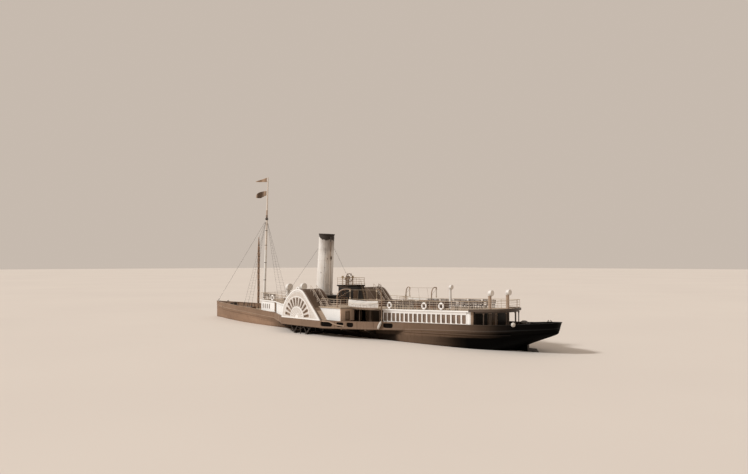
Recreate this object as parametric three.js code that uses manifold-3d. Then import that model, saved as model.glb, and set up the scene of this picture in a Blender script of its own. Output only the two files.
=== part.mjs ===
// A side-wheel paddle steamer at half size.
// Every dimension below is in metres of the real ship; MODEL_MM turns them into
// millimetres of the half-size model. X runs to the bow, Y to port, Z up, and
// the origin lies amidships on the centreline at the waterline.
import * as THREE from "three";
import { mergeVertices } from "three/addons/utils/BufferGeometryUtils.js";
import Module from "manifold-3d";

const wasm = await Module();
wasm.setup();

const MODEL_MM = 500;
const GAP = 0.0007;          // between neighbouring fixed pieces
const RUN = 0.0125;          // running clearance round moving pieces

// Hull
const KEEL_Z = -1.9;
const PLANK = 0.06;
const DECK_DROP = 0.7;       // deck surface below the bulwark's top edge
const HULL_DROP = DECK_DROP + PLANK;
const BULWARK = 0.1;
const STERNPOST_X = -29.898;
const RUDDER_X = -30.0;

// Sponsons and paddle boxes
const SPONSON_DROP = 0.85;   // fascia's lower edge below its top edge
const WHEEL_X = -0.83;
const WHEEL_Z = 1.88;
const WHEEL_R = 2.75;
const WHEEL_IN = 4.15;
const WHEEL_OUT = 6.6;
const FLOATS = 10;
const BOX_IN = 3.78;
const BOX_OUT = 6.86;
const FACE_OUT = 6.97;
const CROWN = 0.09;
// Fan of slots in the paddle box's face: its centre, angles and radii.
const FAN = { x: WHEEL_X + 0.23, z: 2.0, slots: 11, first: 11, step: 16, inner: 1.45, outer: 2.4, tip: 2.48 };

// Houses
const WALL = 0.08;
const DECK_PLATE = 0.12;
const SALOON_FORE = -12.8;
const SALOON_AFT = -25.6;
const SALOON_TURN = -24.85;  // where its sides begin to curve inwards
const HOUSE_FORE = 13.4;
const HOUSE_AFT = 9.25;
const DOOR_H = 1.85;
const SILL = 0.035;          // door sill above the deck
const SILL_GAP = 0.025;      // under a door leaf
const LEAF = 0.05;
const HINGE_R = 0.036;       // barrel along a door leaf's hinge edge
const SEAT = 0.0006;         // running fit of a pin or shaft

// Funnel, bridge and mast
const FUNNEL_FOOT = [2.75, 0, 4.5];
const FUNNEL_HEAD = [2.2, 0, 12.7];
const FUNNEL_R = 1.1;
const BRIDGE_Z = 5.92;
const BRIDGE = { fore: -1.7, aft: -3.9, half: 1.45, inset: 0.15 };
const MAST_FOOT = [17.35, 0];
const MAST_HEAD = [16.4, 21.64];
const HOUNDS_Z = 15.4;

// The stern ventilators stand on the main deck and pass up through the promenade deck.
const VENT_AFT = { x: -26.4, y: 1.5, top: 6.0, r: 0.29, foot: 1.2 };

// Stations of the hull, from bow to stern: half-breadth and depth of each frame.
const FRAMES = [
  { x: 31.0, keel: -0.9, turnZ: 0, turnY: 0.05, full: 2.0, deckY: 0.08, top: 2.52 },
  { x: 30.2, keel: -1.55, turnZ: 0, turnY: 0.14, full: 2.0, deckY: 0.3, top: 2.51 },
  { x: 29.0, keel: -1.85, turnZ: 0, turnY: 0.38, full: 1.6, deckY: 0.72, top: 2.49 },
  { x: 27.0, keel: KEEL_Z, turnZ: 0, turnY: 0.9, full: 1.6, deckY: 1.38, top: 2.46 },
  { x: 23.8, keel: KEEL_Z, turnZ: 0, turnY: 1.65, full: 1.8, deckY: 2.2, top: 2.41 },
  { x: 19.3, keel: KEEL_Z, turnZ: 0, turnY: 2.5, full: 2.3, deckY: 2.95, top: 2.32 },
  { x: 15.5, keel: KEEL_Z, turnZ: 0, turnY: 2.98, full: 3.0, deckY: 3.28, top: 2.2 },
  { x: 12.0, keel: KEEL_Z, turnZ: 0, turnY: 3.25, full: 3.8, deckY: 3.48, top: 2.04 },
  { x: 8.0, keel: KEEL_Z, turnZ: 0, turnY: 3.45, full: 5.0, deckY: 3.6, top: 1.91 },
  { x: 2.0, keel: KEEL_Z, turnZ: 0, turnY: 3.55, full: 6.0, deckY: 3.65, top: 1.88 },
  { x: -6.0, keel: KEEL_Z, turnZ: 0, turnY: 3.55, full: 6.0, deckY: 3.65, top: 1.9 },
  { x: -12.0, keel: KEEL_Z, turnZ: 0, turnY: 3.52, full: 5.0, deckY: 3.65, top: 2.04 },
  { x: -16.0, keel: KEEL_Z, turnZ: 0, turnY: 3.42, full: 4.0, deckY: 3.62, top: 2.16 },
  { x: -20.0, keel: -1.85, turnZ: 0.1, turnY: 3.2, full: 3.0, deckY: 3.55, top: 2.3 },
  { x: -23.0, keel: -1.5, turnZ: 0.5, turnY: 3.0, full: 2.4, deckY: 3.43, top: 2.4 },
  { x: -25.2, keel: -1.05, turnZ: 0.85, turnY: 2.85, full: 2.1, deckY: 3.3, top: 2.47 },
  { x: -27.2, keel: -0.45, turnZ: 1.15, turnY: 2.62, full: 1.9, deckY: 3.02, top: 2.54 },
  { x: -29.0, keel: 0.25, turnZ: 1.5, turnY: 2.25, full: 1.8, deckY: 2.62, top: 2.65 },
  { x: -30.7, keel: 0.95, turnZ: 1.8, turnY: 1.75, full: 1.8, deckY: 2.08, top: 2.81 },
  { x: -31.8, keel: 1.35, turnZ: 1.95, turnY: 1.32, full: 1.8, deckY: 1.58, top: 2.9 },
  { x: -32.7, keel: 1.68, turnZ: 2.06, turnY: 0.88, full: 1.9, deckY: 1.08, top: 2.98 },
  { x: -33.2, keel: 1.88, turnZ: 2.12, turnY: 0.5, full: 2.0, deckY: 0.66, top: 3.03 },
  { x: -33.42, keel: 2.0, turnZ: 2.15, turnY: 0.18, full: 2.0, deckY: 0.28, top: 3.06 },
];

// Height of the promenade deck's walking surface.
const PROMENADE = [
  { x: 14.5, z: 3.58 },
  { x: 8.0, z: 3.5 },
  { x: -6.0, z: 3.5 },
  { x: -12.0, z: 3.53 },
  { x: -16.0, z: 3.63 },
  { x: -20.0, z: 3.76 },
  { x: -25.2, z: 3.92 },
  { x: -29.0, z: 4.06 },
];

// Outer edge of the port sponson in plan.
const SPONSON = [
  [9.2, 3.62], [7.9, 4.25], [5.7, 5.35], [3.5, 6.45], [2.75, 7.0], [-6.0, 7.0], [-8.8, 6.25],
  [-13.3, 4.62], [-16.0, 3.7],
];

// Openings through the sponson's side abaft the paddle box.
const SPONSON_PORTS = [
  { fore: -5.4, aft: -7.2 },
  { fore: -7.8, aft: -8.75 },
  { fore: -9.15, aft: -10.0 },
  { fore: -13.6, aft: -14.8 },
];

// Outline of the paddle box: distance before and abaft the wheel's centre, and height.
const BOX_FORE = [
  [3.46, 1.88], [3.4, 2.35], [3.27, 2.9], [3.05, 3.45], [2.78, 3.88], [2.42, 4.3], [1.98, 4.69],
  [1.45, 5.08], [0.95, 5.33], [0.45, 5.48], [0, 5.52],
];
const BOX_AFT = [
  [0.45, 5.48], [1.0, 5.26], [1.6, 4.74], [2.32, 3.99], [2.99, 3.33], [3.67, 2.67], [4.4, 1.88],
];

function lerpTable(table, x, key) {
  const rows = [...table].sort((a, b) => a.x - b.x);
  if (x <= rows[0].x) return rows[0][key];
  for (let i = 1; i < rows.length; i += 1) {
    if (x <= rows[i].x) {
      const t = (x - rows[i - 1].x) / (rows[i].x - rows[i - 1].x);
      return rows[i - 1][key] + t * (rows[i][key] - rows[i - 1][key]);
    }
  }
  return rows[rows.length - 1][key];
}

const topEdge = (x) => lerpTable(FRAMES, x, "top");
const deckHalf = (x) => lerpTable(FRAMES, x, "deckY");
const deckZ = (x) => topEdge(x) - DECK_DROP;
const promZ = (x) => lerpTable(PROMENADE, x, "z");
const LEVELS = [...new Set([...FRAMES, ...PROMENADE].map((row) => row.x))];

// Every break in the sheer between two positions, with both ends.
function stations(xa, xb) {
  const low = Math.min(xa, xb);
  const high = Math.max(xa, xb);
  const inside = LEVELS.filter((x) => x > low + 0.02 && x < high - 0.02);
  return [low, ...inside, high].sort((a, b) => a - b);
}

// Solids

function fromTriangles(points, faces) {
  let volume = 0;
  for (const [a, b, c] of faces) {
    const [p, q, r] = [points[a], points[b], points[c]];
    volume += p[0] * (q[1] * r[2] - q[2] * r[1]) + p[1] * (q[2] * r[0] - q[0] * r[2])
      + p[2] * (q[0] * r[1] - q[1] * r[0]);
  }
  const ordered = volume < 0 ? faces.map(([a, b, c]) => [a, c, b]) : faces;
  const mesh = new wasm.Mesh({
    numProp: 3,
    vertProperties: new Float32Array(points.flat()),
    triVerts: new Uint32Array(ordered.flat()),
  });
  return new wasm.Manifold(mesh);
}

function fromGeometry(geometry) {
  geometry.deleteAttribute("normal");
  geometry.deleteAttribute("uv");
  const merged = mergeVertices(geometry, 1e-5);
  const at = merged.attributes.position;
  const points = [];
  for (let i = 0; i < at.count; i += 1) points.push([at.getX(i), at.getY(i), at.getZ(i)]);
  const faces = [];
  for (let i = 0; i < merged.index.count; i += 3) {
    const face = [merged.index.getX(i), merged.index.getX(i + 1), merged.index.getX(i + 2)];
    if (new Set(face).size === 3) faces.push(face);
  }
  return fromTriangles(points, faces);
}

// Rings of equal point count, joined one to the next; open runs are capped.
function loft(rings, closed = false) {
  const n = rings[0].length;
  const points = rings.flat();
  const faces = [];
  const last = closed ? rings.length : rings.length - 1;
  for (let i = 0; i < last; i += 1) {
    const a = i * n;
    const b = ((i + 1) % rings.length) * n;
    for (let j = 0; j < n; j += 1) {
      const k = (j + 1) % n;
      faces.push([a + j, a + k, b + k], [a + j, b + k, b + j]);
    }
  }
  if (!closed) {
    for (const [base, flip] of [[0, true], [(rings.length - 1) * n, false]]) {
      for (let j = 1; j < n - 1; j += 1) {
        faces.push(flip ? [base, base + j + 1, base + j] : [base, base + j, base + j + 1]);
      }
    }
  }
  return fromTriangles(points, faces);
}

const all = (...parts) => parts.flat().reduce((a, b) => a.add(b));
const cut = (body, ...tools) => tools.flat().reduce((a, b) => a.subtract(b), body);

function box(x0, x1, y0, y1, z0, z1) {
  const g = new THREE.BoxGeometry(Math.abs(x1 - x0), Math.abs(y1 - y0), Math.abs(z1 - z0));
  g.translate((x0 + x1) / 2, (y0 + y1) / 2, (z0 + z1) / 2);
  return fromGeometry(g);
}

function prism(outline, axis, low, high, holes = []) {
  const shape = new THREE.Shape(outline.map(([u, v]) => new THREE.Vector2(u, v)));
  for (const hole of holes) {
    shape.holes.push(new THREE.Path(hole.map(([u, v]) => new THREE.Vector2(u, v))));
  }
  const g = new THREE.ExtrudeGeometry(shape, { depth: high - low, bevelEnabled: false });
  g.translate(0, 0, low);
  const at = g.attributes.position;
  for (let i = 0; i < at.count; i += 1) {
    const [u, v, w] = [at.getX(i), at.getY(i), at.getZ(i)];
    if (axis === "y") at.setXYZ(i, u, w, v);
    if (axis === "x") at.setXYZ(i, w, u, v);
  }
  return fromGeometry(g);
}

function rod(from, to, r0, r1 = r0, sides = 8) {
  const a = new THREE.Vector3(...from);
  const b = new THREE.Vector3(...to);
  const g = new THREE.CylinderGeometry(r1, r0, a.distanceTo(b), sides);
  g.rotateX(Math.PI / 2);
  const m = new THREE.Matrix4().lookAt(b, a, Math.abs(b.z - a.z) > 0.9 * a.distanceTo(b)
    ? new THREE.Vector3(1, 0, 0) : new THREE.Vector3(0, 0, 1));
  g.applyMatrix4(m);
  g.translate((a.x + b.x) / 2, (a.y + b.y) / 2, (a.z + b.z) / 2);
  return fromGeometry(g);
}

// A round bar along a run of points.
function bar(run, r, sides = 6) {
  const at = run.map((p) => new THREE.Vector3(...p));
  const rings = at.map((p, i) => {
    const before = at[Math.max(i - 1, 0)];
    const after = at[Math.min(i + 1, at.length - 1)];
    const along = after.clone().sub(before).normalize();
    const side = Math.abs(along.z) > 0.95 ? new THREE.Vector3(1, 0, 0) : new THREE.Vector3(0, 0, 1);
    const u = side.clone().sub(along.clone().multiplyScalar(side.dot(along))).normalize();
    const v = along.clone().cross(u);
    return Array.from({ length: sides }, (_, j) => {
      const t = (2 * Math.PI * (j + 0.5)) / sides;
      return p.clone().addScaledVector(u, r * Math.cos(t)).addScaledVector(v, r * Math.sin(t)).toArray();
    });
  });
  return loft(rings);
}

function turned(profile, centre, sides = 16) {
  const g = new THREE.LatheGeometry(profile.map(([r, z]) => new THREE.Vector2(r, z)), sides);
  g.rotateX(Math.PI / 2);
  g.translate(...centre);
  return fromGeometry(g);
}

// Everything between two heights that both follow the sheer.
function between(low, high, xa = -34.5, xb = 32, half = 9) {
  return loft(stations(xa, xb).map((x) => [
    [x, -half, low(x)], [x, half, low(x)], [x, half, high(x)], [x, -half, high(x)],
  ]));
}

const mirrored = (solid) => solid.mirror([0, 1, 0]);
const bothSides = (outline) => [...outline, ...outline.map(([x, y]) => [x, -y]).reverse()];

// A run of points moved sideways in plan, to the left of its direction.
function offsetRun(run, distance, closed = false) {
  return run.map((p, i) => {
    const before = closed ? run[(i + run.length - 1) % run.length] : run[Math.max(i - 1, 0)];
    const after = closed ? run[(i + 1) % run.length] : run[Math.min(i + 1, run.length - 1)];
    const a = new THREE.Vector2(p[0] - before[0], p[1] - before[1]);
    const b = new THREE.Vector2(after[0] - p[0], after[1] - p[1]);
    if (a.length() < 1e-6) a.copy(b);
    if (b.length() < 1e-6) b.copy(a);
    a.normalize();
    b.normalize();
    const m = a.clone().add(b).normalize();
    const reach = distance / Math.max(m.dot(a), 0.5);
    return [p[0] - m.y * reach, p[1] + m.x * reach];
  });
}

// An upright wall along a run in plan, of a given thickness inwards.
function wallRun(run, thickness, low, high, closed = false) {
  const inner = offsetRun(run, thickness, closed);
  const rings = run.map(([x, y], i) => {
    const [u, v] = inner[i];
    return [[x, y, low(x)], [u, v, low(u)], [u, v, high(u)], [x, y, high(x)]];
  });
  return loft(rings, closed);
}

// Puts the sheer's breaks into a run in plan.
function withStations(run) {
  const out = [];
  for (let i = 0; i < run.length - 1; i += 1) {
    const [a, b] = [run[i], run[i + 1]];
    out.push(a);
    const [low, high] = [Math.min(a[0], b[0]) + 0.02, Math.max(a[0], b[0]) - 0.02];
    const inside = LEVELS.filter((x) => x > low && x < high);
    inside.sort((p, q) => (b[0] > a[0] ? p - q : q - p));
    for (const x of inside) {
      const t = (x - a[0]) / (b[0] - a[0]);
      out.push([x, a[1] + t * (b[1] - a[1])]);
    }
  }
  out.push(run[run.length - 1]);
  return out;
}

const part = new THREE.Group();

function node(name, solid) {
  const mesh = solid.getMesh();
  const at = new Float32Array(mesh.numVert * 3);
  for (let i = 0; i < mesh.numVert; i += 1) {
    for (let j = 0; j < 3; j += 1) at[3 * i + j] = mesh.vertProperties[i * mesh.numProp + j] * MODEL_MM;
  }
  const g = new THREE.BufferGeometry();
  g.setAttribute("position", new THREE.BufferAttribute(at, 3));
  g.setIndex(new THREE.BufferAttribute(new Uint32Array(mesh.triVerts), 1));
  const made = new THREE.Mesh(g);
  made.name = name;
  part.add(made);
}

function pair(stem, solid) {
  node(`${stem}_port`, solid);
  node(`${stem}_starboard`, mirrored(solid));
}

// Hull with its keel, deadwood and sternpost

const SECTION_TURNS = [90, 70, 52, 34, 16, 0];
const hullRings = FRAMES.map((f) => {
  const half = SECTION_TURNS.map((deg) => {
    const t = (deg * Math.PI) / 180;
    const y = f.turnY * Math.abs(Math.cos(t)) ** (2 / f.full);
    const z = f.turnZ - (f.turnZ - f.keel) * Math.abs(Math.sin(t)) ** (2 / f.full);
    return [f.x, Math.max(y, 0.03), z];
  });
  const deck = f.top - HULL_DROP;
  half.push([f.x, f.turnY + 0.6 * (f.deckY - f.turnY), f.turnZ + 0.55 * (deck - f.turnZ)]);
  half.push([f.x, f.deckY, deck]);
  return [...half, ...half.map(([x, y, z]) => [x, -y, z]).reverse()];
});
const deadwood = prism(
  [[-18, -1.88], [-18, -1.5], [-25.2, -0.8], [-27.2, -0.2], [-29, 0.45],
    [STERNPOST_X, 0.8], [STERNPOST_X, -1.88]],
  "y", -0.13, 0.13,
);
const keel = prism(
  [[27.5, -1.85], [27.0, -2.02], [-30.2, -2.02], [-30.2, -1.9], [STERNPOST_X, -1.9], [STERNPOST_X, -1.8],
    [-19, -1.8], [-18, -1.85]],
  "y", -0.13, 0.13,
);
function belting(xs) {
  return loft(xs.map((x) => {
    const z = topEdge(x) - HULL_DROP;
    const y = deckHalf(x);
    return [
      [x, y - 0.12, z - 0.2], [x, y + 0.05, z - 0.16], [x, y + 0.05, z - 0.04], [x, y - 0.12, z - 0.02],
    ];
  }));
}
const belts = [stations(9.3, 30.2), stations(-32.7, -16.05)].map((xs) => belting(xs));
const rudderWell = rod([RUDDER_X, 0, 0.3], [RUDDER_X, 0, 1.3], 0.108, 0.108, 16);
node("hull", cut(all(loft(hullRings), deadwood, keel, belts, belts.map(mirrored)), rudderWell));

// Rudder on the sternpost

const blade = prism(
  [[RUDDER_X, -1.78], [-31.35, -1.72], [-31.5, -0.9], [-31.15, 0.1], [-30.95, 0.35], [RUDDER_X, 0.35]],
  "y", -0.06, 0.06,
);
const stock = rod([RUDDER_X, 0, -1.9 + SEAT], [RUDDER_X, 0, 1.2], 0.09, 0.09, 10);
node("rudder", all(blade, stock));

// Bulwarks: the hull's side carried up round bow and stern

function bulwark(xs, flare) {
  const port = xs.map((x) => [x, deckHalf(x)]);
  const foot = bothSides(port);
  const inner = offsetRun(foot, flare.inwards * BULWARK);
  const rings = foot.map(([x, y], i) => {
    const out = flare.at(x);
    const [u, w] = inner[i];
    const v = w * y > 0.0004 ? w : 0.02 * Math.sign(y);
    const z = topEdge(x);
    const [ox, oy] = [x + (x - u) * out, y + (y - v) * out];
    const [ix, iy] = [u + (x - u) * out, v + (y - v) * out];
    return [[x, y, z - HULL_DROP + GAP], [ox, oy, z], [ix, iy, z], [u, v, z - HULL_DROP + GAP]];
  });
  return loft(rings);
}
const BULWARK_FORE = 9.21;
const BULWARK_AFT = -16.02;
const foreStations = stations(BULWARK_FORE, 31.0);
const aftStations = stations(-33.42, BULWARK_AFT).reverse();
const bulwarkFore = bulwark(foreStations, { inwards: -1, at: () => 0.5 });
const sternFlare = (x) => (x < -29 ? 0.6 + (-29 - x) * 0.35 : 0.6);
node("bulwark_fore", bulwarkFore);
node("bulwark_aft", bulwark(aftStations, { inwards: 1, at: sternFlare }));

// Main deck

function insetRun(xs, distance) {
  return offsetRun(bothSides(xs.map((x) => [x, deckHalf(x)])), distance);
}
const deckInset = BULWARK + 0.02;
const openXs = stations(BULWARK_AFT + 0.1, 9.1);
const deckPlan = [
  ...insetRun(stations(9.16, 30.2), -deckInset),
  ...openXs.slice().reverse().map((x) => [x, -deckHalf(x)]),
  ...insetRun(stations(-33.2, BULWARK_AFT + 0.03).reverse(), deckInset).reverse(),
  ...openXs.map((x) => [x, deckHalf(x)]),
];
const planking = between((x) => topEdge(x) - HULL_DROP + GAP, deckZ);
node("main_deck", prism(deckPlan, "z", 0, 4).intersect(planking));

// Sponsons

const boxKnots = [
  ...BOX_FORE.map(([dx, z]) => [WHEEL_X + dx, z]),
  ...BOX_AFT.map(([dx, z]) => [WHEEL_X - dx, z]),
];
const boxCurve = new THREE.SplineCurve(boxKnots.map(([x, z]) => new THREE.Vector2(x, z)));
const boxXZ = boxCurve.getPoints(26).map(({ x, y }) => [x, y]);
const sponsonRun = withStations(SPONSON);
const fascia = wallRun(sponsonRun, 0.1, (x) => topEdge(x) - SPONSON_DROP, (x) => topEdge(x));
const strake = loft(sponsonRun.map(([x, y]) => {
  const z = topEdge(x) - 0.74;
  return [[x, y - 0.02, z - 0.05], [x, y + 0.03, z - 0.04], [x, y + 0.03, z + 0.04], [x, y - 0.02, z + 0.05]];
}));
const plate = loft(sponsonRun.map(([x, y]) => [
  [x, deckHalf(x) + GAP, deckZ(x) - 0.15], [x, y - 0.05, deckZ(x) - 0.15],
  [x, y - 0.05, deckZ(x)], [x, deckHalf(x) + GAP, deckZ(x)],
]));
const well = box(WHEEL_X - 3.2, WHEEL_X + 3.2, WHEEL_IN - 0.15, WHEEL_OUT + 0.15, 0, 3);
const BRACKETS = [6.6, 4.0, -5.4, -8.4, -11.4];
const brackets = BRACKETS.map((x) => {
  const outer = lerpTable(SPONSON.map(([sx, sy]) => ({ x: sx, y: sy })), x, "y") - 0.06;
  const under = topEdge(x) - SPONSON_DROP;
  return prism([[deckHalf(x) + 0.01, under + 0.02], [outer, under + 0.02], [outer, under - 0.1],
    [deckHalf(x) - 0.3, 0.2], [deckHalf(x) - 0.3, 0.5]], "x", x - 0.07, x + 0.07);
});
const hullSkin = loft(hullRings);
const portHoles = SPONSON_PORTS.map(({ fore, aft }) => {
  const middle = (fore + aft) / 2;
  return box(fore, aft, 3.7, 7.2, deckZ(middle) + 0.07, topEdge(middle) - 0.1);
});
const sponsonRaw = all(cut(all(fascia, plate), well, portHoles), strake, brackets);
const overDeckEdge = loft(stations(-16.3, 9.3).map((x) => {
  const [half, low, high] = [deckHalf(x) + GAP, topEdge(x) - HULL_DROP, topEdge(x) + 1];
  return [[x, -half, low], [x, half, low], [x, half, high], [x, -half, high]];
}));
function besideHull(solid, side) {
  return cut(solid, hullSkin, hullSkin.translate([0, side * GAP, 0]), overDeckEdge);
}
node("sponson_port", besideHull(sponsonRaw, 1));
node("sponson_starboard", besideHull(mirrored(sponsonRaw), -1));

// Paddle boxes and their pierced faces

function boxOutline(grow, foot) {
  const outer = offsetRun(boxXZ, -grow);
  return [[outer[0][0], foot], ...outer, [outer[outer.length - 1][0], foot]];
}
const boxFloor = (x) => deckZ(x) + GAP;
const crownOuter = prism(boxOutline(0, 1), "y", BOX_IN, BOX_OUT);
const crownInner = prism(boxOutline(-CROWN, 0.9), "y", BOX_IN + 0.1, BOX_OUT + 0.1);
const SHAFT_R = 0.18;
const BEARING_SIDES = 24;
const bearingR = (SHAFT_R + SEAT) / Math.cos(Math.PI / BEARING_SIDES);
const shaftHole = rod([WHEEL_X, 3, WHEEL_Z], [WHEEL_X, 5, WHEEL_Z], bearingR, bearingR, BEARING_SIDES);
const overDeck = between(boxFloor, () => 9, -8, 8);
pair("paddle_box", cut(crownOuter, crownInner, shaftHole).intersect(overDeck));

const faceSolid = prism(boxOutline(0.03, 1), "y", BOX_OUT + GAP, FACE_OUT)
  .intersect(between((x) => topEdge(x) + GAP, () => 9, -8, 8));
const fanTools = Array.from({ length: FAN.slots }, (_, i) => {
  const t = ((FAN.first + FAN.step * i) * Math.PI) / 180;
  const along = [Math.cos(t), Math.sin(t)];
  const across = [-Math.sin(t), Math.cos(t)];
  const corner = (r, w) => [
    FAN.x + along[0] * r + across[0] * w,
    FAN.z + along[1] * r + across[1] * w,
  ];
  return prism([
    corner(FAN.inner, -0.08), corner(FAN.outer, -0.15), corner(FAN.tip, 0), corner(FAN.outer, 0.15),
    corner(FAN.inner, 0.08),
  ], "y", 6, 8);
});
pair("paddle_face", cut(faceSolid, fanTools));

// Paddle wheels on one crankshaft

function ringY(rOut, rIn, y0, y1, sides) {
  const circle = (r) => Array.from({ length: sides }, (_, i) => {
    const t = (2 * Math.PI * i) / sides;
    return [WHEEL_X + r * Math.cos(t), WHEEL_Z + r * Math.sin(t)];
  });
  return prism(circle(rOut), "y", y0, y1, rIn ? [circle(rIn)] : []);
}
function paddleWheel() {
  const pieces = [ringY(0.5, 0, WHEEL_IN, WHEEL_OUT, 10)];
  const planes = [WHEEL_IN, WHEEL_OUT - 0.1];
  for (const y of planes) {
    pieces.push(ringY(2.2, 2.08, y, y + 0.1, FLOATS * 2));
  }
  for (let i = 0; i < FLOATS; i += 1) {
    const t = (2 * Math.PI * (i + 0.5)) / FLOATS;
    const turn = (u, v) => [
      WHEEL_X + u * Math.cos(t) - v * Math.sin(t),
      WHEEL_Z + u * Math.sin(t) + v * Math.cos(t),
    ];
    const arm = [turn(0.4, -0.06), turn(2.66, -0.06), turn(2.66, 0.06), turn(0.4, 0.06)];
    for (const y of planes) pieces.push(prism(arm, "y", y + 0.015, y + 0.085));
    pieces.push(prism([turn(2.0, -0.03), turn(WHEEL_R, -0.03), turn(WHEEL_R, 0.03), turn(2.0, 0.03)],
      "y", WHEEL_IN + 0.05, WHEEL_OUT - 0.05));
  }
  return all(pieces);
}
const shaftReach = WHEEL_IN - GAP;
const wheelSolid = paddleWheel();
pair("paddle_wheel", wheelSolid);
const shaftEnds = [-shaftReach, shaftReach].map((y) => [WHEEL_X, y, WHEEL_Z]);
node("paddle_shaft", rod(...shaftEnds, SHAFT_R, SHAFT_R, 14));

// Promenade deck

const promenadePort = [
  [13.6, 0], [13.6, 3.1], [9.2, 3.5], [8.68, 3.76], [3.94, 6.08], [WHEEL_X + 2.95, 6.08],
  [WHEEL_X + 2.95, BOX_IN - 0.02], [WHEEL_X - 2.72, BOX_IN - 0.02], [WHEEL_X - 2.72, 5.95], [-7.86, 5.95],
  [-7.86, 4.0], [-12.6, 3.8],
  [-16, 3.76], [-20, 3.7], [-23, 3.58], [-25.2, 3.45], [-26.8, 2.9], [-27.8, 1.9], [-28.2, 0.8], [-28.25, 0],
];
const promenadePlan = bothSides(promenadePort).filter(([, y], i, list) => y !== 0 || i < list.length / 2);
const boxTool = prism(boxOutline(0.012, 1), "y", BOX_IN - 0.012, 8);
const boxTools = [boxTool, mirrored(boxTool)];
const promenadeSlab = between((x) => promZ(x) - DECK_PLATE, promZ);
const skylightWell = box(-6.6, -8.9, -0.7, 0.7, 3, 5);
const saloonWell = box(-15.4, -18.6, -0.75, 0.75, 3, 5);
const trunkWays = [-1, 1].map((side) => rod(
  [VENT_AFT.x, side * VENT_AFT.y, 3], [VENT_AFT.x, side * VENT_AFT.y, 5],
  VENT_AFT.r * 0.6 + GAP, VENT_AFT.r * 0.6 + GAP, 12,
));
node("promenade_deck", cut(prism(promenadePlan, "z", 3, 5).intersect(promenadeSlab),
  boxTools, skylightWell, saloonWell, trunkWays));
const underDeck = (x) => promZ(x) - DECK_PLATE - GAP;
const overMain = (x) => deckZ(x) + GAP;

// Fore deckhouse

const rooms = between(overMain, underDeck);
const housePlan = [[HOUSE_FORE, 3.0], [HOUSE_AFT, 3.38], [HOUSE_AFT, -3.38], [HOUSE_FORE, -3.0]];
const houseInner = [
  [HOUSE_FORE - WALL, 2.92], [HOUSE_AFT + WALL, 3.3], [HOUSE_AFT + WALL, -3.3], [HOUSE_FORE - WALL, -2.92],
];
const houseWindows = [12.85, 12.25, 11.65, 11.05].map((x) => box(x - 0.15, x + 0.15, -5, 5, 2.35, 3.05));
const frontWindows = [-2.3, -0.45, 0.45, 2.3].map(
  (y) => box(HOUSE_FORE - 0.3, HOUSE_FORE + 0.3, y - 0.2, y + 0.2, 2.4, 3.05),
);

// A doorway and its leaf: hinge is the y of the hinge's axis, and free the leaf's far edge.
function doorway({ x, hinge, free, floor = deckZ(x) }) {
  const side = Math.sign(hinge - free);
  const jambs = [hinge + side * (HINGE_R + SEAT), free - side * RUN];
  return box(x - 0.4, x + 0.4, ...jambs, floor + SILL, floor + DOOR_H + 0.01);
}
function doorLeaf({ x, hinge, free, floor = deckZ(x) }) {
  const [low, high] = [floor + SILL + SILL_GAP, floor + DOOR_H - 0.01];
  const panel = box(x - LEAF / 2, x + LEAF / 2, Math.min(hinge, free), Math.max(hinge, free), low, high);
  return all(panel, rod([x, hinge, low], [x, hinge, high], HINGE_R, HINGE_R, 12));
}
const MID = WALL / 2;
const flip = (door) => ({ ...door, hinge: -door.hinge, free: -door.free });
const DOORS = {
  fore_door: { x: HOUSE_FORE - MID, hinge: 1.72, free: 0.98 },
  saloon_door: { x: SALOON_FORE - MID, hinge: 2.07, free: 1.33 },
  veranda_door: { x: SALOON_AFT + MID, hinge: 0.81, free: 0.03 },
  sponson_door: { x: -7.78 + MID, hinge: 5.1, free: 4.4 },
};
const BRIDGE_DOOR = { x: BRIDGE.aft + BRIDGE.inset + MID, hinge: 0.36, free: -0.36, floor: promZ(-3) };

node("fore_house", cut(prism(housePlan, "z", 0.5, 5, [houseInner]).intersect(rooms),
  houseWindows, frontWindows, doorway(DOORS.fore_door), doorway(flip(DOORS.fore_door))));

// Aft saloon

function saloonEdge(inset) {
  const xs = stations(SALOON_TURN, SALOON_FORE + (inset ? -inset : 0)).reverse();
  const side = xs.map((x) => [x, deckHalf(x) - inset - 0.005]);
  const [ex, ey] = [SALOON_AFT + inset, deckHalf(SALOON_TURN) - inset];
  for (const deg of [25, 50, 75, 90]) {
    const t = (deg * Math.PI) / 180;
    const turn = SALOON_TURN - ex;
    side.push([SALOON_TURN - turn * Math.sin(t), ey - turn * (1 - Math.cos(t)) - 0.005]);
  }
  return side;
}
const saloonPlan = bothSides(saloonEdge(0));
const saloonHole = bothSides(saloonEdge(WALL));
const saloonWindows = Array.from({ length: 18 }, (_, i) => {
  const x = -13.12 - 0.67 * i;
  const z = topEdge(x) + 0.13;
  return box(x - 0.21, x + 0.21, -5, 5, z, z + 0.92);
});
const bulwarkTool = between((x) => topEdge(x) - 3, (x) => topEdge(x) + GAP);
const bulwarkEdge = (inset) => bothSides(
  stations(-27, BULWARK_AFT + 0.01).reverse().map((x) => [x, deckHalf(x) + inset]),
);
const bulwarkBand = prism(bulwarkEdge(0.5), "z", 0, 5)
  .subtract(prism(bulwarkEdge(-0.125), "z", -1, 6))
  .intersect(bulwarkTool);
node("aft_saloon", cut(
  prism(saloonPlan, "z", 0.5, 5, [saloonHole]).intersect(rooms),
  bulwarkBand, saloonWindows,
  doorway(DOORS.veranda_door), doorway(flip(DOORS.veranda_door)),
  doorway(DOORS.saloon_door), doorway(flip(DOORS.saloon_door)),
));

// Sponson houses: the wing wall forward of each box, and the house abaft it

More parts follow.
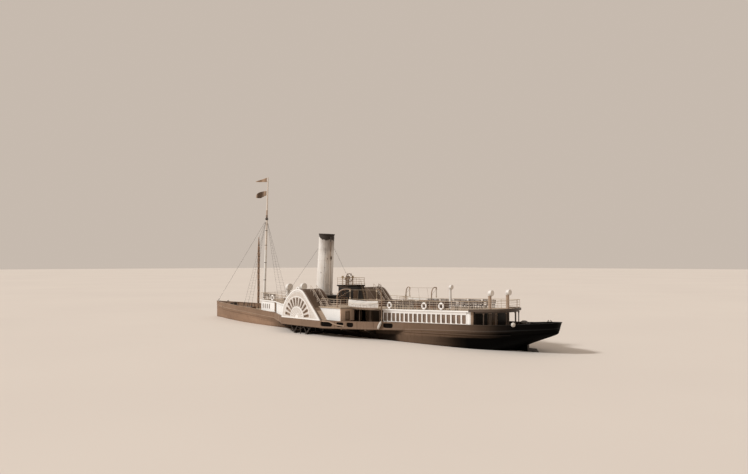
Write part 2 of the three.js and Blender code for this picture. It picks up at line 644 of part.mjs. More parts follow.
const wing = wallRun(withStations([[8.62, 3.68], [3.9, 5.98], [1.5, 5.98]]), WALL, overMain, underDeck);
pair("wing_wall", cut(wing, boxTool));
const aftHouseRun = withStations([[-2.5, 5.85], [-7.78, 5.85], [-7.78, 3.74]]);
const aftHouse = wallRun(aftHouseRun, WALL, overMain, underDeck);
pair("sponson_house", cut(aftHouse, boxTool, doorway(DOORS.sponson_door)));

// Engine and boiler casing on the main deck

const CASING = { fore: 7.6, aft: -9.3, half: 2.3 };
const casing = prism(bothSides([[CASING.fore, CASING.half], [CASING.aft, CASING.half]]), "z", 0.5, 5,
  [bothSides([[CASING.fore - WALL, CASING.half - WALL], [CASING.aft + WALL, CASING.half - WALL]])]);
const casingDoorways = [4.2, -7.9].map((x) => box(x - 0.37, x + 0.37, -3, 3, 0.5, deckZ(x) + DOOR_H));
const shaftWay = rod([WHEEL_X, -3, WHEEL_Z], [WHEEL_X, 3, WHEEL_Z], SHAFT_R + RUN, SHAFT_R + RUN, 24);
node("engine_casing", cut(casing.intersect(rooms), casingDoorways, shaftWay));

// Doors

for (const [name, door] of Object.entries(DOORS)) pair(name, doorLeaf(door));

// Veranda pillars and the alleyway's pillars, each run under one beam

const verandaPosts = [[-26.6, 2.75], [-27.55, 1.95], [-27.95, 0.8]];
const verandaRun = withStations(bothSides([[-25.75, 3.1], ...verandaPosts]));
const beamLow = (x) => underDeck(x) - 0.14;
const verandaBeam = wallRun(verandaRun, 0.12, beamLow, underDeck);
const verandaPillars = bothSides(verandaPosts).map(([x, y]) => {
  const inward = [x + 0.05, y - Math.sign(y) * 0.04];
  return rod([...inward, overMain(x)], [...inward, underDeck(x) - 0.03], 0.055, 0.055, 8);
});
node("veranda_frame", all(verandaBeam, verandaPillars).intersect(rooms));

const alleyRun = withStations([[-7.9, 3.95], [-12.5, 3.78]]);
const alleyBeam = wallRun(alleyRun, 0.1, beamLow, underDeck);
const alleyPillars = [-8.9, -10.7, -12.3].map((x) => {
  const y = 3.95 - ((-7.9 - x) * 0.17) / 4.6 - 0.05;
  return rod([x, y, overMain(x)], [x, y, underDeck(x) - 0.03], 0.055, 0.055, 8);
});
pair("alley_frame", all(alleyBeam, alleyPillars).intersect(rooms));

// Rails of the promenade deck

const overPromenade = between((x) => promZ(x) + GAP, () => 25);
function rail(run, spacing, tall = 0.98) {
  const path = withStations(run);
  const level = (up, thick) => wallRun(path, 0.05, (x) => promZ(x) + up - thick, (x) => promZ(x) + up);
  const pieces = [level(tall, 0.05), level(0.52, 0.04)];
  const inner = offsetRun(path, 0.025);
  for (let i = 0; i < inner.length - 1; i += 1) {
    const [a, b] = [inner[i], inner[i + 1]];
    const long = Math.hypot(b[0] - a[0], b[1] - a[1]);
    const count = Math.max(1, Math.round(long / spacing));
    for (let k = i === 0 ? 0 : 1; k <= count; k += 1) {
      const [x, y] = [a[0] + ((b[0] - a[0]) * k) / count, a[1] + ((b[1] - a[1]) * k) / count];
      if (k === count && long < spacing * 0.6 && i < inner.length - 2) continue;
      pieces.push(box(x - 0.02, x + 0.02, y - 0.02, y + 0.02, promZ(x) - 0.05, promZ(x) + tall - 0.01));
    }
  }
  return all(pieces).intersect(overPromenade);
}
const foreRail = bothSides([[WHEEL_X + 3.35, 6.0], [3.92, 6.0], [8.64, 3.68], [9.15, 3.42], [13.5, 3.02]]);
node("rail_fore", rail(foreRail, 3));
const aftHalf = [
  [WHEEL_X - 3.25, 5.85], [-7.76, 5.85], [-7.76, 3.92], [-12.6, 3.72], [-16, 3.68], [-20, 3.62], [-23, 3.5],
  [-25.2, 3.36], [-26.7, 2.82], [-27.68, 1.84], [-28.08, 0.75],
];
node("rail_aft", rail([...aftHalf].map(([x, y]) => [x, -y]).concat([...aftHalf].reverse()), 3));

// Funnel on its casing

const fidley = prism(bothSides([[4.9, 1.45], [0.5, 1.45]]), "z", promZ(3) + GAP, FUNNEL_FOOT[2]);
node("funnel_casing", fidley);
const raked = (r0, r1, from, to) => rod(from, to, r0, r1, 20);
const onLine = ([x0, z0], [x1, z1], z) => x0 + ((x1 - x0) * (z - z0)) / (z1 - z0);
const funnelUp = [FUNNEL_FOOT[0], 0, FUNNEL_FOOT[2] + GAP];
const rake = (z) => onLine([FUNNEL_FOOT[0], FUNNEL_FOOT[2]], [FUNNEL_HEAD[0], FUNNEL_HEAD[2]], z);
const funnelShell = all(
  raked(FUNNEL_R, 1.02, funnelUp, FUNNEL_HEAD),
  raked(1.16, 1.16, funnelUp, [rake(4.75), 0, 4.75]),
  raked(1.08, 1.08, [rake(12.55), 0, 12.55], FUNNEL_HEAD),
);
const funnelBore = raked(1.04, 0.95, [rake(4.9), 0, 4.9], [rake(12.9), 0, 12.9]);
const aboveFoot = box(-2, 8, -3, 3, FUNNEL_FOOT[2] + GAP, 14);
const pipeX = rake(8) - 1.3;
const steamPipe = all(
  rod([pipeX, 0.3, FUNNEL_FOOT[2]], [pipeX - 0.25, 0.3, 12.2], 0.08, 0.08, 8),
  rod([pipeX - 0.12, 0.3, 9.3], [pipeX - 0.14, 0.3, 9.75], 0.15, 0.11, 8),
  [6, 11.4].map((z) => box(rake(z) - 1.3, rake(z) - 0.98, 0.26, 0.34, z, z + 0.1)),
);
node("funnel", cut(all(funnelShell, steamPipe).intersect(aboveFoot), funnelBore));

// Bridge: a small house carrying a platform from side to side

function inBridge(inset) {
  const half = BRIDGE.half - inset;
  return bothSides([[BRIDGE.fore - inset, half], [BRIDGE.aft + inset, half]]);
}
const bridgeHouse = prism(
  inBridge(BRIDGE.inset), "z", promZ(-3) + GAP, BRIDGE_Z - 0.12 - GAP, [inBridge(BRIDGE.inset + WALL)],
);
const bridgeWindows = [-0.78, 0, 0.78].map(
  (y) => box(BRIDGE.fore - 0.5, BRIDGE.fore, y - 0.25, y + 0.25, 4.6, 5.3),
);
const bridgeSides = box(BRIDGE.fore - 0.7, BRIDGE.fore - 1.5, -3, 3, 4.6, 5.3);
node("bridge_house", cut(bridgeHouse, bridgeWindows, bridgeSides, doorway(BRIDGE_DOOR)));
node("bridge_door", doorLeaf(BRIDGE_DOOR));
const bridgeFloor = prism(inBridge(0), "z", BRIDGE_Z - 0.12, BRIDGE_Z);
function levelRail(plan, floor) {
  const run = [...plan, plan[0]];
  const pieces = [];
  for (const up of [0.98, 0.52]) {
    pieces.push(wallRun(plan, 0.05, () => floor + up - 0.05, () => floor + up, true));
  }
  for (let i = 0; i < run.length - 1; i += 1) {
    const [a, b] = [run[i], run[i + 1]];
    const count = 2;
    for (let k = 0; k < count; k += 1) {
      const [x, y] = [a[0] + ((b[0] - a[0]) * k) / count, a[1] + ((b[1] - a[1]) * k) / count];
      pieces.push(box(x - 0.03, x + 0.03, y - 0.03, y + 0.03, floor - 0.05, floor + 0.95));
    }
  }
  return all(pieces);
}
const bridgeRail = levelRail(inBridge(0.06), BRIDGE_Z);
node("bridge_platform", all(bridgeFloor, bridgeRail));

// Steering wheel on its stand

const helmZ = BRIDGE_Z + 0.95;
const helmX = -2.35;
node("helm_stand", all(
  box(helmX + 0.03 + SEAT, helmX + 0.35, -0.2, 0.2, BRIDGE_Z + GAP, BRIDGE_Z + 1.15),
));
const helmCircle = (r, count) => Array.from({ length: count }, (_, i) => {
  const t = (2 * Math.PI * i) / count;
  return [r * Math.cos(t), helmZ + r * Math.sin(t)];
});
const spokes = helmCircle(0.72, 6).map(
  ([y, z]) => rod([helmX - 0.13, 0, helmZ], [helmX - 0.13, y, z], 0.03, 0.025, 4),
);
const helmRim = prism(helmCircle(0.56, 16), "x", helmX - 0.165, helmX - 0.095, [helmCircle(0.48, 16)]);
const helmHub = rod([helmX - 0.2, 0, helmZ], [helmX + 0.03, 0, helmZ], 0.09, 0.09, 8);
node("helm_wheel", all(spokes, helmRim, helmHub));

// Skylights and companion on the promenade deck

function skylight(x0, x1, half, rise) {
  const base = Math.max(promZ(x0), promZ(x1));
  const low = Math.min(promZ(x0), promZ(x1));
  const profile = [
    [half, low - 0.1], [half, base + rise], [0, base + rise + 0.3], [-half, base + rise], [-half, low - 0.1],
  ];
  const [aft, fore] = [Math.min(x0, x1), Math.max(x0, x1)];
  const solid = prism(profile, "x", aft, fore);
  const room = prism(profile.map(([y, z]) => [y * 0.9, z - 0.07]), "x", aft + 0.08, fore - 0.08);
  return cut(solid, room).intersect(overPromenade);
}
node("engine_skylight", skylight(-6.3, -9.2, 0.95, 0.45));
node("saloon_skylight", skylight(-15.1, -18.9, 1.0, 0.45));

// Mast, furled sail, stays and flags

const mastAt = (z) => onLine(MAST_FOOT, MAST_HEAD, z);
const mastStep = deckZ(17.3) + GAP;
const mast = all(
  rod([mastAt(mastStep - 0.2), 0, mastStep - 0.2], [mastAt(HOUNDS_Z), 0, HOUNDS_Z], 0.2, 0.15, 14),
  rod([mastAt(HOUNDS_Z - 0.3), 0, HOUNDS_Z - 0.3], [mastAt(21.6), 0, 21.6], 0.12, 0.06, 12),
  rod([mastAt(HOUNDS_Z), 0, HOUNDS_Z - 0.15], [mastAt(HOUNDS_Z), 0, HOUNDS_Z + 0.1], 0.24, 0.24, 12),
  rod([mastAt(21.5), 0, 21.5], [mastAt(21.64), 0, 21.64], 0.12, 0.12, 10),
);
const mastSolid = mast.intersect(between(overMain, () => 25));
node("mast", mastSolid);
const mastTools = [mastSolid, ...[-GAP, GAP].map((d) => mastSolid.translate([d, 0, 0])),
  ...[-GAP, GAP].map((d) => mastSolid.translate([0, d, 0]))];

const SAIL_X = 18.8;
const sailBundle = bar([
  [SAIL_X, 0, 2.2], [SAIL_X, 0, 2.6], [SAIL_X - 0.02, 0, 5.5], [SAIL_X, 0, 9.0], [SAIL_X - 0.02, 0, 10.6],
], 0.2, 8);
const sailHead = rod([SAIL_X - 0.02, 0, 10.55], [SAIL_X - 0.05, 0, 12.73], 0.2, 0.07, 8);
const sailLines = [
  bar([[SAIL_X - 0.05, 0, 12.6], [mastAt(15.1), 0, 15.1]], 0.025, 5),
  bar([[SAIL_X, 0, deckZ(SAIL_X) + 2 * GAP], [SAIL_X, 0, 2.4]], 0.03, 5),
];
node("furled_sail", cut(all(sailBundle, sailHead, sailLines), mastTools));
const stayFoot = [30.85, 0, topEdge(30.85) - 0.1];
node("forestay", cut(bar([[mastAt(15.2), 0, 15.2], stayFoot], 0.025, 6), mastTools,
  [0, GAP].map((d) => bulwarkFore.translate([-d, 0, d]))));

const SHROUD_FEET = [17.9, 16.7, 15.5];
const railAt = (x) => [x, deckHalf(x) + 0.04, topEdge(x)];
const channel = loft([15.3, 15.5, 18.1].map((x) => {
  const [, y, z] = railAt(x);
  return [
    [x, y - 0.05, z + GAP], [x, y + 0.07, z + GAP], [x, y + 0.07, z + 0.08], [x, y - 0.05, z + 0.08],
  ];
}));
const shroudRods = SHROUD_FEET.map((x) => {
  const [, y, z] = railAt(x);
  return bar([[x, y, z + 0.04], [mastAt(15.0), 0, 15.0]], 0.025, 5);
});
pair("shrouds", cut(all(channel, shroudRods), mastTools));

// Flags stream forward and to port; each is drawn along X from its hoist and then turned.
const FLAG_TURN = 45;
function flag(zLow, zHigh, long, tip) {
  const hoist = 0.2;
  const outline = [[hoist, zLow], [hoist + long, tip[0]], [hoist + long, tip[1]], [hoist, zHigh]];
  const cloth = prism(outline, "y", -0.012, 0.012);
  const toggles = [zLow + 0.08, zHigh - 0.1].map(
    (z) => box(0, hoist + 0.05, -0.012, 0.012, z - 0.02, z + 0.02),
  );
  const placed = all(cloth, toggles).rotate([0, 0, FLAG_TURN]);
  return cut(placed.translate([mastAt((zLow + zHigh) / 2), 0, 0]), mastTools);
}
node("pennant", flag(20.92, 21.58, 1.7, [20.93, 21.02]));
node("house_flag", flag(18.6, 19.6, 1.55, [18.45, 19.4]));

// Lifeboats under their covers, on curved davits

const BOAT = { x: -10.8, y: 5.0, keel: 3.47, sheer: 4.12, half: 0.82, long: 2.62 };
const boatStations = [-1, -0.88, -0.62, -0.3, 0, 0.3, 0.62, 0.88, 1];
const boatRings = boatStations.map((t) => {
  const x = BOAT.x + t * BOAT.long;
  const w = Math.max(BOAT.half * (1 - Math.abs(t) ** 2.6), 0.05);
  const keel = BOAT.keel + 0.3 * Math.abs(t) ** 4;
  const sheer = BOAT.sheer + 0.16 * t * t;
  const ridge = sheer + 0.32 - 0.1 * t * t;
  const port = [
    [0.04, keel], [w * 0.62, keel + 0.1], [w * 0.94, keel + 0.34], [w, sheer],
    [w * 0.5, (sheer + ridge) / 2 + 0.03],
  ];
  const side = port.map(([y, z]) => [x, BOAT.y + y, z]);
  const other = port.map(([y, z]) => [x, BOAT.y - y, z]).reverse();
  return [...side, [x, BOAT.y, ridge], ...other];
});
const lifeboat = loft(boatRings);
pair("lifeboat", lifeboat);

function davit(foot, shank, head) {
  const run = [foot, shank];
  for (const deg of [20, 40, 60, 80, 100, 120]) {
    const t = (deg * Math.PI) / 180;
    const u = (1 - Math.cos(t)) / (1 - Math.cos((120 * Math.PI) / 180));
    const rise = (head[2] + 0.1 - shank[2]) * Math.sin(Math.min(t, Math.PI / 2));
    const drop = deg > 90 ? 0.12 * (1 - Math.sin(t)) * 2 : 0;
    const across = [0, 1].map((k) => shank[k] + (head[k] - shank[k]) * u);
    run.push([...across, shank[2] + rise - drop]);
  }
  return bar(run, 0.065, 6);
}
const DAVITS = [
  { foot: [-7.05, 5.78, promZ(-7.05) + 0.02], shank: [-7.05, 5.78, 4.75], head: [-8.5, 5.0, 5.6] },
  { foot: [-13.05, 4.16, deckZ(-13.05) + 0.02], shank: [-13.05, 4.16, 4.9], head: [-13.1, 4.98, 5.7] },
];
const davitBars = DAVITS.map(({ foot, shank, head }) => davit(foot, shank, head));
const falls = DAVITS.map(
  ({ head: [x, y, z] }) => bar([[x, y, z + 0.05], [x, y, 4.3]], 0.035, 6),
);
const spanWire = bar([[-8.5, 5.0, 5.62], [-13.1, 4.98, 5.72]], 0.02, 5);
const davitPads = [box(-7.25, -6.85, 5.6, 5.93, promZ(-7.25) + GAP, promZ(-7.25) + 0.08),
  box(-13.2, -12.9, 4.02, 4.3, deckZ(-13) - 0.05, deckZ(-13) + 0.12)];
const davitSet = all(davitBars, falls, spanWire, davitPads).intersect(between(overMain, () => 9));
pair("davits", cut(davitSet, lifeboat, lifeboat.translate([0, 0, GAP])));

// Cowl ventilators, their mouths turned aft, and the capstan

function ventilator({ x, y, top, r, foot }) {
  const z = top - r;
  const pipe = rod([x, y, foot], [x, y, z], r * 0.6, r * 0.6, 12);
  const ball = fromGeometry(new THREE.SphereGeometry(r * 0.98, 12, 8).translate(x, y, z));
  const hood = rod([x, y, z], [x - 1.1 * r, y, z], r * 0.9, r, 12);
  const mouth = rod([x - 0.45 * r, y, z], [x - 2 * r, y, z], r * 0.8, r * 0.86, 12);
  return cut(all(pipe, ball, hood), mouth);
}
const stokeholdCoaming = box(8.8, 9.9, -1.6, 1.6, promZ(9) - 0.2, promZ(9) + 0.3);
const stokeholdCowls = [-1.24, 1.24].map(
  (y) => ventilator({ x: 9.35, y, top: 5.88, r: 0.47, foot: promZ(9) + 0.1 }),
);
const saloonCowl = ventilator({ x: -19.75, y: 0, top: 6.35, r: 0.24, foot: 3.6 });
node("stokehold_vents", all(stokeholdCoaming, stokeholdCowls).intersect(overPromenade));
pair("vent_aft", ventilator(VENT_AFT).intersect(between(overMain, () => 25)));
node("vent_saloon", saloonCowl.intersect(overPromenade));

const CAPSTAN_X = 25.4;
const capstanZ = deckZ(CAPSTAN_X + 0.36) + SEAT;
node("capstan", turned([
  [0, 0], [0.36, 0], [0.36, 0.08], [0.24, 0.16], [0.19, 0.4], [0.24, 0.6], [0.31, 0.66], [0.31, 0.84],
  [0, 0.88],
], [CAPSTAN_X, 0, capstanZ], 16));

export default part;
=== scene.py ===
"""A side-wheel paddle steamer, half size: the visible ship round its CAD frame."""
import math

import bmesh
import bpy
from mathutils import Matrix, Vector


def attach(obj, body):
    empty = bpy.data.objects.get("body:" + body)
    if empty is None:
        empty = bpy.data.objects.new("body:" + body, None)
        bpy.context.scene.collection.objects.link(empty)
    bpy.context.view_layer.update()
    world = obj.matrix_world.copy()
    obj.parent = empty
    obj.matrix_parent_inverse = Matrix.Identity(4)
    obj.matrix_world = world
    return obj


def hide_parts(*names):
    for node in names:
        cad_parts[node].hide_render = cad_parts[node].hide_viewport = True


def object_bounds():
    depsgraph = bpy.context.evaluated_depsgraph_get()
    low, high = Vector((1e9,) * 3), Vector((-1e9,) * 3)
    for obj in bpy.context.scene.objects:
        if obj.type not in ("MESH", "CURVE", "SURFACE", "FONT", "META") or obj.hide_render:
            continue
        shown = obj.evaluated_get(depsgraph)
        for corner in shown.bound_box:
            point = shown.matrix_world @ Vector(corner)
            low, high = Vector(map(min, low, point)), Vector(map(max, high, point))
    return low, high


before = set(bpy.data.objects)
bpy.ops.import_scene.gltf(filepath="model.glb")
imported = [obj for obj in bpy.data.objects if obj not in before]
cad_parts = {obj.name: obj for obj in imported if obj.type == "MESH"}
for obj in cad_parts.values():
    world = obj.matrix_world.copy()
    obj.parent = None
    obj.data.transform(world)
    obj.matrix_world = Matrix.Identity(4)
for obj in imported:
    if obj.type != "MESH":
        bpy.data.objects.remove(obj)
CAD_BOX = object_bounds()

# Every length below is in metres of the real ship; SCALE turns it into the half-size model.
SCALE = 0.5

# Camera, floor and light

CAMERA_AT = (-70.79, 58.12, 8.84)
CAMERA_ALONG = (0.738, -0.6746)
CAMERA_PITCH = math.radians(2.11)
FOCAL_PIXELS = 692
PICTURE_WIDTH = 748

camera_data = bpy.data.cameras.new("photo_camera")
camera_data.sensor_width = 36
camera_data.lens = 36 * FOCAL_PIXELS / PICTURE_WIDTH
camera_data.clip_end = 900
camera = bpy.data.objects.new("photo_camera", camera_data)
camera.location = Vector(CAMERA_AT) * SCALE
look = Vector((*CAMERA_ALONG, math.tan(CAMERA_PITCH)))
camera.rotation_euler = look.to_track_quat("-Z", "Y").to_euler()
bpy.context.collection.objects.link(camera)
bpy.context.scene.camera = camera

SUN_FROM = (0.5, 1.0, 0.85)
sun_data = bpy.data.lights.new("studio_key", "SUN")
sun_data.energy = 2.45
sun_data.angle = math.radians(9)
sun_data.color = (1.0, 0.995, 0.985)
sun = bpy.data.objects.new("studio_key", sun_data)
sun.rotation_euler = Vector(SUN_FROM).to_track_quat("Z", "Y").to_euler()
bpy.context.collection.objects.link(sun)

world = bpy.data.worlds.new("studio")
world.use_nodes = True
world.node_tree.nodes["Background"].inputs["Color"].default_value = (0.86, 0.745, 0.645, 1)
world.node_tree.nodes["Background"].inputs["Strength"].default_value = 0.66
bpy.context.scene.world = world
bpy.context.scene.view_settings.view_transform = "Standard"

# The ship's lines

SHIP_AFT, SHIP_FORE = -34.0, 31.0
COUNTER_END = -33.42
DECK_DROP = 0.7
PLANK = 0.06
HULL_DROP = DECK_DROP + PLANK
BULWARK = 0.1
SPONSON_DROP = 0.85
WHEEL_X = -0.83
WHEEL_Z = 1.88
WHEEL_IN = 4.15
WHEEL_OUT = 6.6
FLOATS = 10
BOX_IN = 3.78
BOX_OUT = 6.86
FACE_OUT = 6.97
BRIDGE_Z = 5.92
HELM = (-2.48, 0.0, 6.87)
CASING_HALF = 2.3
VENT_AFT = (-26.4, 1.5)
# The fore house's corner and the after end of its wall, in plan, to port.
HOUSE_CORNER, HOUSE_END = (13.4, 3.0), (9.25, 3.38)
BOAT_X, BOAT_Y, BOAT_KEEL, BOAT_SHEER, BOAT_HALF, BOAT_LONG = -10.8, 5.0, 3.47, 4.12, 0.82, 2.62
MAST_FOOT = (17.35, 0.0)
MAST_HEAD = (16.4, 21.64)
HOUNDS_Z = 15.4
TRUCK_Z = 21.5
FUNNEL_FOOT = (2.75, 4.5)
FUNNEL_HEAD = (2.2, 12.7)

# x, keel, turn of the bilge (height, half-breadth), fullness, half-breadth at the deck, top edge
FRAMES = [
    (31.0, -0.9, 0.0, 0.05, 2.0, 0.08, 2.52), (30.2, -1.55, 0.0, 0.14, 2.0, 0.3, 2.51),
    (29.0, -1.85, 0.0, 0.38, 1.6, 0.72, 2.49), (27.0, -1.9, 0.0, 0.9, 1.6, 1.38, 2.46),
    (23.8, -1.9, 0.0, 1.65, 1.8, 2.2, 2.41), (19.3, -1.9, 0.0, 2.5, 2.3, 2.95, 2.32),
    (15.5, -1.9, 0.0, 2.98, 3.0, 3.28, 2.2), (12.0, -1.9, 0.0, 3.25, 3.8, 3.48, 2.04),
    (8.0, -1.9, 0.0, 3.45, 5.0, 3.6, 1.91), (2.0, -1.9, 0.0, 3.55, 6.0, 3.65, 1.88),
    (-6.0, -1.9, 0.0, 3.55, 6.0, 3.65, 1.9), (-12.0, -1.9, 0.0, 3.52, 5.0, 3.65, 2.04),
    (-16.0, -1.9, 0.0, 3.42, 4.0, 3.62, 2.16), (-20.0, -1.85, 0.1, 3.2, 3.0, 3.55, 2.3),
    (-23.0, -1.5, 0.5, 3.0, 2.4, 3.43, 2.4), (-25.2, -1.05, 0.85, 2.85, 2.1, 3.3, 2.47),
    (-27.2, -0.45, 1.15, 2.62, 1.9, 3.02, 2.54), (-29.0, 0.25, 1.5, 2.25, 1.8, 2.62, 2.65),
    (-30.7, 0.95, 1.8, 1.75, 1.8, 2.08, 2.81), (-31.8, 1.35, 1.95, 1.32, 1.8, 1.58, 2.9),
    (-32.7, 1.68, 2.06, 0.88, 1.9, 1.08, 2.98), (-33.2, 1.88, 2.12, 0.5, 2.0, 0.66, 3.03),
    (COUNTER_END, 2.0, 2.15, 0.18, 2.0, 0.28, 3.06),
]
COLUMN = {"keel": 1, "turn_z": 2, "turn_y": 3, "full": 4, "deck_y": 5, "top": 6}
PROMENADE = [(14.5, 3.58), (8.0, 3.5), (-6.0, 3.5), (-12.0, 3.53), (-16.0, 3.63), (-20.0, 3.76),
             (-25.2, 3.92), (-29.0, 4.06)]
SPONSON = [(9.2, 3.62), (7.9, 4.25), (5.7, 5.35), (3.5, 6.45), (2.75, 7.0), (-6.0, 7.0), (-8.8, 6.25),
           (-13.3, 4.62), (-16.0, 3.7)]
BOX_FORE = [(3.46, 1.88), (3.4, 2.35), (3.27, 2.9), (3.05, 3.45), (2.78, 3.88), (2.42, 4.3), (1.98, 4.69),
            (1.45, 5.08), (0.95, 5.33), (0.45, 5.48), (0.0, 5.52)]
BOX_AFT = [(0.45, 5.48), (1.0, 5.26), (1.6, 4.74), (2.32, 3.99), (2.99, 3.33), (3.67, 2.67), (4.4, 1.88)]
FAN_X, FAN_Z = WHEEL_X + 0.23, 2.0
FAN_SLOTS, FAN_FIRST, FAN_STEP = 11, 11, 16
FAN_INNER, FAN_OUTER, FAN_TIP = 1.45, 2.4, 2.48
SALOON_FORE, SALOON_TURN = -12.84, -24.85
BRIDGE_FORE, BRIDGE_AFT, BRIDGE_HALF, BRIDGE_INSET = -1.7, -3.9, 1.45, 0.15
PROMENADE_EDGE = [
    (13.6, 0.0), (13.6, 3.1), (9.2, 3.5), (8.68, 3.76), (3.94, 6.08), (2.12, 6.08), None, (-3.55, 5.95),
    (-7.86, 5.95), (-7.86, 4.0), (-12.6, 3.8), (-16.0, 3.76), (-20.0, 3.7), (-23.0, 3.58), (-25.2, 3.45),
    (-26.8, 2.9), (-27.8, 1.9), (-28.2, 0.8), (-28.25, 0.0),
]


def linear(rows, x, column=1):
    """A table's value at x, straight between its rows."""
    rows = sorted(rows)
    x = min(max(x, rows[0][0]), rows[-1][0])
    for low, high in zip(rows, rows[1:]):
        if x <= high[0]:
            share = (x - low[0]) / (high[0] - low[0])
            return low[column] + share * (high[column] - low[column])
    return rows[-1][column]


def fair(rows, column):
    """The fair curve through a table's rows, without overshoot."""
    rows = sorted(rows)
    xs = [row[0] for row in rows]
    ys = [row[column] for row in rows]
    steps = [b - a for a, b in zip(xs, xs[1:])]
    slopes = [(b - a) / step for a, b, step in zip(ys, ys[1:], steps)]
    tangents = [slopes[0]]
    for i in range(1, len(xs) - 1):
        before, after = slopes[i - 1], slopes[i]
        if before * after <= 0:
            tangents.append(0.0)
        else:
            w1, w2 = 2 * steps[i] + steps[i - 1], steps[i] + 2 * steps[i - 1]
            tangents.append((w1 + w2) / (w1 / before + w2 / after))
    tangents.append(slopes[-1])

    def value(x):
        x = min(max(x, xs[0]), xs[-1])
        i = max(k for k in range(len(xs) - 1) if xs[k] <= x)
        h = steps[i]
        t = (x - xs[i]) / h
        return ((2 * t ** 3 - 3 * t ** 2 + 1) * ys[i] + (t ** 3 - 2 * t ** 2 + t) * h * tangents[i]
                + (-2 * t ** 3 + 3 * t ** 2) * ys[i + 1] + (t ** 3 - t ** 2) * h * tangents[i + 1])

    return value


LINES = {name: fair(FRAMES, column) for name, column in COLUMN.items()}
top = LINES["top"]
half = LINES["deck_y"]


def flat_top(x):
    return linear(FRAMES, x, COLUMN["top"])


def flat_half(x):
    return linear(FRAMES, x, COLUMN["deck_y"])


def deck(x):
    return flat_top(x) - DECK_DROP


def prom(x):
    return linear(PROMENADE, x)


def span(start, end, step):
    """Evenly spaced values from start to end, both included, at most step apart."""
    count = max(1, math.ceil(abs(end - start) / step - 1e-9))
    return [start + (end - start) * i / count for i in range(count + 1)]


def mast_at(z):
    return MAST_FOOT[0] + (MAST_HEAD[0] - MAST_FOOT[0]) * z / MAST_HEAD[1]


def funnel_at(z):
    share = (z - FUNNEL_FOOT[1]) / (FUNNEL_HEAD[1] - FUNNEL_FOOT[1])
    return FUNNEL_FOOT[0] + (FUNNEL_HEAD[0] - FUNNEL_FOOT[0]) * share


# Building meshes

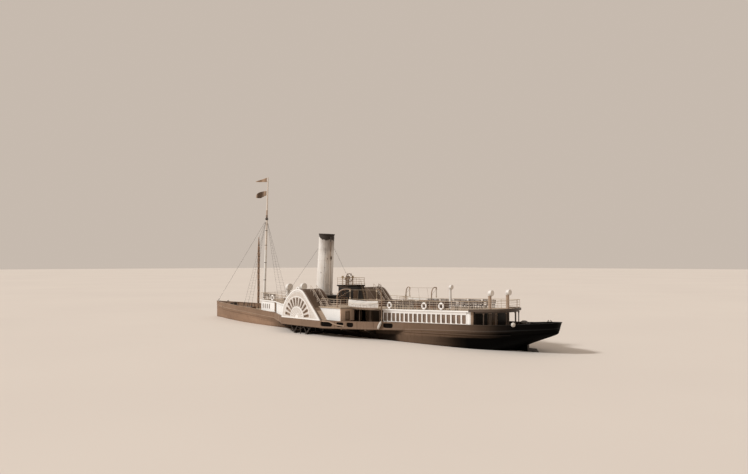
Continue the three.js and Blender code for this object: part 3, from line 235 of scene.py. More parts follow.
class Kit:
    """Gathers the faces of one piece."""

    def __init__(self):
        self.points = []
        self.faces = []
        self.uvs = []

    def add(self, points, faces, uvs=None):
        base = len(self.points)
        self.points += [tuple(p) for p in points]
        self.faces += [tuple(base + i for i in face) for face in faces]
        self.uvs += list(uvs) if uvs else [(0.0, 0.0)] * len(points)
        return self

    def box(self, x0, x1, y0, y1, z0, z1):
        corners = [(x, y, z) for x in (x0, x1) for y in (y0, y1) for z in (z0, z1)]
        return self.add(corners, BOX_FACES)

    def slab(self, at, u, n, us, ns, zs):
        """A block in a wall's own directions: along u, out along n, and up."""
        corners = [(at[0] + u[0] * a + n[0] * b, at[1] + u[1] * a + n[1] * b, at[2] + c)
                   for a in us for b in ns for c in zs]
        return self.add(corners, BOX_FACES)

    def beam(self, a, b, wide, deep, up=(0, 0, 1)):
        """A square-edged bar from a to b."""
        a, b = Vector(a), Vector(b)
        along = (b - a).normalized()
        side = along.cross(Vector(up))
        side = side.normalized() if side.length > 1e-4 else Vector((0, 1, 0))
        lift = side.cross(along).normalized()
        corners = [p + side * (s * wide / 2) + lift * (t * deep / 2)
                   for p in (a, b) for s in (-1, 1) for t in (-1, 1)]
        return self.add(corners, BOX_FACES)

    def loft(self, rings, closed=False, caps=True, uvs=None):
        """Closed rings of equal length, joined one to the next."""
        n = len(rings[0])
        faces = []
        count = len(rings)
        for i in range(count if closed else count - 1):
            a, b = i * n, (i + 1) % count * n
            for j in range(n):
                k = (j + 1) % n
                faces.append((a + j, a + k, b + k, b + j))
        if caps and not closed:
            faces.append(tuple(reversed(range(n))))
            faces.append(tuple(range((count - 1) * n, count * n)))
        return self.add([p for ring in rings for p in ring], faces, uvs)

    def tube(self, path, radius, sides=8, closed=False):
        path = [Vector(p) for p in path]
        radii = radius if isinstance(radius, (list, tuple)) else [radius] * len(path)
        count = len(path)
        rings = []
        side = None
        for i, p in enumerate(path):
            if closed:
                along = (path[(i + 1) % count] - path[i - 1]).normalized()
            else:
                along = (path[min(i + 1, count - 1)] - path[max(i - 1, 0)]).normalized()
            if side is None:
                guess = Vector((1, 0, 0)) if abs(along.z) > 0.9 else Vector((0, 0, 1))
                side = guess
            side = (side - along * side.dot(along)).normalized()
            other = along.cross(side)
            rings.append([p + (side * math.cos(t) + other * math.sin(t)) * radii[i]
                          for t in (2 * math.pi * (k + 0.5) / sides for k in range(sides))])
        return self.loft(rings, closed=closed)

    def lathe(self, profile, centre, axis=(0, 0, 1), sides=24):
        """A turned shape: profile is (radius, distance along the axis)."""
        axis = Vector(axis).normalized()
        guess = Vector((1, 0, 0)) if abs(axis.x) < 0.9 else Vector((0, 1, 0))
        u = (guess - axis * guess.dot(axis)).normalized()
        v = axis.cross(u)
        centre = Vector(centre)
        rings = [[centre + axis * h + (u * math.cos(t) + v * math.sin(t)) * max(r, 1e-4)
                  for t in (2 * math.pi * k / sides for k in range(sides))] for r, h in profile]
        return self.loft(rings)

    def prism(self, outline, axis, low, high):
        """An outline of (u, v) pushed along an axis."""
        place = {"x": lambda u, v, w: (w, u, v), "y": lambda u, v, w: (u, w, v),
                 "z": lambda u, v, w: (u, v, w)}[axis]
        return self.loft([[place(u, v, w) for u, v in outline] for w in (low, high)])

    def ring(self, centre, normal, radius, thick, count=28, sides=10):
        normal = Vector(normal).normalized()
        guess = Vector((0, 0, 1)) if abs(normal.z) < 0.9 else Vector((1, 0, 0))
        u = (guess - normal * guess.dot(normal)).normalized()
        v = normal.cross(u)
        path = [Vector(centre) + (u * math.cos(t) + v * math.sin(t)) * radius
                for t in (2 * math.pi * k / count for k in range(count))]
        return self.tube(path, thick, sides, closed=True)

    def ball(self, centre, radius, sides=12):
        steps = max(4, sides // 2)
        profile = [(radius * math.sin(math.pi * k / steps), -radius * math.cos(math.pi * k / steps))
                   for k in range(steps + 1)]
        return self.lathe(profile, centre, sides=sides)

    def mirrored(self):
        """Adds the same shapes on the other side of the ship."""
        other = [(x, -y, z) for x, y, z in self.points]
        faces = [tuple(reversed(face)) for face in self.faces]
        return self.add(other, faces, list(self.uvs))

    def starboard(self):
        """The same shapes on the starboard side only."""
        out = Kit()
        out.add([(x, -y, z) for x, y, z in self.points],
                [tuple(reversed(face)) for face in self.faces], list(self.uvs))
        return out


BOX_FACES = [(0, 1, 3, 2), (4, 6, 7, 5), (0, 4, 5, 1), (2, 3, 7, 6), (0, 2, 6, 4), (1, 5, 7, 3)]


def within(point):
    """Keeps a point inside the CAD model's box."""
    low, high = CAD_BOX
    return Vector([min(max(point[i], low[i]), high[i]) for i in range(3)])


def make(name, kit, material, body="ship", slot=None, replaces=(), crease=32, bevel=0.0):
    """Turns a kit into a piece that rides on a body."""
    mesh = bpy.data.meshes.new(name)
    work = bmesh.new()
    place = within if body else Vector
    verts = [work.verts.new(place(Vector(p) * SCALE)) for p in kit.points]
    layer = work.loops.layers.uv.new("run")
    for face in kit.faces:
        if len(set(face)) < 3:
            continue
        try:
            made = work.faces.new([verts[i] for i in face])
        except ValueError:
            continue
        made.smooth = crease > 0
        for loop, i in zip(made.loops, face):
            loop[layer].uv = kit.uvs[i]
    bmesh.ops.remove_doubles(work, verts=work.verts, dist=2e-5)
    bmesh.ops.dissolve_degenerate(work, dist=1e-6, edges=work.edges)
    bmesh.ops.recalc_face_normals(work, faces=work.faces)
    work.to_mesh(mesh)
    work.free()
    if crease > 0:
        mesh.set_sharp_from_angle(angle=math.radians(crease))
    piece = bpy.data.objects.new(name, mesh)
    piece.data.materials.append(material)
    bpy.context.collection.objects.link(piece)
    if bevel:
        edge = piece.modifiers.new("edge", "BEVEL")
        edge.width = bevel * SCALE
        edge.segments = 2
        edge.limit_method = "ANGLE"
        edge.angle_limit = math.radians(40)
    if body:
        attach(piece, body)
    if replaces:
        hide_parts(*replaces)
    return piece


def pair_up(name, kit, material, slot=None, replaced=None, crease=40, bevel=0.0, body="ship"):
    """Makes a port piece and its twin to starboard."""
    made = []
    for side, shape in (("port", kit), ("starboard", kit.starboard())):
        nodes = [replaced + "_" + side] if replaced else ()
        made.append(make(name + "_" + side, shape, material, body=body, slot=slot,
                         replaces=nodes, crease=crease, bevel=bevel))
    return made


def finish_nodes(material, *names):
    """Gives CAD nodes their material."""
    for name in names:
        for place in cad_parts[name].material_slots:
            place.link = "OBJECT"
            place.material = material


# Materials

class Shader:
    """A material's nodes, wired by short calls."""

    def __init__(self, name, roughness=0.5, metallic=0.0, specular=0.5):
        self.material = bpy.data.materials.new(name)
        self.material.use_nodes = True
        self.tree = self.material.node_tree
        self.surface = self.tree.nodes["Principled BSDF"]
        self.surface.inputs["Roughness"].default_value = roughness
        self.surface.inputs["Metallic"].default_value = metallic
        self.surface.inputs["Specular IOR Level"].default_value = specular
        self.where = self.node("ShaderNodeTexCoord").outputs["Object"]
        self.run = self.node("ShaderNodeTexCoord").outputs["UV"]

    def node(self, kind, **settings):
        made = self.tree.nodes.new(kind)
        for key, value in settings.items():
            setattr(made, key, value)
        return made

    def put(self, value, socket):
        if isinstance(value, bpy.types.NodeSocket):
            self.tree.links.new(value, socket)
        elif hasattr(socket.default_value, "__len__") and not hasattr(value, "__len__"):
            socket.default_value = [value] * len(socket.default_value)
        else:
            socket.default_value = value

    def stretched(self, scale, source=None):
        made = self.node("ShaderNodeMapping")
        self.put(source or self.where, made.inputs["Vector"])
        made.inputs["Scale"].default_value = scale
        return made.outputs[0]

    def noise(self, scale, detail=4.0, rough=0.55, stretch=None, source=None, twist=0.0):
        made = self.node("ShaderNodeTexNoise")
        made.inputs["Scale"].default_value = scale
        made.inputs["Detail"].default_value = detail
        made.inputs["Roughness"].default_value = rough
        made.inputs["Distortion"].default_value = twist
        vector = self.stretched(stretch, source) if stretch else (source or self.where)
        self.put(vector, made.inputs["Vector"])
        return made.outputs["Fac"]

    def ramp(self, factor, *stops):
        """Colours or greys at places from 0 to 1."""
        made = self.node("ShaderNodeValToRGB")
        elements = made.color_ramp.elements
        while len(elements) < len(stops):
            elements.new(0.5)
        for element, (place, colour) in zip(elements, stops):
            element.position = place
            element.color = (*colour, 1) if hasattr(colour, "__len__") else (colour, colour, colour, 1)
        self.put(factor, made.inputs["Fac"])
        return made.outputs["Color"]

    def mix(self, factor, a, b, blend="MIX"):
        made = self.node("ShaderNodeMix", data_type="RGBA", blend_type=blend)
        self.put(factor, made.inputs["Factor"])
        for value, socket in ((a, made.inputs[6]), (b, made.inputs[7])):
            self.put((*value, 1) if isinstance(value, tuple) and len(value) == 3 else value, socket)
        return made.outputs[2]

    def math(self, operation, a, b=0.0, c=0.0):
        made = self.node("ShaderNodeMath", operation=operation)
        for value, socket in zip((a, b, c), made.inputs):
            self.put(value, socket)
        return made.outputs[0]

    def axis(self, name, source=None):
        made = self.node("ShaderNodeSeparateXYZ")
        self.put(source or self.where, made.inputs[0])
        return made.outputs[name]

    def grooves(self, axis, pitch, wide, source=None):
        """1 in narrow lines that repeat at a pitch along an axis, else 0."""
        place = self.math("MULTIPLY", self.axis(axis, source), 1 / (pitch * SCALE))
        part = self.math("FRACT", place)
        edge = self.math("ABSOLUTE", self.math("SUBTRACT", part, 0.5))
        return self.math("GREATER_THAN", edge, 0.5 - wide / pitch / 2)

    def along_ship(self, *stops):
        """Colours or greys at places along the ship, given from the stern to the bow."""
        run = self.node("ShaderNodeMapRange")
        self.put(self.axis("X"), run.inputs["Value"])
        run.inputs["From Min"].default_value = SHIP_AFT * SCALE
        run.inputs["From Max"].default_value = SHIP_FORE * SCALE
        return self.ramp(run.outputs[0],
                         *[((x - SHIP_AFT) / (SHIP_FORE - SHIP_AFT), tone) for x, tone in stops])

    def polar(self, turn, reach):
        """Angle and distance as a vector, to streak a texture outwards."""
        made = self.node("ShaderNodeCombineXYZ")
        self.put(self.math("MULTIPLY", turn, 5.0), made.inputs["X"])
        self.put(self.math("MULTIPLY", reach, 1.2), made.inputs["Y"])
        return made.outputs[0]

    def inside(self, name, low, high):
        """1 where an axis lies between two places of the real ship, else 0."""
        value = self.axis(name)
        above = self.math("GREATER_THAN", value, low * SCALE)
        return self.math("MULTIPLY", above, self.math("LESS_THAN", value, high * SCALE))

    def facing_down(self):
        """1 on undersides, else 0."""
        normal = self.node("ShaderNodeNewGeometry").outputs["Normal"]
        return self.math("LESS_THAN", self.axis("Z", normal), -0.6)

    def bump(self, height, strength=0.3, distance=0.01):
        made = self.node("ShaderNodeBump")
        made.inputs["Strength"].default_value = strength
        made.inputs["Distance"].default_value = distance
        self.put(height, made.inputs["Height"])
        if self.surface.inputs["Normal"].is_linked:
            self.put(self.surface.inputs["Normal"].links[0].from_socket, made.inputs["Normal"])
        self.put(made.outputs[0], self.surface.inputs["Normal"])

    def colour(self, value):
        self.put(value, self.surface.inputs["Base Color"])

    def rough(self, factor, low, high):
        made = self.node("ShaderNodeMapRange")
        self.put(factor, made.inputs["Value"])
        made.inputs["To Min"].default_value = low
        made.inputs["To Max"].default_value = high
        self.put(made.outputs[0], self.surface.inputs["Roughness"])


def darker(colour, share):
    return tuple(c * share for c in colour)


def paint(name, colour, boards=None, grime=0.5, gloss=(0.32, 0.62), rust=0.0, weather=0.8, other=(),
          shade_along_ship=(), specular=0.5):
    """Oil paint on boards or plate: brush marks, streaks of grime, worn patches.

    other lists (axis, low, high, colour) where another colour goes on, a second coat or painted shade; the
    greys along the ship are painted shade.
    """
    s = Shader(name, specular=specular)
    broad = s.noise(0.9, 3, 0.6)
    tone = s.mix(s.ramp(broad, (0.3, 0.0), (0.75, 1.0)), colour, darker(colour, weather))
    for axis, low, high, second in other:
        tone = s.mix(s.inside(axis, low, high), tone, second)
    streak = s.noise(5.0, 5, 0.6, stretch=(3.0, 3.0, 0.28))
    wash = s.ramp(streak, (0.52, 0.0), (0.78, grime))
    tone = s.mix(wash, tone, s.mix(1.0, tone, (0.62, 0.56, 0.49), "MULTIPLY"))
    speck = s.noise(38.0, 3, 0.7)
    tone = s.mix(s.ramp(speck, (0.6, 0.0), (0.85, 0.35)), tone,
                 s.mix(1.0, tone, (0.7, 0.7, 0.7), "MULTIPLY"))
    if rust:
        spots = s.noise(7.0, 6, 0.7, stretch=(1.5, 1.5, 0.5))
        tone = s.mix(s.ramp(spots, (0.62, 0.0), (0.74, rust)), tone, (0.19, 0.09, 0.04))
    if boards:
        axis, pitch = boards
        lines = s.grooves(axis, pitch, 0.014)
        tone = s.mix(s.math("MULTIPLY", lines, 0.55), tone, s.mix(1.0, tone, (0.45, 0.45, 0.45), "MULTIPLY"))
        s.bump(s.math("SUBTRACT", 1.0, lines), 0.5, 0.004)
    # Painted shade: the greys along the ship darken the coat towards the stern.
    if shade_along_ship:
        tone = s.mix(1.0, tone, s.along_ship(*shade_along_ship), "MULTIPLY")
    s.colour(tone)
    s.bump(s.noise(60.0, 2, 0.5, stretch=(1, 1, 0.3)), 0.12, 0.002)
    s.rough(s.noise(12.0, 4, 0.6), *gloss)
    return s.material


def decking(name, colour, width=0.14, long=6.0, under=None):
    """Scrubbed deck planks laid fore and aft, with pitched seams, and painted shade on their undersides when
    under is given.
    """
    s = Shader(name, specular=0.35)
    planks = s.node("ShaderNodeTexBrick", offset=0.37, offset_frequency=3)
    s.put(s.where, planks.inputs["Vector"])
    for key, value in (("Scale", 1.0), ("Mortar Size", 0.0035), ("Mortar Smooth", 0.1), ("Bias", 0.0),
                       ("Brick Width", long * SCALE), ("Row Height", width * SCALE)):
        planks.inputs[key].default_value = value
    planks.inputs["Color1"].default_value = (*colour, 1)
    planks.inputs["Color2"].default_value = (*darker(colour, 0.72), 1)
    planks.inputs["Mortar"].default_value = (0.035, 0.026, 0.02, 1)
    grain = s.noise(9.0, 6, 0.65, stretch=(0.5, 9.0, 9.0))
    tone = s.mix(s.ramp(grain, (0.35, 0.0), (0.8, 0.5)), planks.outputs["Color"], darker(colour, 0.5))
    mottled = s.noise(0.8, 4, 0.6)
    tone = s.mix(s.ramp(mottled, (0.5, 0.0), (0.8, 0.45)), tone, darker(colour, 0.6))
    # Painted shade: undersides take the under colour.
    if under:
        tone = s.mix(s.facing_down(), tone, s.mix(mottled, under, darker(under, 0.6)))
    s.colour(tone)
    s.bump(planks.outputs["Fac"], 0.5, -0.004)
    s.bump(grain, 0.2, 0.002)
    s.rough(mottled, 0.55, 0.85)
    return s.material


def timber(name, colour, grain_axis="x", gloss=(0.25, 0.5), coat=0.0, boards=None):
    """Wood with grain along one axis, bare or varnished."""
    s = Shader(name)
    stretch = {"x": (0.6, 11, 11), "y": (11, 0.6, 11), "z": (11, 11, 0.6)}[grain_axis]
    grain = s.noise(4.0, 8, 0.7, stretch=stretch, twist=0.6)
    tone = s.mix(s.ramp(grain, (0.3, 0.0), (0.72, 1.0)), colour, darker(colour, 0.52))
    patch = s.noise(1.6, 3, 0.6)
    tone = s.mix(s.ramp(patch, (0.45, 0.0), (0.8, 0.5)), tone, darker(colour, 0.66))
    if boards:
        axis, pitch = boards
        lines = s.grooves(axis, pitch, 0.012)
        tone = s.mix(s.math("MULTIPLY", lines, 0.7), tone, darker(colour, 0.25))
        s.bump(s.math("SUBTRACT", 1.0, lines), 0.5, 0.004)
    s.colour(tone)
    s.bump(grain, 0.18, 0.002)
    s.rough(patch, *gloss)
    if coat:
        s.surface.inputs["Coat Weight"].default_value = coat
        s.surface.inputs["Coat Roughness"].default_value = 0.2
    return s.material


def iron(name, colour=(0.05, 0.043, 0.038), rust=0.4, gloss=(0.4, 0.72)):
    s = Shader(name, metallic=0.0, specular=0.5)
    cloud = s.noise(3.0, 6, 0.65)
    tone = s.mix(s.ramp(cloud, (0.4, 0.0), (0.8, 1.0)), colour, darker(colour, 1.7))
    spots = s.noise(9.0, 7, 0.75)
    tone = s.mix(s.ramp(spots, (0.55, 0.0), (0.72, rust)), tone, (0.2, 0.1, 0.05))
    s.colour(tone)
    s.bump(s.noise(45.0, 4, 0.6), 0.25, 0.002)
    s.rough(cloud, *gloss)
    return s.material


def metal(name, colour, gloss=(0.18, 0.42)):
    s = Shader(name, metallic=1.0)
    cloud = s.noise(6.0, 5, 0.6)
    s.colour(s.mix(s.ramp(cloud, (0.4, 0.0), (0.8, 0.8)), colour, darker(colour, 0.5)))
    s.bump(s.noise(70.0, 2, 0.5), 0.08, 0.001)
    s.rough(cloud, *gloss)
    return s.material


def cloth(name, colour, weave=420.0, folds=0.4):
    """Canvas or bunting: a fine weave with weathered patches."""
    s = Shader(name, roughness=0.9, specular=0.2)
    patch = s.noise(2.2, 5, 0.65)
    tone = s.mix(s.ramp(patch, (0.35, 0.0), (0.75, 1.0)), colour, darker(colour, 0.74))
    tone = s.mix(s.ramp(s.noise(16.0, 4, 0.6), (0.55, 0.0), (0.8, 0.35)), tone, darker(colour, 0.55))
    s.colour(tone)
    threads = s.node("ShaderNodeTexWave", wave_type="BANDS", bands_direction="X")
    threads.inputs["Scale"].default_value = weave / 6
    s.put(s.where, threads.inputs["Vector"])
    across = s.node("ShaderNodeTexWave", wave_type="BANDS", bands_direction="Z")
    across.inputs["Scale"].default_value = weave / 6
    s.put(s.where, across.inputs["Vector"])
    s.bump(s.math("MULTIPLY", threads.outputs["Fac"], across.outputs["Fac"]), 0.15, 0.001)
    s.bump(s.noise(5.0, 4, 0.6, twist=0.8), folds, 0.02)
    s.surface.inputs["Sheen Weight"].default_value = 0.15
    return s.material


def rope(name, colour):
    """Laid rope: strands that wind round it."""
    s = Shader(name, roughness=0.9, specular=0.2)
    strands = s.node("ShaderNodeTexWave", wave_type="BANDS", bands_direction="DIAGONAL")
    strands.inputs["Scale"].default_value = 14.0
    strands.inputs["Distortion"].default_value = 1.5
    s.put(s.where, strands.inputs["Vector"])
    tone = s.mix(s.ramp(strands.outputs["Fac"], (0.2, 0.0), (0.9, 1.0)), darker(colour, 0.6), colour)
    tone = s.mix(s.ramp(s.noise(3.0, 4), (0.4, 0.0), (0.8, 0.6)), tone, darker(colour, 0.6))
    s.colour(tone)
    s.bump(strands.outputs["Fac"], 0.4, 0.004)
    return s.material


def glazing(name, colour):
    """Old window glass whose colour is painted shade for the dim room behind it."""
    s = Shader(name, roughness=0.08)
    wave = s.noise(2.2, 3, 0.5, twist=0.5)
    s.colour(s.mix(s.ramp(wave, (0.3, 0.0), (0.75, 1.0)), colour, darker(colour, 0.45)))
    s.bump(s.noise(4.0, 2, 0.5), 0.06, 0.003)
    s.rough(wave, 0.04, 0.2)
    s.surface.inputs["Coat Weight"].default_value = 0.25
    s.surface.inputs["Coat Roughness"].default_value = 0.05
    return s.material


# Painted shade: how the brown of the topsides darkens towards the stern, into the shade of the counter.
TOPSIDE_SHADE = [(-34, 0.001), (-30, 0.006), (-28.4, 0.04), (-26.6, 0.2), (-25, 0.36),
                (-22.5, 0.52), (-17, 0.66), (-9, 0.74), (3, 0.8), (16, 1.0), (31, 1.0)]
# Painted light and shade on the hull below the topsides: paler where light falls on the bow, a painted
# reflection of the water just aft of the sponsons, painted shadow under the sponsons and painted shade
# darkening to the stern.
HULL_LIGHT_AND_SHADE = [(-34, 0.001), (-24.6, 0.004), (-23.2, 0.04), (-22.0, 0.15), (-20.0, 0.34), (-17.0, 0.46),
             (-15.3, 0.42), (-14.6, 0.05), (1.0, 0.05),
             (5.5, 0.12), (8.8, 0.6), (10.6, 1.14), (14, 1.22), (20, 1.08), (31, 1.05)]
# The same painted light and shade on the paler strake under the sheer.
STRAKE_LIGHT_AND_SHADE = [(-34, 0.001), (-28.6, 0.006), (-26.4, 0.15), (-22.5, 0.42), (-16.4, 0.6),
             (-15.0, 0.2), (4, 0.2), (9.5, 0.7), (12, 1.0), (15, 1.1), (31, 1.02)]


def hull_paint(name):
    """Dark paint with painted light and shade along the ship, paler at the bow and darker under the sponsons
    and towards the stern, with a paler strake under the sheer and plate seams.
    """
    s = Shader(name, specular=0.03)
    brown = (0.285, 0.187, 0.127)
    down = s.axis("Y", s.run)
    # The paler strake ends at a line parallel to the sheer.
    edge = s.math("ADD", down, s.math("MULTIPLY", s.math("SUBTRACT", s.noise(2.0, 4), 0.5), 0.05))
    upper = s.node("ShaderNodeMapRange", interpolation_type="SMOOTHSTEP")
    s.put(edge, upper.inputs["Value"])
    upper.inputs["From Min"].default_value = 0.34
    upper.inputs["From Max"].default_value = 0.26
    # Painted light and shade: the brown is scaled along the ship by the tables above.
    tone = s.mix(1.0, brown, s.mix(upper.outputs[0], s.along_ship(*HULL_LIGHT_AND_SHADE), s.along_ship(*STRAKE_LIGHT_AND_SHADE)),
                 "MULTIPLY")
    plates = s.node("ShaderNodeTexBrick", offset=0.5)
    s.put(s.run, plates.inputs["Vector"])
    for key, value in (("Scale", 1.0), ("Mortar Size", 0.004), ("Mortar Smooth", 0.3), ("Bias", 0.0),
                       ("Brick Width", 1.7), ("Row Height", 0.29)):
        plates.inputs[key].default_value = value
    plates.inputs["Color1"].default_value = (1, 1, 1, 1)
    plates.inputs["Color2"].default_value = (0.84, 0.84, 0.84, 1)
    plates.inputs["Mortar"].default_value = (0.5, 0.47, 0.44, 1)
    tone = s.mix(0.75, tone, s.mix(1.0, tone, plates.outputs["Color"], "MULTIPLY"))
    streak = s.noise(3.2, 6, 0.65, stretch=(3.4, 3.4, 0.3))
    tone = s.mix(s.ramp(streak, (0.5, 0.0), (0.75, 0.6)), tone,
                 s.mix(1.0, tone, (0.6, 0.55, 0.52), "MULTIPLY"))
    salt = s.noise(6.0, 5, 0.7, stretch=(1.0, 1.0, 0.45))
    tone = s.mix(s.ramp(salt, (0.6, 0.0), (0.85, 0.5)), tone, s.mix(1.0, tone, (1.5, 1.5, 1.5), "MULTIPLY"))
    low = s.node("ShaderNodeMapRange", interpolation_type="SMOOTHSTEP")
    s.put(s.axis("Z"), low.inputs["Value"])
    low.inputs["From Min"].default_value = 0.12
    low.inputs["From Max"].default_value = 0.0
    tone = s.mix(s.math("MULTIPLY", low.outputs[0], 0.5), tone,
                 s.mix(1.0, tone, (0.5, 0.47, 0.45), "MULTIPLY"))
    under = s.math("LESS_THAN", s.axis("Z"), -0.02)
    tone = s.mix(under, tone, s.mix(s.noise(2.0, 6, 0.7), (0.16, 0.055, 0.035), (0.07, 0.04, 0.03)))
    s.colour(tone)
    s.bump(plates.outputs["Fac"], 0.5, -0.006)
    s.bump(s.noise(26.0, 4, 0.6), 0.12, 0.003)
    s.rough(streak, 0.42, 0.7)
    return s.material


def face_paint():
    """The paddle box's white face, darker in rings round its fan of slots and streaked along the rays."""
    s = Shader("paddle_face_white", specular=0.4)
    broad = s.noise(0.9, 3, 0.6)
    tone = s.mix(s.ramp(broad, (0.3, 0.0), (0.75, 1.0)), (0.68, 0.65, 0.62), (0.59, 0.555, 0.52))
    dx = s.math("SUBTRACT", s.axis("X"), FAN_X * SCALE)
    dz = s.math("SUBTRACT", s.axis("Z"), FAN_Z * SCALE)
    squares = s.math("ADD", s.math("MULTIPLY", dx, dx), s.math("MULTIPLY", dz, dz))
    reach = s.math("MULTIPLY", s.math("SQRT", squares), 1 / (4 * SCALE))
    rings = s.ramp(reach, (0.0, 0.35), (0.12, 0.8), (0.3, 0.55), (0.36, 0.1), (0.6, 0.1), (0.68, 0.75),
                   (0.8, 0.55), (0.95, 0.15))
    turn = s.math("ARCTAN2", dz, dx)
    rays = s.noise(2.0, 3, 0.6, source=s.polar(turn, reach))
    mottled = s.math("MULTIPLY", rings, s.ramp(rays, (0.35, 0.15), (0.65, 1.0)))
    tone = s.mix(mottled, tone, (0.52, 0.44, 0.37))
    speck = s.noise(38.0, 3, 0.7)
    tone = s.mix(s.ramp(speck, (0.6, 0.0), (0.85, 0.35)), tone,
                 s.mix(1.0, tone, (0.7, 0.7, 0.7), "MULTIPLY"))
    lines = s.grooves("Z", 0.2, 0.014)
    tone = s.mix(s.math("MULTIPLY", lines, 0.4), tone, s.mix(1.0, tone, (0.45, 0.45, 0.45), "MULTIPLY"))
    s.colour(tone)
    s.bump(s.math("SUBTRACT", 1.0, lines), 0.5, 0.004)
    s.rough(s.noise(12.0, 4, 0.6), 0.35, 0.62)
    return s.material


WHITE_PAINT = (0.87, 0.86, 0.84)
BROWN_PAINT = (0.265, 0.176, 0.121)
# Painted shade: dark brown for wall feet hidden behind bulwarks and seen through the sponsons' ports.
SHADE_BROWN = (0.09, 0.058, 0.039)
# Painted shade: near-black for the promenade deck's undersides.
UNDERSIDE_SHADE = (0.028, 0.019, 0.013)
HULL = hull_paint("hull_paint")
# The topside browns, their trim and the sponson's brown darken towards the stern as painted shade.
BROWN = paint("brown_topside", BROWN_PAINT, grime=0.5, gloss=(0.42, 0.65), shade_along_ship=TOPSIDE_SHADE, specular=0.05)
# The sponson's brown turns near-black below its lower edge: painted shadow under the sponson.
SPONSON_BROWN = paint("sponson_brown", (0.29, 0.193, 0.133), grime=0.5, gloss=(0.42, 0.65),
                      shade_along_ship=TOPSIDE_SHADE, specular=0.15, other=[("Z", -0.6, 1.02, (0.022, 0.015, 0.011))])
BROWN_TRIM = paint("scuffed_brown", (0.33, 0.23, 0.165), grime=0.5, shade_along_ship=TOPSIDE_SHADE, specular=0.15)
EDGE_BROWN = paint("edge_brown", (0.085, 0.057, 0.04), grime=0.5)
# Brown window rims: dark teak tone deepened as painted shade of the window recesses.
RIM_BROWN = paint("window_rim_brown", (0.235, 0.162, 0.115), grime=0.4)
DECK_TRIM = paint("deck_trim_brown", (0.17, 0.115, 0.08), grime=0.5)
# Painted shade on the saloon's boards: brown on the rounded after corner, near-black on the after wall under
# the veranda's roof, and dark brown at the wall's foot behind the bulwark.
SALOON_WHITE = paint("saloon_boards", (0.92, 0.91, 0.89), boards=("X", 0.16), grime=0.12, weather=0.97,
                     specular=0.2,
                     other=[("X", -25.5, -25.26, (0.36, 0.26, 0.19)),
                            ("X", -26.0, -25.47, (0.013, 0.009, 0.006)), ("Z", 0.5, 2.0, SHADE_BROWN)])
# The wing walls and sponson houses are painted dark brown at the foot behind the sponson's bulwark, as
# painted shade seen through its ports; the sponson houses' after walls are tan.
WING_WHITE = paint("wing_boards", WHITE_PAINT, boards=("X", 0.16), grime=0.25, weather=0.92,
                   other=[("Z", 0.5, 1.93, SHADE_BROWN)])
SPONSON_WHITE = paint("sponson_house_boards", WHITE_PAINT, boards=("X", 0.16), grime=0.25, weather=0.92,
                      other=[("X", -8.2, -7.695, (0.76, 0.57, 0.435)), ("Z", 0.5, 1.93, SHADE_BROWN)])
# The fore house's after wall is painted brown: painted shade on the wall turned away from the light.
FORE_WHITE = paint("fore_house_boards", WHITE_PAINT, boards=("X", 0.16), grime=0.25, weather=0.92,
                   other=[("X", 9.0, 9.58, (0.24, 0.165, 0.115))])
WHITE_TRIM = paint("white_trim", (0.85, 0.835, 0.815), grime=0.15, weather=0.96)
FACE = face_paint()
CREAM = paint("cream_iron", (0.77, 0.745, 0.71), grime=0.35, rust=0.1, weather=0.93)
# The after cowls' trunks are brown from just under the promenade deck upward, and near-black lower down as
# painted shade under the deck.
TRUNK_CREAM = paint("cream_trunk", (0.77, 0.745, 0.71), grime=0.35, rust=0.1, weather=0.93,
                    other=[("Z", 3.6, 5.42, (0.4, 0.29, 0.21)), ("Z", 0.0, 3.6, (0.1, 0.07, 0.05))])
# The steam pipe's buff is the tone of the funnel in shade, painted shade; soot darkens it towards the top.
PIPE_PAINT = paint("pipe_buff", (0.5, 0.42, 0.35), grime=0.4,
                   other=[("Z", 9.3, 10.3, (0.34, 0.26, 0.2)), ("Z", 10.3, 11.6, (0.17, 0.12, 0.085)),
                          ("Z", 11.6, 12.6, (0.03, 0.021, 0.015))])
BUFF = paint("davit_buff", (0.36, 0.255, 0.18), grime=0.45)
# Near-black for the bridge's edge and beams: painted shade under the bridge.
BRIDGE_EDGE_SHADE = paint("bridge_edge_painted_shade", (0.014, 0.01, 0.007), grime=0.4, specular=0.06)
VENT_BOARDS = paint("vent_boards", (0.36, 0.25, 0.175), grime=0.5)
COWL_INSIDE = paint("cowl_inside", (0.9, 0.84, 0.77), grime=0.3)
CROWN = paint("tarred_crown", (0.115, 0.076, 0.052), grime=0.5, gloss=(0.6, 0.85), specular=0.25,
              other=[("Z", 3.0, 3.35, (0.24, 0.17, 0.12)), ("Z", 0.0, 3.0, (0.5, 0.385, 0.29))])
RAIL = paint("rail_paint", (0.6, 0.5, 0.41), grime=0.4)
DECK = decking("deck_planks", (0.5, 0.39, 0.28))
# The promenade deck's undersides are near-black: painted shade under the deck.
PROM_DECK = decking("promenade_planks", (0.52, 0.41, 0.3), under=UNDERSIDE_SHADE)
DOOR_BROWN = timber("brown_door", (0.5, 0.365, 0.27), grain_axis="z", boards=("X", 0.17))
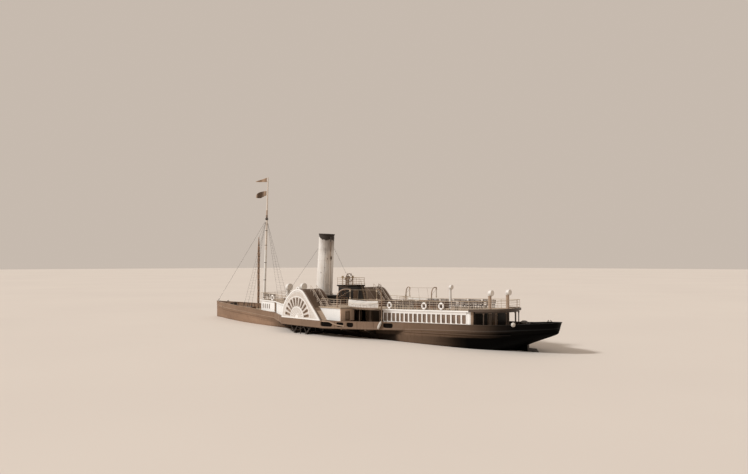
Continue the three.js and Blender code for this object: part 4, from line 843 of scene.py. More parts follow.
# Near-black for the louvred shutters behind the sponsons' ports: painted shade in the ports.
SHUTTER_SHADE = paint("shutter_painted_shade", (0.007, 0.005, 0.004), grime=0.2, gloss=(0.8, 0.95), specular=0.05)
TEAK = timber("varnished_teak", (0.2, 0.11, 0.06), coat=0.35)
TEAK_UP = timber("varnished_teak_upright", (0.17, 0.1, 0.055), grain_axis="z", coat=0.3)
CASING = timber("casing_boards", (0.2, 0.14, 0.098), grain_axis="z", boards=("X", 0.18))
SPAR = timber("spar_varnish", (0.62, 0.5, 0.37), grain_axis="z", gloss=(0.35, 0.6))
SEAT_WOOD = timber("seat_slats", (0.12, 0.078, 0.053), gloss=(0.4, 0.6))
IRON = iron("black_iron")
WHEEL_IRON = iron("wheel_iron", (0.03, 0.022, 0.017), rust=0.3)
FLOAT_WOOD = timber("float_elm", (0.045, 0.032, 0.024), grain_axis="y", gloss=(0.3, 0.6))
BRASS = metal("brass", (0.42, 0.32, 0.2))
DULL_BRASS = metal("dull_brass", (0.12, 0.09, 0.065), gloss=(0.4, 0.6))
CANVAS = cloth("boat_canvas", (0.68, 0.645, 0.6))
CANVAS_DARK = cloth("tarred_canvas", (0.1, 0.072, 0.052))
SAILCLOTH = cloth("furled_sailcloth", (0.47, 0.335, 0.245), folds=0.6)
BUNTING = cloth("bunting", (0.42, 0.29, 0.2), folds=0.5)
BUNTING_DARK = cloth("bunting_dark", (0.12, 0.09, 0.063), folds=0.5)
ROPE = rope("manila", (0.42, 0.33, 0.24))
TARRED = rope("tarred_rope", (0.09, 0.07, 0.055))
# The boats' lower planking is painted brown: painted shade under their bilges.
BOAT_PAINT = paint("boat_white", (0.7, 0.67, 0.635), grime=0.1, weather=0.97,
                   other=[("Z", 3.0, 3.7, (0.4, 0.31, 0.24))])
# The panes' colours are painted shade for the dark rooms behind them.
GLASS = glazing("window_glass", (0.2, 0.135, 0.094))
DARK_GLASS = glazing("dark_glass", (0.035, 0.03, 0.027))
# Near-black for the bridge house and funnel casing: dark teak darkened as painted shade.
DARK_HOUSE = timber("dark_teak_painted_shade", (0.013, 0.009, 0.0065), grain_axis="z", boards=("Y", 0.2), coat=0.0)


def floor():
    s = Shader("studio_floor", roughness=0.75, specular=0.2)
    s.colour(s.mix(s.ramp(s.noise(0.05, 3), (0.3, 0.0), (0.7, 1.0)), (0.72, 0.66, 0.6), (0.69, 0.63, 0.575)))
    kit = Kit().add([(-900, -900, 0), (900, -900, 0), (900, 900, 0), (-900, 900, 0)], [(0, 1, 2, 3)])
    make("floor", kit, s.material, body=None, crease=0)


floor()

# Runs in plan and things swept along them

def offset_run(run, distance, closed=False):
    """A run of points moved sideways in plan, to the left of its direction."""
    out = []
    count = len(run)
    for i, point in enumerate(run):
        before = run[i - 1] if closed or i else run[0]
        after = run[(i + 1) % count] if closed or i < count - 1 else run[i]
        a = Vector((point[0] - before[0], point[1] - before[1]))
        b = Vector((after[0] - point[0], after[1] - point[1]))
        a = a if a.length > 1e-6 else b
        b = b if b.length > 1e-6 else a
        a.normalize()
        b.normalize()
        m = (a + b).normalized() if (a + b).length > 1e-6 else a
        reach = distance / max(m.dot(a), 0.5)
        out.append((point[0] - m.y * reach, point[1] + m.x * reach))
    return out


def both_sides(run):
    return list(run) + [(x, -y) for x, y in reversed(run)]


def spaced(run, step):
    """A run with extra points, at most step apart."""
    out = []
    for (x0, y0), (x1, y1) in zip(run, run[1:]):
        count = max(1, round(math.hypot(x1 - x0, y1 - y0) / step))
        out += [(x0 + (x1 - x0) * k / count, y0 + (y1 - y0) * k / count) for k in range(count)]
    return out + [run[-1]]


def sweep(kit, run, height, section, left=True, closed=False):
    """A section of (outwards, up) swept along a run; outwards is to the run's left or right."""
    sign = 1 if left else -1
    side = offset_run(run, sign, closed)
    rings = []
    for (x, y), (u, v) in zip(run, side):
        z = height(x)
        rings.append([(x + (u - x) * a, y + (v - y) * a, z + b) for a, b in section])
    return kit.loft(rings, closed=closed)


def half_round(wide, tall, inner=0.03):
    return [(-inner, -tall / 2), (0, -tall / 2), (wide * 0.75, -tall * 0.36), (wide, 0),
            (wide * 0.75, tall * 0.36), (0, tall / 2), (-inner, tall / 2)]


def plank_section(low, high, wide0, wide1, round_by=0.012):
    r = round_by
    return [(wide0 + r, low), (wide1 - r, low), (wide1, low + r), (wide1, high - r), (wide1 - r, high),
            (wide0 + r, high), (wide0, high - r), (wide0, low + r)]


# Hull

def section_points(x):
    keel, turn_z, turn_y, full, deck_y = (LINES[key](x) for key in ("keel", "turn_z", "turn_y", "full",
                                                                    "deck_y"))
    edge = top(x) - HULL_DROP
    side = []
    for step in range(15):
        t = math.radians(90 * (1 - step / 14))
        side.append((max(turn_y * abs(math.cos(t)) ** (2 / full), 0.03),
                     turn_z - (turn_z - keel) * abs(math.sin(t)) ** (2 / full)))
    for share in (0.2, 0.4, 0.6, 0.8, 1.0):
        side.append((turn_y + (deck_y - turn_y) * share ** 0.85, turn_z + (edge - turn_z) * share))
    return side


def build_hull():
    xs = sorted(set(span(31.0, 27.0, 0.35) + span(27.0, -27.0, 0.9) + span(-27.0, COUNTER_END, 0.3)))
    rings = []
    uvs = []
    for x in xs:
        side = section_points(x)
        girth = [0.0]
        for a, b in zip(reversed(side), list(reversed(side))[1:]):
            girth.append(girth[-1] + math.dist(a, b))
        girth.reverse()
        rings.append([(x, y, z) for y, z in side] + [(x, -y, z) for y, z in reversed(side)])
        uvs += [(x * SCALE, g * SCALE) for g in girth] + [(x * SCALE, g * SCALE) for g in reversed(girth)]
    kit = Kit().loft(rings, uvs=uvs)
    make("hull_skin", kit, HULL, slot="hull_black", replaces=["hull"], crease=40)

    frames = Kit()
    deadwood = [(-18, -1.9), (-18, -1.5), (-25.2, -0.8), (-27.2, -0.2), (-29, 0.45), (-29.898, 0.8),
                (-29.898, -1.9)]
    frames.prism(deadwood, "y", -0.13, 0.13)
    frames.prism([(27.0, -2.02), (27.5, -1.8), (-29.9, -1.8), (-30.2, -1.9), (-30.2, -2.02)],
                 "y", -0.13, 0.13)
    make("keel_and_sternpost", frames, HULL, slot="hull_black", replaces=["hull"], crease=0, bevel=0.02)

    stem_line = [(30.98, 2.5), (31.0, 1.0), (31.0, -0.88), (30.74, -1.25), (30.2, -1.6),
                 (29.4, -1.84), (28.0, -1.95)]
    stem = Kit().loft([[(x - 0.12, -0.09, z), (x + 0.03, -0.055, z - 0.01), (x + 0.03, 0.055, z - 0.01),
                        (x - 0.12, 0.09, z)] for x, z in stem_line])
    make("stem_post", stem, BROWN, slot="topside_brown", crease=30)


def bulwark_rings(xs, inwards, flare):
    foot = both_sides([(x, half(x)) for x in xs])
    inner = offset_run(foot, inwards * BULWARK)
    rings = []
    for (x, y), (u, w) in zip(foot, inner):
        v = w if w * y > 0.0004 else math.copysign(0.02, y)
        out = flare(x)
        z = top(x)
        rings.append(((x, y), (u, v), out, z))
    return rings


def bulwark_piece(name, xs, inwards, flare, replaced):
    kit = Kit()
    caps = Kit()
    heads = Kit()
    rows = bulwark_rings(xs, inwards, flare)
    rings = []
    uvs = []
    run = 0.0
    last = rows[0][0]
    for (x, y), (u, v), out, z in rows:
        run += math.dist((x, y), last)
        last = (x, y)
        ring = []
        for share, (px, py) in ((0.0, (x, y)), (0.33, (x, y)), (0.66, (x, y)), (1.0, (x, y)), (1.0, (u, v)),
                                (0.5, (u, v)), (0.0, (u, v))):
            lean = out * share ** 1.3
            ring.append((px + (x - u) * lean, py + (y - v) * lean, z - HULL_DROP * (1 - share)))
        rings.append(ring)
        uvs += [(run * SCALE, share) for share in (0, 0.33, 0.66, 1, 1.1, 1.6, 2)]
    kit.loft(rings, uvs=uvs)
    make(name, kit, BROWN, slot="topside_brown", replaces=[replaced], crease=40)
    cap = []
    for (x, y), (u, v), out, z in rows:
        nx, ny = (x - u) / BULWARK, (y - v) / BULWARK
        size = math.hypot(nx, ny)
        nx, ny = (nx / size, ny / size) if size > 1e-6 else (1.0, 0.0)
        cx, cy = x + (x - u) * out, y + (y - v) * out
        cap.append([(cx + nx * a, cy + ny * a, z + b) for a, b in plank_section(-0.02, 0.045, -0.17, 0.035)])
    caps.loft(cap)
    make(name + "_cap", caps, BROWN_TRIM, slot="topside_brown", crease=40)
    travelled = 0.0
    last = rows[0][0]
    for (x, y), (u, v), out, z in rows:
        travelled += math.dist((x, y), last)
        last = (x, y)
        if travelled < 1.2 or abs(y) < 0.5:
            continue
        travelled = 0.0
        nx, ny = (u - x) / BULWARK, (v - y) / BULWARK
        heads.slab((u + (x - u) * 0.1, v + (y - v) * 0.1, z - DECK_DROP), (ny, -nx), (nx, ny),
                   (-0.04, 0.04), (-0.03, 0.07), (-0.005, DECK_DROP - 0.03))
    make(name + "_timberheads", heads, BROWN_TRIM, slot="topside_brown", crease=0, bevel=0.01)


def moulding_drop(x):
    return linear([(-33.5, 0.55), (-28, 0.58), (-22, 0.64), (-15, 0.73), (0, 0.74), (13, 0.7), (31, 0.6)], x)


def build_topsides():
    fore_xs = [9.21] + span(9.8, 30.4, 0.6) + [30.7, 31.0]
    aft_xs = [COUNTER_END, -33.3, -33.0] + span(-32.7, -16.5, 0.6) + [-16.02]
    bulwark_piece("bulwark_fore_skin", fore_xs, -1, lambda x: 0.5, "bulwark_fore")
    bulwark_piece("bulwark_aft_skin", list(reversed(aft_xs)), 1,
                  lambda x: 0.6 + max(-29 - x, 0) * 0.35, "bulwark_aft")
    rub = Kit()
    fore = both_sides([(x, half(x) + 0.004) for x in fore_xs])
    aft = both_sides([(x, half(x) + 0.004) for x in reversed(aft_xs)])
    sweep(rub, fore, lambda x: top(x) - moulding_drop(x), half_round(0.045, 0.12), left=True)
    sweep(rub, aft, lambda x: top(x) - moulding_drop(x), half_round(0.06, 0.12), left=False)
    make("rubbing_moulding", rub, BROWN_TRIM, slot="topside_brown", crease=50)
    low = Kit()
    sweep(low, fore, lambda x: top(x) - 0.98, half_round(0.03, 0.07, 0.1), left=True)
    for side in (-1, 1):
        line = [(x, side * (half(x) + 0.004)) for x in reversed(aft_xs) if x > -30]
        sweep(low, line, lambda x: top(x) - 1.0, half_round(0.04, 0.08, 0.1), left=side < 0)
    make("lower_moulding", low, BROWN, slot="topside_brown", crease=50)


# Sponsons

# Fore and aft ends of the ports in the side of each sponson.
SPONSON_PORTS = [(-5.4, -7.2), (-7.8, -8.75), (-9.15, -10.0), (-13.6, -14.8)]


def sponson_y(x):
    return linear(SPONSON, x)


def port_corners():
    """Fillets that round the corners of the ports in the sponson's side."""
    kit = Kit()
    for fore, aft in SPONSON_PORTS:
        middle = (fore + aft) / 2
        for x, way in ((fore, -1), (aft, 1)):
            for z, up, reach in ((deck(middle) + 0.07, 1, 0.26), (flat_top(middle) - 0.1, -1, 0.15)):
                outline = [(x - way * 0.02, z - up * 0.02)]
                for t in span(0, math.pi / 2, math.pi / 16):
                    outline.append((x + way * reach * (1 - math.sin(t)), z + up * reach * (1 - math.cos(t))))
                kit.loft([[(px, sponson_y(px) - inwards, pz) for px, pz in outline]
                          for inwards in (0.004, 0.09)])
    return kit


def build_sponsons():
    strake = Kit()
    sweep(strake, spaced(SPONSON, 1.0), lambda x: flat_top(x) - 0.74,
          [(-0.01, -0.075), (0.018, -0.07), (0.024, -0.06), (0.024, 0.06), (0.018, 0.07), (-0.01, 0.075)],
          left=False)
    fenders = Kit()
    for x in (6.6, 4.6, -7.5, -10.4, -12.4):
        y = sponson_y(x)
        fenders.beam((x, y - 0.02, flat_top(x) - 0.84), (x, y - 0.02, flat_top(x) - 0.02), 0.16, 0.06,
                     up=(0, 1, 0))
    sill = Kit()
    for fore_end, aft_end in ((9.15, WHEEL_X + 3.62), (WHEEL_X - 4.55, -15.9)):
        part = spaced([(fore_end, sponson_y(fore_end))]
                      + [p for p in SPONSON if aft_end < p[0] < fore_end]
                      + [(aft_end, sponson_y(aft_end))], 1.2)
        sweep(sill, part, flat_top, plank_section(0.001, 0.045, -0.16, 0.0), left=False)
    # Near-black louvred shutters set back in each port: painted shade.
    shutters = Kit()
    for fore, aft in SPONSON_PORTS:
        middle = (fore + aft) / 2
        low, high = deck(middle) + 0.02, flat_top(middle) - 0.06
        run = [(x, sponson_y(x) - 0.14) for x in span(fore + 0.1, aft - 0.1, 0.7)]
        sweep(shutters, run, lambda x: 0.0, [(-0.03, low), (-0.03, high), (-0.015, high), (-0.015, low)])
        for k in range(6):
            z = low + (high - low) * (k + 0.5) / 6
            sweep(shutters, run, lambda x: 0.0,
                  [(-0.02, z - 0.03), (-0.02, z + 0.01), (0.02, z - 0.02), (0.02, z - 0.045)])
    corners = port_corners()
    struts = Kit()
    for x in (6.6, 4.0, -5.4, -8.4, -11.4):
        y = sponson_y(x) - 0.22
        foot = half(x) - 0.12
        for off in (-0.045, 0.045):
            struts.tube([(x + off, foot, 0.42), (x + off, y, flat_top(x) - 0.9)], 0.03, 8)
        struts.slab((x, y, flat_top(x) - 0.94), (1, 0), (0, 1), (-0.12, 0.12), (-0.1, 0.1), (0, 0.05))
    for name, kit, material, crease, bevel in (
            ("sponson_strake", strake, BROWN_TRIM, 40, 0), ("sponson_fenders", fenders, BROWN, 0, 0.012),
            ("sponson_cap", sill, BROWN_TRIM, 40, 0), ("sponson_struts", struts, IRON, 45, 0),
            ("port_shutters", shutters, SHUTTER_SHADE, 0, 0), ("port_corners", corners, SPONSON_BROWN, 35, 0)):
        pair_up(name, kit, material, "topside_brown", crease=crease, bevel=bevel)


# Paddle boxes

def spline(points, per=4):
    """A smooth curve through points."""
    out = []
    for i in range(len(points) - 1):
        p0, p1, p2, p3 = (points[max(i - 1, 0)], points[i], points[i + 1],
                          points[min(i + 2, len(points) - 1)])
        for k in range(per):
            t = k / per
            out.append(tuple(0.5 * (2 * b + (c - a) * t + (2 * a - 5 * b + 4 * c - d) * t * t
                                    + (3 * b - a - 3 * c + d) * t ** 3)
                             for a, b, c, d in zip(p0, p1, p2, p3)))
    return out + [tuple(points[-1])]


BOX_LINE = spline([(WHEEL_X + dx, z) for dx, z in BOX_FORE] + [(WHEEL_X - dx, z) for dx, z in BOX_AFT], 5)


def arch_band(kit, line, grow0, grow1, y0, y1):
    """A band that follows a line in the x-z plane, between two offsets and two breadths."""
    outer = offset_run(line, -grow1)
    inner = offset_run(line, -grow0)
    return kit.loft([[(ox, y0, oz), (ix, y0, iz), (ix, y1, iz), (ox, y1, oz)]
                     for (ox, oz), (ix, iz) in zip(outer, inner)])


def fan_arc(radius, start=2, end=178, step=6):
    return [(FAN_X + radius * math.cos(math.radians(t)), FAN_Z + radius * math.sin(math.radians(t)))
            for t in span(start, end, step)]


def fan_point(angle, radius, aside=0.0):
    t = math.radians(angle)
    return (FAN_X + math.cos(t) * radius - math.sin(t) * aside,
            FAN_Z + math.sin(t) * radius + math.cos(t) * aside)


def build_paddle_boxes():
    face = Kit()
    slips = Kit()
    out = FACE_OUT
    foot = flat_top(WHEEL_X)
    arch_band(face, BOX_LINE, -0.15, 0.028, out - 0.01, out + 0.025)
    arch_band(face, BOX_LINE, -0.3, -0.25, out - 0.01, out + 0.012)
    arch_band(face, fan_arc(2.62, 4, 176), -0.04, 0.04, out - 0.01, out + 0.018)
    arch_band(face, fan_arc(1.3, 4, 176), -0.045, 0.045, out - 0.01, out + 0.018)
    arch_band(face, fan_arc(0.55, 6, 174), -0.03, 0.03, out - 0.01, out + 0.018)
    face.box(WHEEL_X - 4.4, WHEEL_X + 3.46, out - 0.012, out + 0.028, foot + 0.012, foot + 0.13)
    # The slots' frames are brown: painted shade that makes each slot read wider.
    for i in range(FAN_SLOTS):
        angle = FAN_FIRST + FAN_STEP * i
        for side in (-1, 1):
            near = fan_point(angle, FAN_INNER - 0.02, side * 0.105)
            far = fan_point(angle, FAN_OUTER + 0.01, side * 0.178)
            tip = fan_point(angle, FAN_TIP + 0.04)
            for p, q in ((near, far), (far, tip)):
                slips.beam((p[0], out + 0.002, p[1]), (q[0], out + 0.002, q[1]), 0.05, 0.016, up=(0, 1, 0))
    for i in range(FAN_SLOTS + 1):
        angle = FAN_FIRST + FAN_STEP * (i - 0.5)
        p, q = fan_point(angle, 0.66), fan_point(angle, 1.22)
        face.beam((p[0], out + 0.002, p[1]), (q[0], out + 0.002, q[1]), 0.05, 0.02, up=(0, 1, 0))
    boss = [(0.0, 0.0), (0.3, 0.0), (0.3, 0.02), (0.18, 0.03), (0.0, 0.03)]
    face.lathe(boss, (FAN_X, out - 0.004, FAN_Z + 0.1), axis=(0, 1, 0), sides=32)

    backs = Kit()
    low, high = FAN_INNER - 0.12, FAN_TIP + 0.08
    for k, t in enumerate(span(3, 177, 3)):
        a, b = fan_point(t - 1.45, low), fan_point(t - 1.45, high)
        c, d = fan_point(t + 1.45, high), fan_point(t + 1.45, low)
        depth = BOX_OUT - 0.05 - 0.012 * (k % 2)
        backs.add([(p[0], y, p[1]) for y in (depth - 0.025, depth) for p in (a, b, c, d)],
                  [(0, 1, 2, 3), (7, 6, 5, 4), (0, 4, 5, 1), (1, 5, 6, 2), (2, 6, 7, 3), (3, 7, 4, 0)])

    band = Kit()
    arch_band(band, BOX_LINE, -0.02, 0.03, BOX_OUT - 0.26, BOX_OUT - 0.002)
    arch_band(band, BOX_LINE, -0.02, 0.03, BOX_IN + 0.004, BOX_IN + 0.14)

    steps = Kit()
    rails = Kit()
    aft_slope = [p for p in BOX_LINE if p[0] < WHEEL_X - 0.9 and p[1] > 2.6]
    travelled = 0.0
    for a, b in zip(aft_slope, aft_slope[1:]):
        travelled += math.dist(a, b)
        if travelled > 0.26:
            travelled = 0.0
            steps.box(b[0] - 0.13, b[0] + 0.1, 4.9, 5.7, b[1] - 0.12, b[1] + 0.03)
    for y in (4.86, 5.74):
        line = offset_run(aft_slope, -0.05)
        rails.tube([(x, y, z + 0.66) for x, z in line], 0.03, 8)
        rails.tube([(x, y, z + 0.36) for x, z in line], 0.018, 6)
        for x, z in aft_slope[::5] + [aft_slope[-1]]:
            rails.tube([(x, y, z - 0.05), (x, y, z + 0.7)], 0.024, 8)
            rails.ball((x, y, z + 0.7), 0.042, 8)

    crest = Kit()
    peak = 5.5
    arc = [(WHEEL_X + 0.02 + 0.36 * math.cos(t), peak - 0.1 + 0.4 * math.sin(t))
           for t in span(0, math.pi, 0.2)]
    arch_band(crest, arc, -0.09, 0.035, out - 0.12, out + 0.02)
    crest.ball((WHEEL_X + 0.02, out - 0.05, peak + 0.36), 0.06, 12)
    for name, kit, material, slot, crease, bevel in (
            ("face_mouldings", face, WHITE_TRIM, "house_white", 35, 0),
            ("vent_boards", backs, VENT_BOARDS, "topside_brown", 0, 0),
            ("vent_frames", slips, VENT_BOARDS, "topside_brown", 0, 0),
            ("crown_bands", band, DECK_TRIM, "topside_brown", 35, 0),
            ("crown_steps", steps, SEAT_WOOD, "door_wood", 0, 0.008),
            ("crown_handrails", rails, RAIL, "rail_paint", 45, 0),
            ("crest", crest, WHITE_TRIM, "house_white", 35, 0)):
        pair_up(name, kit, material, slot, crease=crease, bevel=bevel)


# Paddle wheels

def build_wheels():
    floats = Kit()
    iron_work = Kit()
    for i in range(FLOATS):
        t = 2 * math.pi * (i + 0.5) / FLOATS
        u = (math.cos(t), math.sin(t))
        v = (-math.sin(t), math.cos(t))

        def at(a, b, y):
            return (WHEEL_X + u[0] * a + v[0] * b, y, WHEEL_Z + u[1] * a + v[1] * b)

        for k in range(3):
            r0 = 2.0 + 0.25 * k
            corners = [at(a, b, y) for a in (r0 + 0.006, r0 + 0.242)
                       for y in (WHEEL_IN + 0.12, WHEEL_OUT - 0.12)
                       for b in (-0.05, 0.05)]
            floats.add(corners, BOX_FACES)
        for y in (WHEEL_IN + 0.55, (WHEEL_IN + WHEEL_OUT) / 2, WHEEL_OUT - 0.55):
            for side in (-1, 1):
                iron_work.beam(at(2.02, side * 0.06, y), at(2.72, side * 0.06, y), 0.09, 0.02, up=v_up(v))
                for r in (2.12, 2.37, 2.62):
                    iron_work.lathe([(0.0, 0.0), (0.028, 0.0), (0.028, 0.014), (0.0, 0.018)],
                                    at(r, side * 0.068, y), axis=(v[0] * side, 0, v[1] * side), sides=6)
    for y in (WHEEL_IN + 0.05, WHEEL_OUT - 0.05):
        for radius, thick in ((2.14, 0.05), (1.2, 0.035)):
            iron_work.ring((WHEEL_X, y, WHEEL_Z), (0, 1, 0), radius, thick, count=60, sides=6)
        iron_work.lathe([(0.0, -0.1), (0.44, -0.1), (0.5, -0.05), (0.5, 0.05), (0.3, 0.12), (0.0, 0.14)],
                        (WHEEL_X, y - math.copysign(0.04, y - 5.4), WHEEL_Z),
                        axis=(0, math.copysign(1, 5.4 - y), 0), sides=28)
    wheels = (("port", floats, iron_work), ("starboard", floats.starboard(), iron_work.starboard()))
    for side, boards, rings in wheels:
        make("float_boards_" + side, boards, FLOAT_WOOD, body="paddle_wheels", slot="wheel_iron",
             crease=0, bevel=0.008)
        make("wheel_rings_" + side, rings, WHEEL_IRON, body="paddle_wheels", slot="wheel_iron", crease=40)


def v_up(v):
    return (v[0], 0.0, v[1])


# Deck edges and houses

def rounded(half_w, half_h, radius, steps=4):
    """A rounded rectangle about the origin."""
    out = []
    for cx, cy, start in ((half_w - radius, half_h - radius, 0), (-half_w + radius, half_h - radius, 90),
                          (-half_w + radius, -half_h + radius, 180),
                          (half_w - radius, -half_h + radius, 270)):
        for k in range(steps + 1):
            t = math.radians(start + 90 * k / steps)
            out.append((cx + radius * math.cos(t), cy + radius * math.sin(t)))
    return out


def window(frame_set, glass_kit, at, along, out, half_w, half_h, radius=0.07, rim=0.05,
           proud=0.018, deep=0.05, bars=0):
    """A framed window: at is its centre on the wall's face."""
    def place(u, w, v):
        return (at[0] + along[0] * u + out[0] * w, at[1] + along[1] * u + out[1] * w, at[2] + v)
    outer = rounded(half_w + rim, half_h + rim, radius)
    inner = rounded(half_w - 0.012, half_h - 0.012, radius)
    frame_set.loft([[place(u, proud, v) for u, v in outer], [place(u, proud, v) for u, v in inner],
                    [place(u, -deep, v) for u, v in inner],
                    [place(u, -deep, v) for u, v in outer]], closed=True)
    pane = rounded(half_w, half_h, radius)
    glass_kit.loft([[place(u, -deep + 0.012, v) for u, v in pane],
                    [place(u, -deep - 0.004, v) for u, v in pane]])
    for k in range(bars):
        v = -half_h + 2 * half_h * (k + 1) / (bars + 1)
        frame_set.slab((at[0], at[1], at[2] + v), along, out, (-half_w, half_w), (-deep + 0.005, -0.01),
                       (-0.013, 0.013))


def wall_direction(x):
    """The unit directions along and out of the saloon's port wall."""
    slope = (flat_half(x + 0.05) - flat_half(x - 0.05)) / 0.1
    size = math.hypot(1, slope)
    return (1 / size, slope / size), (-slope / size, 1 / size)


def build_houses():
    frames = Kit()
    rims = Kit()
    panes = Kit()
    for i in range(18):
        x = -13.12 - 0.67 * i
        along, out = wall_direction(x)
        z = flat_top(x) + 0.13 + 0.46
        window(rims, panes, (x, flat_half(x) - 0.005, z), along, out, 0.2, 0.45, radius=0.08, rim=0.035)
    for i in range(19):
        x = -12.785 - 0.67 * i
        along, out = wall_direction(x)
        z = flat_top(x)
        frames.slab((x, flat_half(x) - 0.005, z), along, out, (-0.035, 0.035), (-0.005, 0.022), (0.1, 1.1))
    xs = span(SALOON_FORE, SALOON_TURN, 0.8)
    side = [(x, flat_half(x) - 0.005) for x in xs]
    sweep(frames, side, lambda x: flat_top(x) + 0.045, plank_section(0, 0.045, -0.01, 0.045), left=False)
    sweep(frames, side, lambda x: prom(x) - 0.4, plank_section(0, 0.035, -0.01, 0.035), left=False)
    for name, kit, material, slot in (("saloon_frames", frames, WHITE_TRIM, "house_white"),
                                      ("saloon_window_frames", rims, RIM_BROWN, "topside_brown"),
                                      ("saloon_panes", panes, GLASS, "dark_house")):
        pair_up(name, kit, material, slot, crease=35)

    edge = Kit()
    points = [p for p in PROMENADE_EDGE if p]
    white = spaced([(x, y) for x, y in points if -25.3 < x < -7.0][2:], 1.0)
    sweep(edge, white, lambda x: prom(x) - 0.15, plank_section(0, 0.145, -0.02, 0.03), left=False)
    fore = spaced(points[1:6], 1.0)
    sweep(edge, fore, lambda x: prom(x) - 0.15, plank_section(0, 0.145, -0.02, 0.03), left=False)
    pair_up("deck_edge", edge, WHITE_TRIM, "house_white")
    stern = Kit()
    quarter = [p for p in points if p[0] < -25 and p[1] > 0]
    round_stern = quarter + [points[-1]] + [(x, -y) for x, y in reversed(quarter)]
    sweep(stern, spaced(round_stern, 0.6), lambda x: prom(x) - 0.12,
          plank_section(0, 0.26, -0.02, 0.03), left=False)
    make("deck_edge_stern", stern, EDGE_BROWN, slot="topside_brown", crease=40)
    cove = Kit()
    sweep(cove, side, lambda x: prom(x) - 0.15,
          [(-0.01, -0.3), (0.02, -0.29), (0.035, -0.2), (0.075, -0.1), (0.13, -0.03),
           (0.135, 0.0), (-0.01, 0.0)],
          left=False)
    pair_up("cornice", cove, WHITE_TRIM, "house_white", crease=50)

    fore_frames = Kit()
    fore_panes = Kit()
    end_x, corner_y = HOUSE_CORNER
    slope = (HOUSE_END[1] - corner_y) / (HOUSE_END[0] - end_x)
    size = math.hypot(1, slope)
    along, out = (1 / size, slope / size), (-slope / size, 1 / size)
    for x in (12.85, 12.25, 11.65, 11.05):
        y = corner_y + slope * (x - end_x)
        window(fore_frames, fore_panes, (x, y, 2.7), along, out, 0.14, 0.34, radius=0.06, rim=0.03)
    for y in (2.3, 0.45):
        window(fore_frames, fore_panes, (end_x, y, 2.725), (0, -1), (1, 0), 0.19, 0.32, rim=0.035)
    for height, out_by in ((2.0, 0.035), (3.38, 0.04)):
        sweep(fore_frames, [HOUSE_CORNER, HOUSE_END], lambda x: height,
              plank_section(0, 0.05, -0.01, out_by), left=False)
    pair_up("fore_house_frames", fore_frames, WHITE_TRIM, "house_white", crease=35)
    pair_up("fore_house_panes", fore_panes, GLASS, "dark_house", crease=35)


# Rails

FORE_RAIL_HALF = [(WHEEL_X + 3.35, 6.0), (3.92, 6.0), (8.64, 3.68), (9.15, 3.42), (13.5, 3.02)]
FORE_RAIL = both_sides(FORE_RAIL_HALF)
AFT_RAIL_HALF = [(WHEEL_X - 3.25, 5.85), (-7.76, 5.85), (-7.76, 3.92), (-12.6, 3.72), (-16, 3.68),
                 (-20, 3.62), (-23, 3.5), (-25.2, 3.36), (-26.7, 2.82), (-27.68, 1.84), (-28.08, 0.75)]
RAIL_BARS = (0.72, 0.46, 0.22)


def fence(name, run, floor, replaced=None, closed=False):
    """A rail with posts, bars and a wooden cap along a run."""
    posts = Kit()
    capping = Kit()
    points = spaced(run, 1.12)
    inset = points[:-1] if closed else points
    for x, y in inset:
        z = floor(x)
        posts.tube([(x, y, z + 0.002), (x, y, z + 0.95)], 0.023, 8)
        posts.lathe([(0.0, 0.0), (0.06, 0.0), (0.06, 0.015), (0.035, 0.04), (0.0, 0.05)],
                    (x, y, z + 0.002), sides=8)
        for up in RAIL_BARS:
            posts.ball((x, y, z + up), 0.036, 8)
    for up in RAIL_BARS:
        posts.tube([(x, y, floor(x) + up) for x, y in inset], 0.017, 6, closed=closed)
    sweep(capping, inset, lambda x: floor(x) + 0.93, plank_section(0, 0.05, -0.045, 0.045), closed=closed)
    make(name, posts, RAIL, slot="rail_paint", replaces=[replaced] if replaced else (), crease=45)
    make(name + "_cap", capping, SPAR, slot="spar", crease=40)


def build_rails():
    fence("fore_rail_bars", FORE_RAIL, prom, "rail_fore")
    aft = [(x, -y) for x, y in AFT_RAIL_HALF] + list(reversed(AFT_RAIL_HALF))
    fence("aft_rail_bars", aft, prom, "rail_aft")
    fore, aft_x, wide = BRIDGE_FORE - 0.06, BRIDGE_AFT + 0.06, BRIDGE_HALF - 0.06
    plan = [(fore, wide), (fore, -wide), (aft_x, -wide), (aft_x, wide), (fore, wide)]
    fence("bridge_rail_bars", plan, lambda x: BRIDGE_Z, closed=True)


# Lifebuoys

def build_lifebuoys():
    rings = Kit()
    bands = Kit()
    lines = Kit()
    for x in (9.9, -14.0, -19.3, -21.7):
        y = (linear(FORE_RAIL_HALF[1:], x) if x > 0 else linear(AFT_RAIL_HALF[3:9], x)) + 0.115
        z = prom(x) + 0.42
        centre = Vector((x, y, z))
        rings.ring(centre, (0, 1, 0), 0.3, 0.095, count=36, sides=12)
        for k in range(4):
            t = math.radians(45 + 90 * k)
            path = [centre + Vector((math.cos(a), 0, math.sin(a))) * 0.3
                    for a in span(t - 0.1, t + 0.1, 0.05)]
            bands.tube(path, 0.099, 12)
            a, b = math.radians(45 + 90 * k), math.radians(135 + 90 * k)
            lines.tube([centre + Vector((math.cos(s), 0, math.sin(s))) * 0.405 for s in span(a, b, 0.2)],
                       0.012, 6)
    for side in ("port", "starboard"):
        pick = (lambda k: k) if side == "port" else (lambda k: k.starboard())
        make("lifebuoys_" + side, pick(rings), WHITE_TRIM, slot="boat_white", crease=60)
        make("lifebuoy_bands_" + side, pick(bands), BUNTING, slot="flag_cloth", crease=60)
        make("lifebuoy_lines_" + side, pick(lines), ROPE, slot="rope", crease=60)


# Funnel

